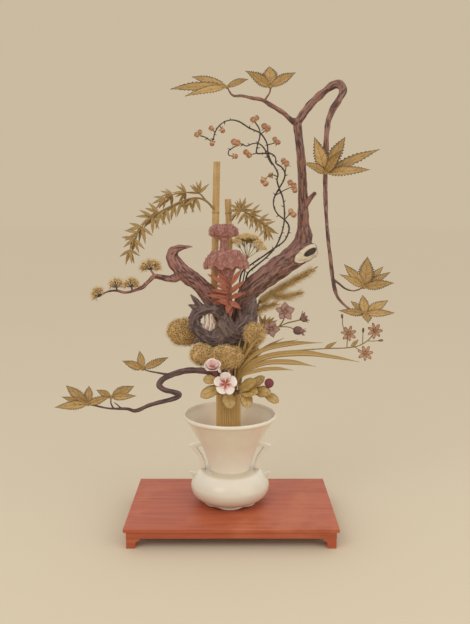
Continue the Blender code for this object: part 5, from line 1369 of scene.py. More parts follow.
def buildPineBranch():
    trunk = mm(4, -13, 7, stemFoot, 6.8,  -11, 6, 420, 8.5,  -10, 6, 495, 10.5,  -20, 10, 518, 16.5,
        -28, 16, 538, 21.5,  -51, 14, 571, 20.5,  -76, 8, 599, 17.7,  -97, 4, 615, 17.7,
        -114, 0, 629, 17.6,  -128, -2, 646, 16.3,  -139, -3, 663, 13.9,  -137, -4, 677, 10.9,
        -125, -6, 686, 7.2,  -106, -10, 690, 4.1,  -89, -14, 691, 1.4)
    arm = mm(4, -113, -2, 624, 9.7,  -130, -6, 616, 9,  -150, -14, 614, 7.2,  -166, -20, 618, 6,
        -181, -26, 620, 5.5,  -193, -32, 610, 5,  -205, -38, 598, 4.5,  -222, -46, 590, 3.6,
        -247, -54, 585, 3.1,  -266, -60, 590, 2.6,  -287, -66, 588, 2.1,  -303, -73, 578, 1.9)
    spur = mm(4, -177, -25, 618, 3,  -190, -20, 636, 2.2)
    heap = Heap()
    limb(heap, rooted(trunk), 20, 0.003, (0.0, 0.5), knots=0.14)
    limb(heap, arm, 12, 0.003, (0.3, 0.8), knots=0.20, start=1.0)
    limb(heap, spur, 8, 0.003, (0.3, 0.8), knots=0.10, start=2.0)
    pine = fused(heap, "pine", [pineBark], pineWork["voxel"], 2, pineWork["bark"])
    settle(pine, "pineLimb", "plum_brown_bark", "pine_branch")


def buildPads():
    for name, at, half, height, tilt, foot, node in (
        ("pinePadInner", (-0.190, -0.020, 0.636), 0.0290, 0.0300, 0.0, 0.0, "pine_pad_inner"),
        ("pinePadSecond", (-0.232, -0.050, 0.5970), 0.0215, 0.0280, 0.0, 0.0095, "pine_pad_second"),
        ("pinePadThird", (-0.266, -0.061, 0.5975), 0.0200, 0.0280, 0.0, 0.0085, "pine_pad_third"),
        ("pinePadTip", (-0.303, -0.073, 0.578), 0.0190, 0.0300, -34.0, 0.0, "pine_pad_tip"),
    ):
        heap = Heap()
        turn = Matrix.Rotation(math.radians(tilt), 3, "Y")
        twigs = Heap()
        if foot > 0.0:
            limb(twigs, [(at[0] + 0.002, at[1], at[2] - foot, 0.0021), (*at, 0.0018)], 8, 0.002, (0.4, 0.4))
        for number, degrees in enumerate((-84, -48, -10, 26, 56, 84)):
            angle = math.radians(degrees)
            offset = turn @ Vector((half * 0.60 * math.sin(angle), half * 0.16 * (-1) ** number,
                                    height * 0.52 * math.cos(angle) + 0.002))
            ball(heap, Vector(at) + offset, (half * 0.19, half * 0.22, half * 0.15), 12, 8, lumps=0.15)
            limb(twigs, [(*at, 0.0016), (*(Vector(at) + offset * 0.5), 0.0013),
                         (*(Vector(at) + offset), 0.0010)], 6, 0.004, (0.6, 0.6))
        lean = turn @ Vector((0.0, 0.0, 0.55))
        pad = heap.piece("pad", [pineNeedle])
        pad = worked(pad, tufts, {
            "Shape": padTuft, "Spacing": pineWork["padSpacing"], "Density": 90000.0,
            "Length": pineWork["padLength"], "Lean": lean, "Seed": 5, "Finish": pineNeedle, "Under": moundEarth,
        })
        settle(joined("pad", [pad, twigs.piece("twigs", [darkVine])]), name, "ochre_needle", node)


def buildYoungPine():
    upper = mm(4, 23.5, 3.5, stemFoot, 2.2,  34, 10, 400, 2.3,  42, 20, 460, 2.4,  54, 31, 517, 2.5,
        73, 42, 549, 2.5)
    soft = mm(4, 73, 42, 549, 2.5,  102, 52, 568, 2.3,  144, 60, 592, 2,  188, 67, 616, 1.7,
        205, 70, 628, 1.2)
    lower = mm(4, 100, 51, 567, 2,  136, 52, 562, 1.7,  172, 52, 571, 1.2)
    low = mm(4, 54, 31, 517, 2.2,  72, 36, 533, 1.9,  95, 37, 541, 1.6,  116, 39, 545, 1.2)
    bare = Heap()
    limb(bare, rooted(upper), 8, 0.006, (0.0, 0.5))
    parts = [bare.piece("bareStem", [greenStem])]
    for route, lean, seed in ((soft, (1.15, 0.2, 0.66), 7), (lower, (1.3, 0.0, 0.10), 8),
                              (low, (1.2, 0.05, 0.30), 9)):
        heap = Heap()
        limb(heap, route, 8, 0.005, (0.5, 0.8))
        parts.append(worked(heap.piece("shoot", [greenStem]), tufts, {
            "Shape": shootTuft, "Spacing": pineWork["shootSpacing"], "Density": 400000.0,
            "Length": pineWork["shootLength"], "Lean": lean, "Seed": seed, "Finish": youngNeedle,
            "Under": greenStem,
        }))
    tips = Heap()
    for here, along in (((0.205, 0.070, 0.628), (0.017, 0.002, 0.009)),
                        ((0.200, 0.069, 0.624), (0.016, -0.002, 0.003)),
                        ((0.172, 0.052, 0.571), (0.015, 0.0, 0.004)),
                        ((0.168, 0.052, 0.570), (0.014, 0.0, -0.001))):
        end = Vector(here) + Vector(along)
        limb(tips, [(*here, 0.0014), (*((Vector(here) + end) / 2), 0.0019), (*end, 0.0010)], 8, 0.003)
    parts.append(tips.piece("candles", [greenStem]))
    settle(joined("young", parts), "youngPine", "ochre_needle", "young_pine")


def buildMounds():
    for name, node, at, radii, stem, seed in (
        ("pineMoundLeft", "pine_mound_left", (-0.1130, 0.0140, 0.4790), (0.0430, 0.0190, 0.0350),
         mm(4, -24, -1, stemFoot, 2,  -36, 4, 400, 2,  -62, 8, 445, 2,  -100, 13, 474, 2), 31),
        ("pineMoundMiddle", "pine_mound_mid", (-0.065, -0.038, 0.4330), (0.0320, 0.0190, 0.0275),
         mm(4, -22, -10.5, stemFoot, 2,  -36, -20, 400, 2,  -56, -34, 422, 2), 32),
        ("pineMoundFront", "pine_mound_front", (-0.009, -0.061, 0.4310), (0.0420, 0.0130, 0.0300),
         mm(4, 5, -24, stemFoot, 1.5,  3, -40, 375, 1.5,  0, -59, 418, 1.5), 33),
        ("pineMoundUpper", "pine_mound_upper", (0.0590, -0.0560, 0.4860), (0.0270, 0.0090, 0.0290),
         mm(4, 11, -5, stemFoot, 1.6,  20, -12, 400, 1.6,  46, -36, 446, 1.6,  57, -54, 470, 1.6), 34),
        ("pineMoundRight", "pine_mound_right", (0.0450, -0.0100, 0.4350), (0.0300, 0.0110, 0.0280),
         mm(4, 13, 0, stemFoot, 1.6,  22, -3, 380, 1.6,  40, -9, 420, 1.6), 35),
    ):
        heap = Heap()
        ball(heap, at, [radius - 0.0030 for radius in radii], 40, 26, lumps=0.10)
        mound = worked(heap.piece("mound", [moundEarth]), tufts, {
            "Shape": moundTuft, "Spacing": pineWork["moundSpacing"], "Density": 60000.0,
            "Length": pineWork["moundLength"], "Lean": (0.0, 0.0, 0.0), "Seed": seed, "Finish": pineNeedle,
            "Under": moundEarth,
        })
        stalk = Heap()
        limb(stalk, rooted(stem), 8, 0.006, (0.0, 0.5))
        settle(joined("mound", [mound, stalk.piece("stalk", [greenStem])]), name, "ochre_needle", node)


buildPineBranch()
buildPads()
buildYoungPine()
buildMounds()
print("pine ready")


# driftwood stump with a hole through its left side
woodWork = {"plate": 0.72, "middle": -0.0275, "voxel": 0.0011,
            "bark": {"depth": 0.0030, "across": 110.0, "along": 60.0, "lumps": 55.0, "full": 0.010}}


def buildDriftwood():
    ring = mm(4, -18, 0, 532, 14,  -45, 0, 542, 9,  -70, 0, 537, 12.8,  -84, 0, 520, 14,  -81, 0, 500, 12.6,
        -66, 0, 480, 15,  -45, 0, 468, 18,  -20, 0, 476, 20.5)
    horn = mm(4, -68, 0, 542, 9,  -80, 0, 560, 6,  -94, 0, 577, 2)
    nub = mm(4, -83, 0, 519, 9.5,  -100, 0, 521, 3)
    heart = mm(4, -12, 0, 531, 13,  -10, 0, 505, 20,  2, 0, 485, 23,  12, 0, 474, 16)
    right = mm(4, 6, 0, 482, 18,  28, 0, 496, 21,  44, 0, 514, 19.5,  54, 0, 545, 12,  60, 0, 577, 3)
    base = mm(4, -52, 0, 462, 12,  -5, 0, 470, 16,  22, 0, 474, 16,  36, 0, 457, 5)
    heap = Heap()
    spikes = ((-0.082, 0.545, -0.100, 0.552), (-0.088, 0.500, -0.104, 0.496), (-0.072, 0.474, -0.088, 0.456),
              (-0.030, 0.464, -0.040, 0.447), (0.016, 0.468, 0.020, 0.449), (0.052, 0.500, 0.070, 0.497),
              (0.056, 0.535, 0.070, 0.552), (-0.020, 0.540, -0.014, 0.560), (0.030, 0.514, 0.022, 0.540),
              (-0.052, 0.545, -0.060, 0.560))
    jags = [[(x, 0.0, z, 0.0085), ((x + tipX) / 2, 0.0, (z + tipZ) / 2, 0.0055), (tipX, 0.0, tipZ, 0.0016)]
            for x, z, tipX, tipZ in spikes]
    for number, route in enumerate([ring, horn, nub, heart, right, base] + jags):
        limb(heap, route, 16, 0.003, (0.4, 0.3), knots=0.22, start=number * 0.7)
    for index, point in enumerate(heap.points):
        heap.points[index] = Vector((point.x, point.y * woodWork["plate"] + woodWork["middle"], point.z))
    for index, (here, side, lift, gone, radius) in enumerate(heap.spine):
        heap.spine[index] = (Vector((here.x, woodWork["middle"], here.z)), side, lift, gone, radius)
    limb(heap, rooted(mm(4, -10, -9.5, stemFoot, 4.5,  -12, -16, 400, 5,  -14, -26, 474, 6)), 10, 0.005,
         (0.0, 0.5), start=6.0)
    stump = fused(heap, "stump", [weatheredWood], woodWork["voxel"], 2, woodWork["bark"])
    # painted highlight: the inner edges of the hole are painted pale through the bare mark; the tip of the
    # right horn is painted a little paler too
    bare = []
    for vert in stump.data.vertices:
        away = Vector((vert.co.x + 0.050, 0.0, vert.co.z - 0.507))
        inside = 1.0 if away.length < 0.0165 else 0.0
        tip = max(0.0, 1.0 - (Vector((vert.co.x - 0.060, 0.0, vert.co.z - 0.580))).length / 0.016)
        bare.append(min(1.0, inside * 0.8 + tip * 0.3))
    putMark(stump.data, "bare", bare)
    putMark(stump.data, "hollow", [0.0] * len(bare))
    strips = Heap()
    for number, (low, high) in enumerate((((-0.064, 0.496), (-0.060, 0.528)),
                                          ((-0.055, 0.487), (-0.050, 0.532)),
                                          ((-0.046, 0.486), (-0.042, 0.524)),
                                          ((-0.039, 0.488), (-0.037, 0.512)))):
        middle = ((low[0] + high[0]) / 2 + 0.002, (low[1] + high[1]) / 2)
        deep = woodWork["middle"] + 0.006 + 0.002 * (number % 2)
        limb(strips, [(low[0], deep, low[1], 0.0030), (middle[0], deep - 0.002, middle[1], 0.0022),
                      (high[0], deep, high[1], 0.0028)],
             8, 0.003, (0.5, 0.5), start=number * 0.3, knots=0.25)
    inner = strips.piece("strips", [paleWood])
    putMark(inner.data, "bare", [0.0] * len(inner.data.vertices))
    putMark(inner.data, "hollow", [0.0] * len(inner.data.vertices))
    stump = joined("stump", [stump, inner])
    settle(stump, "driftwoodStump", "weathered_wood", "driftwood_stump")


buildDriftwood()
print("driftwood ready")


# bamboo
bambooWork = {"sides": 24, "leafWidth": 0.215, "unevenness": 0.06, "ridgeLow": 0.0011, "ridgeHigh": 0.0013}


def buildCulm(name, route, nodeHeight, bore, node):
    heap = Heap()
    places, radii = walked(rooted(route), 0.004)
    top = places[-1]
    drop = (places[-2] - top).normalized()
    radius = radii[-1]
    wide = list(zip(places, radii))
    ring = min(range(len(places)), key=lambda index: abs(places[index].z - nodeHeight))
    low = places[ring - 1]
    high = places[ring + 1]
    extra = []
    for share in range(1, 16):
        spot = low.lerp(high, share / 16.0)
        off = (spot.z - nodeHeight) * 1000.0
        below = bambooWork["ridgeLow"] * math.exp(-((off + 1.3) / 0.8) ** 2)
        above = bambooWork["ridgeHigh"] * math.exp(-((off - 1.3) / 0.9) ** 2)
        extra.append((spot, radius + (below + above)))
    wide = wide[:ring] + extra + wide[ring + 1:]
    lip = top - drop * 0.0002
    rings = [(here, size, "skin") for here, size in wide]
    rings += [(lip, radius - 0.0004, "skin"), (lip, bore + 0.0003, "cut"), (top + drop * 0.001, bore, "cut")]
    rings += [(top + drop * 0.020, bore, "cut"), (top + drop * 0.0215, bore * 0.5, "cut")]
    steps = framed([here for here, size in wide])
    side = steps[-1][1]
    lift = steps[-1][2]
    sides = bambooWork["sides"]
    points = []
    grain = []
    bare = []
    for index, (here, size, kind) in enumerate(rings):
        if index < len(steps):
            side, lift = steps[index][1], steps[index][2]
        for number in range(sides):
            angle = fullTurn * number / sides
            points.append(here + (side * math.cos(angle) + lift * math.sin(angle)) * size)
            grain.append((math.cos(angle) * size, math.sin(angle) * size, here.z))
            off = (here.z - nodeHeight) * 1000.0
            # the deep inside of the bore is marked strongly for painted shade, the rim of the open end only
            # lightly
            cut = 0.8 if index > len(rings) - 3 else 0.2
            bare.append(max(0.0, 1.0 - (off / 0.9) ** 2) if kind == "skin" else cut)
    points += [rings[0][0], rings[-1][0]]
    grain += [(0.0, 0.0, 0.0)] * 2
    bare += [0.0, 0.8]
    heap.add(points, tubeFaces(len(rings), sides), grain)
    culm = heap.piece(name, [bambooSkin])
    putMark(culm.data, "bare", bare)
    settle(culm, name, "bamboo_culm", node)


def buildSpray(name, node, stems, leaves, extra, seed):
    chance = random.Random(seed)
    single = Heap()
    narrow = bambooWork["leafWidth"]
    leaf(single, (0, 0, 0), (0, 0, 1.0), narrow, (0, 1, 0), "lance", 8, 4, 0.10, 0.35, 0.03, sink=0.0)
    shape = shapeOf(single, "narrowLeaf")
    spots = []
    for x, y, z, dx, dy, dz in leaves:
        reach = Vector((dx, dy, dz))
        facing = (chance.uniform(-0.5, 0.5), -1.0, chance.uniform(0.1, 0.7))
        size = reach.length * chance.uniform(1.12, 1.26)
        spots.append((Vector((x, y, z)) - reach.normalized() * 0.001, reach, facing, (size, size, size)))
        for way in extra:
            swing = Matrix.Rotation(way * chance.uniform(0.40, 0.75), 3, "Y")
            reach = swing @ Vector((dx, dy, dz))
            reach.y += chance.uniform(-0.010, 0.012)
            facing = (chance.uniform(-0.6, 0.6), -1.0, chance.uniform(0.1, 0.7))
            size = reach.length * chance.uniform(0.94, 1.16)
            spots.append((Vector((x, y, z)) - reach.normalized() * 0.001, reach, facing, (size, size, size)))
    choices = {"Shape": shape, "Unevenness": bambooWork["unevenness"], "Seed": seed, "Finish": bambooLeaf}
    foliage = worked(marked("foliage", spots), sprinkle, choices)
    twigs = Heap()
    for stem in stems:
        limb(twigs, stem, 8, 0.005, (0.4, 0.6))
    settle(joined("spray", [foliage, twigs.piece("twigs", [greenStem])]), name, "ochre_leaf", node)


def buildBamboo():
    buildCulm("tallCulm", mm(4, -13, 23.5, stemFoot, 5.2,  -28, 40, 460, 7.5,  -39, 50, 580, 8.7,
        -38, 50, 650, 8.7,  -32, 52, 895, 8.7), 0.773, 0.0064, "bamboo_culm_tall")
    buildCulm("shortCulm", mm(4, 4, 24.5, stemFoot, 4.5,  1, 43, 460, 7,  -3, 56, 579, 8.1,
        -2, 58, 702, 8.1,  -5, 60, 805, 8.1), 0.771, 0.0060, "bamboo_culm_short")
    buildSpray("bambooSprayLeft", "bamboo_spray_left", [
        mm(4, -40, 38, 781, 2.8,  -58, 34, 800, 2.6,  -82, 24, 807, 2.4,  -115, 12, 799, 2.3,
            -153, 0, 781, 2,  -185, -12, 762, 1.8,  -209, -22, 738, 1.6,  -225, -30, 710, 1.4,
            -236, -36, 684, 1.2),
        mm(4, -58, 34, 800, 2.2,  -75, 30, 818, 1.8,  -106, 24, 820, 1.6,  -139, 18, 814, 1.4,
            -156, 14, 806, 1.2),
    ], mm(6, -75, 30, 818, 4, 2, 30,  -75, 30, 818, -22, 0, 20,  -106, 24, 820, -24, 4, 18,
        -106, 24, 820, -18, 8, -22,  -139, 18, 814, -26, 6, 10,  -139, 18, 814, -20, 10, -20,
        -156, 14, 806, -28, 0, -10,  -156, 14, 806, -16, 6, -24,  -82, 24, 807, -10, -6, -30,
        -98, 18, 803, -12, -4, -32,  -115, 12, 799, -12, -6, -32,  -134, 6, 790, -8, -6, -34,
        -153, 0, 781, -8, -6, -34,  -169, -6, 771.5, -6, -6, -34,  -169, -6, 771.5, -30, 4, 10,
        -185, -12, 762, -34, 0, 2,  -185, -12, 762, 2, -6, -34,  -209, -22, 738, -32, 0, -6,
        -209, -22, 738, 8, -6, -32,  -217, -26, 724, -28, 0, -16,  -225, -30, 710, 8, -4, -30,
        -225, -30, 710, -26, 2, -18,  -236, -36, 684, -10, -4, -32,
        -236, -36, 684, 8, -2, -26), (-1.0, 1.0), 41)
    buildSpray("bambooSprayRight", "bamboo_spray_right", [
        mm(4, 4, 46, 753, 2.4,  13, 44, 765, 2.3,  27, 36, 776, 2.2,  49, 30, 768, 2,  71, 24, 753, 1.7,
            88, 18, 732, 1.3),
    ], mm(6, 27, 36, 776, -2, 6, 30,  27, 36, 776, -26, 0, 16,  27, 36, 776, 26, 0, 18,
        27, 36, 776, -24, -8, -14,  38, 33, 772, 4, -6, -30,  49, 30, 768, 30, 4, 10,
        49, 30, 768, 6, -6, -30,  60, 27, 760.5, 8, -6, -30,  71, 24, 753, 30, 0, 2,
        71, 24, 753, 6, -8, -28,  80, 21, 742, 26, 0, -12,  88, 18, 732, 18, -4, -24,
        88, 18, 732, -4, -8, -26), (-1.0, 1.0), 42)


buildBamboo()
print("bamboo ready")


# cockscomb: two velvet crests with deep folds, and the flame-like leaves under them
crestWork = {"around": 260, "part": 0.0014, "folds": 13, "fine": 31, "curl": 135.0, "rise": 0.0030}


def buildCrest(profile, at, depth, folds, deep, seed):
    places = walked([(radius, 0.0, height, 0.0) for radius, height in profile], crestWork["part"])[0]
    widest = max(place.x for place in places)
    rimAt = max(range(len(places)), key=lambda index: places[index].x)
    around = crestWork["around"]
    points = [Vector((at[0], at[1], places[0].z))]
    grain = [(0.0, 0.0, 1.0)]
    for row, place in enumerate(places[1:-1]):
        reach = max(place.x, 0.0006)
        share = reach / widest
        over = row + 1 <= rimAt
        for index in range(around):
            angle = fullTurn * index / around
            cycle = folds * angle + seed + 0.7 * math.sin(2.0 * angle + seed)
            wave = math.sin(cycle)
            fine = math.sin(crestWork["fine"] * angle + 2.0 * math.sin(3.0 * angle + seed))
            out = reach * (1.0 + deep * wave * share ** 1.5 + deep * 0.35 * fine * share ** 3)
            lift = share ** 2 * (0.0035 * math.cos(cycle + 0.9) + 0.0014 * math.sin(fine * 2.0 + seed))
            if over:
                lift += 0.0020 * math.sin(share * 14.0 + 1.5 * wave) * (1.0 - share * 0.5)
            x = out * math.cos(angle) + at[0]
            y = out * math.sin(angle) * depth + at[1]
            spot = Vector((x, y, place.z)) * crestWork["curl"] + Vector((seed, 0.0, 0.0))
            drift = noise.noise(spot * 0.6) * 1.4
            ridge = 1.0 - min(1.0, abs(noise.noise(spot + Vector((drift, drift, 0.0)))) * 4.2)
            rise = (ridge - 0.4) * crestWork["rise"] * min(1.0, share * 1.6)
            away = Vector((math.cos(angle), math.sin(angle), 0.8 if over else -0.3)).normalized() * rise
            points.append(Vector((x, y, place.z + lift)) + away)
            # the third grain value follows the ridge height, which the crest finish turns into painted shade in
            # the valleys
            grain.append((0.0, 0.0, max(0.0, min(1.0, 0.15 + 0.75 * ridge + 0.15 * wave))))
    points.append(Vector((at[0], at[1], places[-1].z)))
    grain.append((0.0, 0.0, 0.5))
    return points, turnedFaces(len(places) - 2, around), grain


def buildCockscomb():
    stem = mm(4, 4, -4, stemFoot, 3,  4, -3.5, 460, 3,  1, -3, 531, 3,  -4, -3, 571, 3.2,  -7, -2, 612, 4.2,
        -9, 0, 640, 4.2)
    lower = mm(2, 0, 679,  20, 682,  34, 677,  44, 667,  51, 653,  52.5, 641,  45, 640,  34, 644,  25, 638,
        19, 624,  13, 608,  0, 600)
    heap = Heap()
    heap.add(*buildCrest(lower, (-0.009, 0.001), 0.50, crestWork["folds"], 0.060, 0.6))
    limb(heap, rooted(stem), 12, 0.005, (0.0, 0.5))
    settle(heap.piece("crestLow", [roseCrest]), "cockscombLower", "rose_crest", "cockscomb_lower")
    upper = mm(2, 0, 740,  15, 743,  27, 739,  33.5, 731,  33.5, 721.5,  27, 716,  17.5, 713,  10.5, 706,
        9, 695,  10, 680,  0, 678)
    heap = Heap()
    heap.add(*buildCrest(upper, (-0.015, 0.009), 0.62, 7, 0.075, 2.1))
    settle(heap.piece("crestHigh", [roseCrest]), "cockscombUpper", "rose_crest", "cockscomb_upper")


def buildFlameLeaves():
    chance = random.Random(51)
    heap = Heap()
    limb(heap, mm(4, -3, -8.6, 602, 1.8,  0, -14, 596, 2,  -1, -20, 580, 2.2,  -2, -26, 561, 2.2,
        -4, -30, 548, 1.8), 10, 0.004)
    for x, y, z, dx, dy, dz, width in mm(
        7, 0, -14, 596, -36, -6, 42, 11,  0, -15, 594, -52, -20, 34, 13,
        0, -14, 596, 27, -14, 43, 13,  -1, -18, 585, -32, -34, 20, 12,
        -1, -20, 578, 34, -18, 34, 15,  -1, -20, 578, -37, -40, 16, 11,
        -1.5, -23, 570, -47, -24, 18, 14,  -1.5, -24, 567, -50, -34, 14, 14,
        -1.5, -24, 567, 37, -24, 18, 13,  -2, -26, 561, 27, -31, -12, 15,
        -2, -27, 558, -4, -37, -18, 18,  -3, -28, 555, 6, -26, -26, 16,
        -3, -28, 555, -22, -37, 13, 18,  -3, -27, 558, -35, -33, 4, 15
    ):
        tone = chance.random()
        facing = (chance.uniform(-0.3, 0.3), -1.0, chance.uniform(0.2, 0.6))
        leaf(heap, (x, y, z), (dx, dy, dz), width, facing, "flame", 18, 8, 0.12, 0.30, 0.0011, 0.0, 0.0006,
             0.22, tone)
    settle(heap.piece("flames", [flameLeaf]), "cockscombLeaves", "red_orange_leaf", "cockscomb_leaves")


buildCockscomb()
buildFlameLeaves()
print("cockscomb ready")


# berried vines
vineWork = {"berry": 0.0068, "thornEvery": 0.016, "thorn": 0.0078}


def berryShape():
    # round berry in a split husk, one unit across its radius
    heap = Heap()
    ball(heap, (0, 0, 0.15), (1.0, 1.0, 0.94), 10, 6)
    for index in range(3):
        angle = index * 2.0944
        points = []
        grain = []
        for row in range(5):
            share = row / 4.0
            wide = (0.25, 0.62, 0.78, 0.55, 0.06)[row]
            lean = 0.35 + 1.25 * share
            for spread in (-1.0, 0.0, 1.0):
                for layer in (0.0, 0.10):
                    reach = 1.20 * share
                    radial = Vector((math.sin(lean) * reach + 0.10, spread * wide * 0.62,
                                     -1.0 + reach * math.cos(lean) * 0.9 + layer))
                    points.append(Matrix.Rotation(angle, 3, "Z") @ radial)
                    grain.append((2.0, share, 0.0))
        faces = []
        for row in range(4):
            for column in range(2):
                low = row * 6 + column * 2
                high = low + 6
                faces.append((low, high, high + 2, low + 2))
                faces.append((low + 1, low + 3, high + 3, high + 1))
            for column, way in ((0, 1), (2, -1)):
                low = row * 6 + column * 2
                ring = (low, low + 1, low + 7, low + 6)
                faces.append(ring if way == 1 else tuple(reversed(ring)))
        faces.append((0, 2, 3, 1))
        faces.append((2, 4, 5, 3))
        faces.append((24, 25, 27, 26))
        faces.append((26, 27, 29, 28))
        heap.add(points, faces, grain)
    return turnedOut(shapeOf(heap, "huskBerry"))


def thornShape():
    heap = Heap()
    points = [(math.cos(index * 1.5708) * 0.26, math.sin(index * 1.5708) * 0.26, -0.3) for index in range(4)]
    points.append((0.1, 0.0, 1.0))
    faces = [(index, (index + 1) % 4, 4) for index in range(4)] + [(3, 2, 1, 0)]
    heap.add(points, faces, [(0.0, 0.0, 0.0)] * 5)
    return shapeOf(heap, "thorn")


huskBerry = berryShape()
thorn = thornShape()


def buildVine(name, node, route, twigs, berries, seed, firstThorn):
    chance = random.Random(seed)
    heap = Heap()
    limb(heap, route, 8, 0.004, (0.0, 0.8), knots=0.18)
    for number, twig in enumerate(twigs):
        limb(heap, twig, 6, 0.003, (0.4, 0.6), start=number + 1.0)
    parts = [heap.piece("vine", [darkVine])]
    spots = []
    for at in berries:
        here = Vector(at)
        near = min(heap.spine,
                   key=lambda stepAt: (stepAt[0] - here).length + (0.004 if stepAt[3] < 0.9 else 0.0))
        away = here - near[0]
        if away.length < 0.0008:
            away = Vector((0.2, -0.6, 0.5))
        along = away.normalized() + Vector((chance.uniform(-0.3, 0.3), -0.35, chance.uniform(-0.2, 0.3)))
        spots.append((here, along, (0, 0, 1), vineWork["berry"]))
    parts.append(worked(marked("berries", spots), sprinkle,
                        {"Shape": huskBerry, "Unevenness": 0.14, "Seed": seed, "Finish": berrySkin}))
    places, radii = walked(route, 0.001)
    steps = framed(places)
    spots = []
    gone = firstThorn
    turn = 0.0
    while gone < steps[-1][4] - 0.01:
        index = min(range(len(steps)), key=lambda number: abs(steps[number][4] - gone))
        here, side, lift, ahead, far = steps[index]
        away = (side * math.cos(turn) + lift * math.sin(turn) + ahead * 0.35).normalized()
        spots.append((here + away * radii[index] * 0.6, away, ahead, vineWork["thorn"]))
        gone += vineWork["thornEvery"] * chance.uniform(0.7, 1.3)
        turn += 2.4
    if spots:
        parts.append(worked(marked("thorns", spots), sprinkle,
                            {"Shape": thorn, "Unevenness": 0.2, "Seed": seed, "Finish": darkVine}))
    settle(joined("vine", parts), name, "dark_vine", node)


def buildVines():
    first = mm(4, 21.5, 13.5, stemFoot, 1.6,  27, 26, 400, 1.7,  26, 36, 460, 1.8,  24, 45, 520, 1.8,
        26, 50, 560, 1.9,  24, 49, 595, 2,  31, 43, 627, 2.1,  54, 34, 646, 2.1,  83, 22, 667, 2.1,
        108, 10, 686, 2.1,  130, -2, 703, 1.9,  140, -10, 723, 1.9,  141, -16, 740, 1.9,
        131, -18, 754, 1.9,  114, -14, 768, 1.9,  105, -6, 787, 1.9,  106, 0, 806, 1.9,  117, 6, 827, 1.9,
        129, 2, 849, 1.9,  131, -4, 865, 1.9,  122, -14, 878, 1.8,  109, -20, 886, 1.8,  107, -20, 900, 1.8,
        98, -16, 908, 1.8,  82, -8, 910, 1.7,  64, -4, 911, 1.7,  65, -3, 926, 1.7,  71, -3, 949, 1.7,
        70, -2, 966, 1.6,  58, 1, 985, 1.5)
    buildVine("vineFirst", "vine_first", rooted(first), [
        mm(4, 131, -18, 756, 1.4,  145, -22, 772, 1.1),
        mm(4, 110, 2, 813, 1.4,  127, -10, 823, 1.2,  152, -10, 834, 1),
        mm(4, 131, -4, 864, 1.3,  134, -10, 884, 1.1),
        mm(4, 64, -4, 911, 1.3,  48, -10, 906, 1.1),
    ], mm(3, 55, 1, 988,  63, 1, 992,  145, -20, 774,  151, -22, 767,  152, -10, 835,  134, -10, 886,
        127, -12, 892,  46, -10, 905,  39, -12, 912,  154.5, -9, 824.5,  143, -12, 842), 61, 0.30)
    second = mm(4, 22.5, 8.5, stemFoot, 1.6,  27.5, 18, 400, 1.7,  31, 32, 460, 1.8,  34, 44, 520, 1.8,
        37, 51, 560, 1.9,  38, 49, 592, 2,  44, 39, 622, 2.1,  64, 25, 642, 2.1,  88, 11, 663, 2.1,
        109, -2, 688, 2,  117, -6, 703, 2,  127, -4, 731, 1.9,  131, 0, 756, 1.9,  131, 6, 783, 1.9,
        127, 10, 809, 1.9,  118, -3, 829, 1.9,  112, -10, 847, 1.9,  114, -12, 862, 1.9,  106, -4, 880, 1.8,
        98, 4, 893, 1.8,  91, 8, 914, 1.8,  89, 10, 933, 1.8,  81, 12, 949, 1.8,  71, 14, 960, 1.8,
        46, 14, 971, 1.7,  26, 8, 983, 1.7,  8, 4, 988, 1.6,  -11, 0, 984, 1.5,  -26, -6, 972, 1.5,
        -35, -12, 956, 1.5,  -41, -16, 938, 1.4,  -58, -20, 946, 1.3,  -74, -24, 950, 1.2)
    buildVine("vineSecond", "vine_second", rooted(second), [
        mm(4, 113, -12, 856, 1.4,  98, -16, 860, 1.1,  80, -21, 848, 1),
        mm(4, 89, 10, 931, 1.3,  112, 0, 936, 1),
        mm(4, 74, 13.5, 957, 1.3,  89, 8, 968, 1),
        mm(4, -34, -12, 957, 1.3,  -42, -12, 966, 1),
        mm(4, -24, -5, 974, 1.2,  -18, -6, 965, 1),
    ], mm(3, 79, -21, 847,  84, -20, 840,  114, -1, 936,  107, 1, 943,  90, 7, 969,  82, 9, 974,
        -43, -12, 967,  -17, -6, 963,  -76, -24, 951,  -69, -22, 957,  -41, -16.5, 932,
        97, 3, 860), 62, 0.28)
    third = mm(4, 100.5, -6, 884, 1.6,  92, -12, 896, 1.6,  81, -20, 920, 1.6,  67, -24, 931, 1.5,
        52, -26, 930, 1.5,  39, -26, 925, 1.5,  25, -26, 930, 1.4,  8, -28, 921, 1.4,  -2, -30, 914, 1.4,
        -2, -31, 904, 1.3,  8, -33, 901, 1.2)
    buildVine("vineTendril", "vine_tendril", third, [], mm(3, 13, -34, 901,  18, -27, 932,
        10, -28, 934), 63, 0.01)


buildVines()
print("vines ready")


# yellow umbel
umbelWork = {"florets": 74, "size": 0.0036}


def floretShape():
    heap = Heap()
    ball(heap, (0, 0, 0), (0.50, 0.50, 0.42), 5, 3)
    for index in range(4):
        angle = index * 1.5708
        ball(heap, (0.62 * math.cos(angle), 0.62 * math.sin(angle), 0.05), (0.44, 0.44, 0.22), 4, 3)
    return shapeOf(heap, "floret")


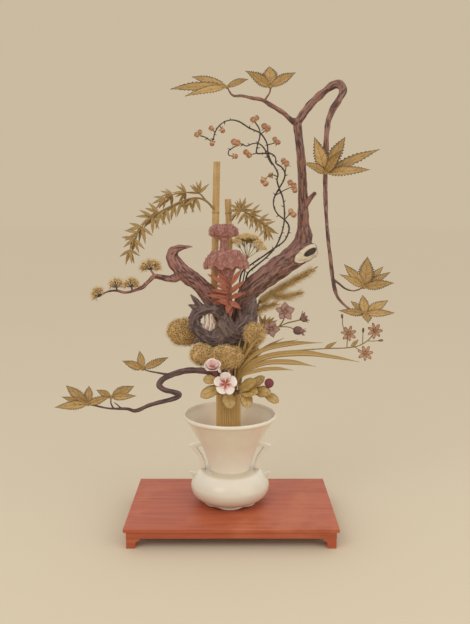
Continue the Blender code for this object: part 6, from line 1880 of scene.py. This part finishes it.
def buildUmbel():
    chance = random.Random(71)
    heap = Heap()
    stem = mm(4, 16.5, 21, stemFoot, 1.5,  20, 38, 420, 1.6,  19, 55, 500, 1.6,  26, 64, 560, 1.6,
        38, 64, 630, 1.7,  43, 62, 660, 1.8)
    limb(heap, rooted(stem), 8, 0.006, (0.0, 0.5))
    heads = mm(3, 16, 54, 699,  28, 58, 709,  42, 60, 713,  57, 62, 709,  70, 62, 698,  79, 60, 683,
        34, 76, 702,  56, 78, 699)
    heart = Vector((0.043, 0.062, 0.658))
    spots = []
    for x, y, z in heads:
        head = Vector((x, y, z))
        fork = heart.lerp(head, 0.62)
        limb(heap, [(*heart, 0.0009), (*heart.lerp(head, 0.3), 0.0007), (*fork, 0.0006)], 6, 0.005)
        for index in range(umbelWork["florets"]):
            rise = 1.0 - 1.20 * (index + 0.5) / umbelWork["florets"]
            angle = index * goldenAngle
            flat = math.sqrt(1.0 - rise * rise)
            out = Vector((0.0124 * flat * math.cos(angle), 0.0098 * flat * math.sin(angle), 0.0084 * rise))
            spot = head + out + Vector((0, 0, chance.uniform(-0.0008, 0.0006)))
            spots.append((spot, (spot - heart).normalized() + out * 40.0, (0, 1, 0), umbelWork["size"]))
            if index % 12 == 0:
                limb(heap, [(*fork, 0.0005), (*fork.lerp(spot, 0.6), 0.00045), (*spot, 0.0004)], 3, 0.009,
                     (0.2, 0.2))
    florets = worked(marked("florets", spots), sprinkle,
                     {"Shape": floretShape(), "Unevenness": 0.2, "Seed": 71, "Finish": yellowFloret})
    settle(joined("umbel", [heap.piece("rays", [greenStem]), florets]), "yellowUmbel", "yellow_umbel",
           "yellow_umbel")


buildUmbel()
print("umbel ready")


# flowers
def bloom(heap, at, facing, count, length, width, cup, turn, outline, rows=14, across=8, finish=0, fold=0.18,
          curl=0.06, wave=0.25, base=0.0):
    face = aimed(facing, (0.0, 0.0, 1.0))
    for index in range(count):
        angle = turn + fullTurn * index / count
        out = Vector((math.cos(angle), math.sin(angle), cup)) * length
        shown = face @ Vector((-cup * math.cos(angle), -cup * math.sin(angle), 1.0))
        out = face @ out * (1.0 + 0.05 * math.sin(2.1 * index + 0.4))
        span = width * (1.0 + 0.07 * math.sin(3.3 * index + 1.0))
        lift = Vector(facing).normalized() * (0.0006 * (index % 2) + base)
        leaf(heap, Vector(at) + lift, out, span, shown, outline, rows, across, curl, fold, 0.0010, 0.0,
             0.0002, wave,
             (index * 0.37) % 1.0, finish)


def hearted(heap, at, facing, radius, count, length, finish):
    # small button with stamens round it
    ball(heap, at, (radius, radius, radius), 10, 7, finish=finish, lumps=0.2)
    face = aimed(facing, (0.0, 0.0, 1.0))
    for index in range(count):
        angle = index * goldenAngle
        spread = 0.55 * math.sqrt((index + 0.5) / count)
        along = face @ Vector((spread * math.cos(angle), spread * math.sin(angle), 1.0)).normalized()
        start = Vector(at) + along * radius * 0.5
        end = start + along * length
        limb(heap, [(*start, 0.00032), (*end, 0.00030)], 5, 0.004, (0.2, 0.2), finish=finish)
        ball(heap, end, (0.00070, 0.00070, 0.00070), 6, 4, finish=finish)


bellWork = {"petals": 5, "cup": 0.18, "stamens": 7}


def buildBellflowers():
    stem = mm(4, 21.5, -3, stemFoot, 1.8,  34, 3, 400, 1.9,  48, 6, 438, 2,  66, -1, 466, 2,
        88, -10, 481, 2,  120, -20, 498, 1.8)
    stemA = mm(4, 119, -19.5, 497.5, 1.6,  130, -19, 514, 1.6,  133, -19, 531, 1.4)
    stemB = mm(4, 98, -13, 486, 1.4,  100, -25.2, 492.5, 1.2)
    stemC = mm(4, 119, -19.5, 497.5, 1.6,  139, -16, 506, 1.5,  157, -14, 510, 1.5,  171, -12, 513.5, 1.6)
    stemD = mm(4, 119, -19.5, 497.5, 1.4,  141, -26, 498, 1.3,  158, -34, 492.5, 1.3)
    shoot = mm(4, 74, -4.5, 471.5, 1.4,  81, -7, 495, 1.3)
    heap = Heap()
    limb(heap, rooted(stem), 10, 0.005, (0.0, 0.5))
    for route in (stemA, stemB, stemC, stemD, shoot):
        limb(heap, route, 8, 0.004, (0.4, 0.6))
    for index, (reach, width) in enumerate((((-0.009, -0.004, 0.034), 0.010), ((0.006, -0.006, 0.034), 0.010),
                                            ((0.029, -0.001, 0.027), 0.011), ((0.037, 0.004, 0.019), 0.011),
                                            ((0.034, -0.006, -0.014), 0.010),
                                            ((0.018, -0.010, 0.030), 0.009))):
        leaf(heap, (0.0808, -0.0069, 0.4935), reach, width, (0.1, -1.0, 0.4), "lance", 14, 6, 0.08, 0.3,
             0.0010,
             wave=0.1, tone=index * 0.17, finish=1)
    ball(heap, (0.164, -0.036, 0.491), (0.0122, 0.0092, 0.0104), 15, 10, 0.3, 2, lumps=0.12)
    bloom(heap, (0.163, -0.036, 0.491), (0.9, -0.4, -0.2), 5, 0.0118, 0.0085, 1.6, 0.2, "bell", 8, 4, 2, 0.3,
          -0.10, 0.1)
    for at, along in (((0.157, -0.0330, 0.4925), (1.0, -0.35, -0.15)),
                      ((0.167, -0.0128, 0.5125), (0.9, 0.1, 0.3))):
        for index in range(5):
            angle = index * 1.2566
            face = aimed(along, (0, 0, 1))
            out = face @ Vector((math.cos(angle) * 0.6, math.sin(angle) * 0.6, 1.0)) * 0.0062
            shown = face @ Vector((-math.cos(angle), -math.sin(angle), 0.6))
            leaf(heap, at, out, 0.0032, shown, "lance", 6, 4, 0.05, 0.2, 0.0007, tone=0.4, finish=1)
    bloom(heap, (0.1712, -0.0121, 0.5137), (0.8, -0.12, 0.45), 5, 0.0185, 0.0152, 0.75, 0.47, "bell", 12, 6,
          2, 0.30, -0.10)
    bloom(heap, (0.1712, -0.0121, 0.5137), (0.8, -0.12, 0.45), 5, 0.0150, 0.0128, 1.2, 1.10, "bell", 12, 6,
          2, 0.30, -0.10)
    settle(heap.piece("bells", [greenStem, bladeLeaf, mauvePetal]), "bellflowerStem", "ochre_leaf",
           "bellflower_stem")
    for name, node, at, facing, length, width, turn in (
        ("bellflowerUpper", "bellflower_upper", (0.133, -0.0262, 0.535), (0.05, -0.95, 0.25), 0.0245, 0.0190,
         1.57),
        ("bellflowerLower", "bellflower_lower", (0.100, -0.0305, 0.494), (-0.05, -0.95, 0.15), 0.0220,
         0.0172, 1.2),
    ):
        heap = Heap()
        bloom(heap, at, facing, bellWork["petals"], length, width, bellWork["cup"], turn, "bell", 16, 8, 0,
              0.22, 0.05, 0.2)
        hearted(heap, Vector(at) + Vector(facing) * 0.001, facing, 0.0030, bellWork["stamens"], 0.0032, 1)
        settle(heap.piece("bell", [mauvePetal, flowerHeart]), name, "mauve_petal", node)


asterWork = {"petals": 7, "length": 0.0205, "width": 0.0082, "cup": 0.12, "facing": (0.1, -0.95, 0.25),
             "stamens": 9}


def buildAsters():
    stem = mm(4, 19.5, -9, stemFoot, 1.4,  30, -20, 384, 1.5,  52, -22, 400, 1.6,  79, -19, 416, 1.6,
        135, -17, 434, 1.5,  190, -20, 441, 1.5,  243, -24, 445, 1.4,  282, -28, 447, 1.4,
        310, -30, 452, 1.3,  328, -32, 462, 1.3,  340, -34, 474, 1.2,  346, -35, 485, 1.2)
    stalkA = mm(4, 284, -28, 447.5, 1.2,  284, -30, 467, 1.1,  285, -33.5, 481.5, 1.1)
    stalkC = mm(4, 301, -29, 450, 1.2,  314, -36, 443, 1.1,  324, -44, 439, 1.1)
    stalkD = mm(4, 284, -30, 466, 1.1,  274, -22, 500, 1,  272, -22, 520, 0.9)
    stalkE = mm(4, 321, -31, 457, 1.1,  322, -26, 473, 1,  323, -22, 484, 0.9)
    stalkF = mm(4, 331, -32, 465, 1.1,  344, -40, 466, 1,  357, -46, 468, 0.9)
    heap = Heap()
    limb(heap, rooted(stem), 8, 0.005, (0.0, 0.5))
    for route in (stalkA, stalkC, stalkD, stalkE, stalkF):
        limb(heap, route, 6, 0.004, (0.4, 0.6))
    for at, along in (((0.272, -0.022, 0.517), (-0.1, 0.0, 1.0)), ((0.323, -0.022, 0.483), (0.05, 0.0, 1.0)),
                      ((0.355, -0.046, 0.468), (1.0, -0.2, 0.15))):
        face = aimed(along, (0, 1, 0))
        for index in range(4):
            angle = index * 1.5708 + 0.3
            out = face @ Vector((math.cos(angle) * 0.10, math.sin(angle) * 0.10, 1.0)) * 0.0135
            shown = face @ Vector((-math.cos(angle), -math.sin(angle), 0.1))
            leaf(heap, at, out, 0.0052, shown, "oval", 10, 4, -0.10, 0.6, 0.0008, tone=0.3 * index, finish=2)
    leaf(heap, (0.231, -0.0235, 0.4443), (0.025, -0.022, 0.021), 0.010, outline="lance", finish=1, wave=0.2)
    leaf(heap, (0.293, -0.0287, 0.4487), (0.024, 0.019, 0.018), 0.010, outline="lance", finish=1, wave=0.2)
    settle(heap.piece("asterStem", [greenStem, bladeLeaf, russetPetal]), "asterStem", "ochre_leaf",
           "aster_stem")
    for name, node, at, turn in (
        ("asterLeft", "aster_bloom_left", (0.285, -0.0385, 0.484), 0.3),
        ("asterRight", "aster_bloom_right", (0.347, -0.0410, 0.491), 0.9),
        ("asterLow", "aster_bloom_low", (0.324, -0.0495, 0.438), 0.1),
    ):
        heap = Heap()
        facing = asterWork["facing"]
        bloom(heap, at, facing, asterWork["petals"], asterWork["length"], asterWork["width"],
              asterWork["cup"],
              turn, "oval", 14, 6, 0, 0.30, 0.04, 0.15)
        hearted(heap, Vector(at) + Vector(facing) * 0.001, facing, 0.0030, asterWork["stamens"], 0.0022, 1)
        settle(heap.piece("aster", [russetPetal, flowerHeart]), name, "russet_petal", node)


buildBellflowers()
buildAsters()
print("bellflowers and asters ready")


# long blades
def bladeStrip(heap, route, tone, keel=0.16):
    # closed arching strip with a keel, from (x, y, z, width)
    places, widths = walked(route, 0.006)
    columns = 6
    points = []
    grain = []
    total = len(places)
    for layer in (1, -1):
        for index, (here, width) in enumerate(zip(places, widths)):
            before = places[max(index - 1, 0)]
            after = places[min(index + 1, total - 1)]
            ahead = (after - before).normalized()
            side = Vector((0.0, -1.0, 0.2)).cross(ahead).normalized()
            face = side.cross(ahead) * -1.0
            if face.y > 0.0:
                face = -face
            for column in range(columns + 1):
                spread = -1.0 + 2.0 * column / columns
                rise = keel * width * abs(spread) + layer * 0.00045 * (1.0 - spread ** 4)
                points.append(here + side * (spread * width / 2.0) + face * rise)
                grain.append((spread, index / (total - 1), tone))
    faces = []
    each = columns + 1
    back = total * each
    for index in range(total - 1):
        for column in range(columns):
            low = index * each + column
            faces.append((low, low + 1, low + 1 + each, low + each))
            faces.append((back + low, back + low + each, back + low + 1 + each, back + low + 1))
    for column in range(columns):
        faces.append((column, back + column, back + column + 1, column + 1))
        end = (total - 1) * each + column
        faces.append((end, end + 1, back + end + 1, back + end))
    edges = {}  # both layers share the points along the two edges
    for index in range(total):
        edges[back + index * each] = index * each
        edges[back + index * each + columns] = index * each + columns
    faces = [tuple(dict.fromkeys(edges.get(index, index) for index in face)) for face in faces]
    faces = [face for face in faces if len(face) > 2]
    heap.add(points, faces, grain, tone)


bladeWork = {"wide": 1.30}


def buildBlades():
    shoots = [
        mm(4, 18, -38, 392, 4.6,  34, -50, 448, 6.8,  48, -58, 500, 0.8),
        mm(4, 19, -42, 392, 4.6,  48, -60, 452, 7.4,  80, -72, 494, 0.8),
        mm(4, 21, -46, 390, 4.6,  60, -66, 438, 7,  108, -80, 466, 0.8),
        mm(4, 13, -48, 392, 4.4,  18, -62, 440, 6,  26, -72, 478, 0.8),
    ]
    routes = [
        mm(4, 15.5, -36, 384, 4.9,  51, -36, 424, 6.1,  93, -30, 452, 5.5,  132, -24, 471, 0.8),
        mm(4, 17.5, -39.5, 385, 4.8,  58, -44, 431, 6.6,  110, -50, 458, 6.6,  162, -58, 473, 0.8),
        mm(4, 20, -43, 386, 4.8,  67, -70, 444, 7.5,  141, -86, 468, 8,  214, -104, 474, 0.8),
        mm(4, 22, -46.5, 384, 5.4,  76, -82, 433, 10.4,  161, -120, 453, 10.8,  231, -142, 449, 6,
            291, -156, 440, 0.8),
        mm(4, 24, -50, 382, 4.8,  76, -92, 422, 8.6,  138, -130, 434, 9,  193, -158, 430, 0.8),
        mm(4, 25, -53.5, 380, 4.8,  66, -96, 407, 6.8,  106, -130, 419, 6.2,  143, -156, 421, 0.8),
    ]
    for index, route in enumerate(routes):
        heap = Heap()
        foot = mm(4, 14, -12.2 - 1.6 * index, stemFoot, 3.6)
        bladeStrip(heap, rooted(foot + [(*at[:3], at[3] * bladeWork["wide"]) for at in route]),
                   index * 0.19 % 1.0)
        if index < len(shoots):
            bladeStrip(heap, rooted(foot[:1] + shoots[index]), 0.3 + index * 0.2)
        name = "longBlade" + str(index + 1)
        settle(turnedOut(heap.piece(name, [bladeLeaf])), name, "ochre_leaf", "long_blade_" + str(index + 1))


buildBlades()
print("blades ready")


# camellia sprig
camelliaWork = {"petals": 5, "petalLength": 0.0285, "petalWidth": 0.0262, "stamens": 26, "leafLonger": 1.02,
                "leafWider": 1.16}


def buildCamellia():
    main = mm(4, -1, -24, stemFoot, 2.8,  -1, -40, 340, 3,  -10, -60, 350, 2.8,  -24, -72, 372, 2.4,
        -33.5, -80, 392, 2.2,  -37.5, -88, 404.5, 2)
    middle = mm(4, -10, -60, 350, 2.4,  -10, -77.2, 368, 2)
    right = mm(4, -1, -40, 340, 2.8,  24, -58, 348, 2.6,  58, -68, 351, 2.4,  81, -76, 347, 2.1,
        92, -83, 364, 1.8)
    heap = Heap()
    limb(heap, rooted(main), 10, 0.004, (0.0, 0.6), knots=0.12)
    limb(heap, middle, 8, 0.004, (0.4, 0.6))
    limb(heap, right, 10, 0.004, (0.4, 0.6), knots=0.12)
    for at, radii, count in (((0.093, -0.085, 0.3735), (0.0112, 0.0108, 0.0115), 6),
                             ((-0.0340, -0.0830, 0.3970), (0.0052, 0.0052, 0.0060), 5)):
        ball(heap, at, radii, 14, 9, 0.4, 2)
        for index in range(count):
            angle = index * fullTurn / count
            foot = Vector(at) + Vector((0.0, 0.0, -radii[2] * 0.85))
            out = Vector((math.cos(angle) * radii[0] * 1.05, math.sin(angle) * radii[1] * 1.05,
                          radii[2] * 1.35))
            leaf(heap, foot, out, radii[0] * 1.5, (math.cos(angle), math.sin(angle), -0.3), "round", 10, 6,
                 0.20, -0.35,
                 0.0008, tone=index * 0.21, finish=2)
    chance = random.Random(81)
    for x, y, z, dx, dy, dz, width in mm(
        7, -26, -73.8, 376.5, -38, 2, 5, 21,  -17.7, -66.5, 362, -50, -28, -17, 26,
        -10, -60, 350, 14, -26, -37, 31,  36, -61, 348.8, 7, -30, -33, 26,
        24, -58, 348, 38, -42, 9, 30,  56, -67.4, 350.8, 39, -30, 3, 25,
        20, -55, 346.5, 37, -42, 37, 26,  40, -62.7, 349.5, 41, -6, 37, 22,
        81, -76, 347, 34, -19, -16, 20
    ):
        facing = (chance.uniform(-0.15, 0.15), -1.0, 0.6)
        reach = Vector((dx, dy, dz)) * camelliaWork["leafLonger"]
        leaf(heap, (x, y, z), reach, width * camelliaWork["leafWider"], facing, "oval", 20, 8, 0.10,
             0.20, 0.0012, 0.0, 0.0004, 0.10, chance.random(), 1)
    settle(heap.piece("camellia", [lowBark, glossyLeaf, budRed]), "camelliaSprig", "ochre_leaf",
           "camellia_stem")
    heap = Heap()
    facing = (0.0, -0.95, 0.30)
    petals = camelliaWork["petals"]
    bloom(heap, (-0.010, -0.0840, 0.3715), facing, petals, camelliaWork["petalLength"],
          camelliaWork["petalWidth"],
          0.14, 1.57, "round", 18, 10, 0, 0.20, 0.04, 0.12)
    hearted(heap, (-0.010, -0.0850, 0.3720), facing, 0.0038, camelliaWork["stamens"], 0.0050, 1)
    settle(heap.piece("open", [camelliaPetal, flowerHeart]), "camelliaOpen", "white_petal", "camellia_open")
    heap = Heap()
    facing = (0.0, -0.55, 0.85)
    bloom(heap, (-0.0405, -0.0960, 0.4090), facing, petals, 0.0225, 0.0260, 0.60, 0.42, "round", 16, 10, 0,
          0.30, -0.06, 0.12)
    bloom(heap, (-0.0405, -0.0955, 0.4085), facing, 4, 0.0170, 0.0200, 1.15, 1.05, "round", 14, 8, 2, 0.35,
          -0.10, 0.12)
    hearted(heap, (-0.0405, -0.0955, 0.4110), facing, 0.0030, 12, 0.0040, 1)
    settle(heap.piece("half", [camelliaPetal, flowerHeart, blushPetal]), "camelliaHalf", "white_petal",
           "camellia_half")


buildCamellia()
print("camellia ready")


for shape in shapes:
    bpy.data.objects.remove(shape, do_unlink=True)


# floor, light and camera
stageWork = {"floor": tint(216, 200, 172), "spread": 45.0, "around": 96}


def buildStage():
    work = Finish("paleGround", {"Specular IOR Level": 0.0})
    patch = work.cloud(work.place(), 2.5, 3.0)
    colour = work.blend(patch * 0.25, stageWork["floor"], tint(212, 195, 166))
    work.feed({"Base Color": colour, "Roughness": 0.85 + patch * 0.1})
    points = [(0.0, 0.0, 0.0)]
    faces = []
    around = stageWork["around"]
    radii = (0.6, 1.5, 4.0, 12.0, stageWork["spread"])
    for row, radius in enumerate(radii):
        for index in range(around):
            angle = fullTurn * index / around
            points.append((radius * math.cos(angle), radius * math.sin(angle), 0.0))
            after = (index + 1) % around
            low = 1 + (row - 1) * around
            high = 1 + row * around
            faces.append((0, 1 + index, 1 + after) if row == 0 else (low + index, high + index, high + after,
                                                                     low + after))
    mesh = bpy.data.meshes.new("ground")
    mesh.from_pydata(points, [], faces)
    mesh.materials.append(work.material)
    linked("ground", mesh)


lightWork = {"sky": 0.86, "skyTint": (0.99, 0.99, 1.0, 1.0), "key": 12.5, "fill": 8.0,
             "seen": tint(202, 187, 161)}


def buildLight():
    world = bpy.data.worlds.new("softRoom")
    bpy.context.scene.world = world
    world.use_nodes = True
    tree = world.node_tree
    back = tree.nodes["Background"]
    back.inputs["Color"].default_value = lightWork["skyTint"]
    back.inputs["Strength"].default_value = lightWork["sky"]
    seen = tree.nodes.new("ShaderNodeBackground")
    seen.inputs["Color"].default_value = lightWork["seen"]
    path = tree.nodes.new("ShaderNodeLightPath")
    mixed = tree.nodes.new("ShaderNodeMixShader")
    tree.links.new(path.outputs["Is Camera Ray"], mixed.inputs[0])
    tree.links.new(back.outputs[0], mixed.inputs[1])
    tree.links.new(seen.outputs[0], mixed.inputs[2])
    tree.links.new(mixed.outputs[0], tree.nodes["World Output"].inputs["Surface"])
    for name, at, power, size in (("key", (-1.3, -1.7, 2.1), lightWork["key"], 1.4),
                                  ("fill", (1.6, -1.2, 1.2), lightWork["fill"], 1.6)):
        lamp = bpy.data.lights.new(name, "AREA")
        lamp.energy = power
        lamp.size = size
        holder = linked(name, lamp)
        place = Vector(at) + axisShift
        holder.location = place
        holder.rotation_euler = (Vector((0.0, 0.0, 0.55)) + axisShift - place).to_track_quat("-Z",
                                                                                             "Y").to_euler()


cameraWork = {"at": (0.0125, -1.6484, 0.7626), "pitch": 82.0, "lens": 39.23}


def buildCamera():
    data = bpy.data.cameras.new("frontView")
    data.sensor_width = 36.0
    data.lens = cameraWork["lens"]
    data.clip_end = 120.0
    camera = linked("frontView", data)
    camera.location = Vector(cameraWork["at"]) + axisShift
    camera.rotation_euler = (math.radians(cameraWork["pitch"]), 0.0, 0.0)
    bpy.context.scene.camera = camera
    bpy.context.scene.view_settings.view_transform = "Standard"


buildStage()
buildLight()
buildCamera()
print("stage, light and camera ready")
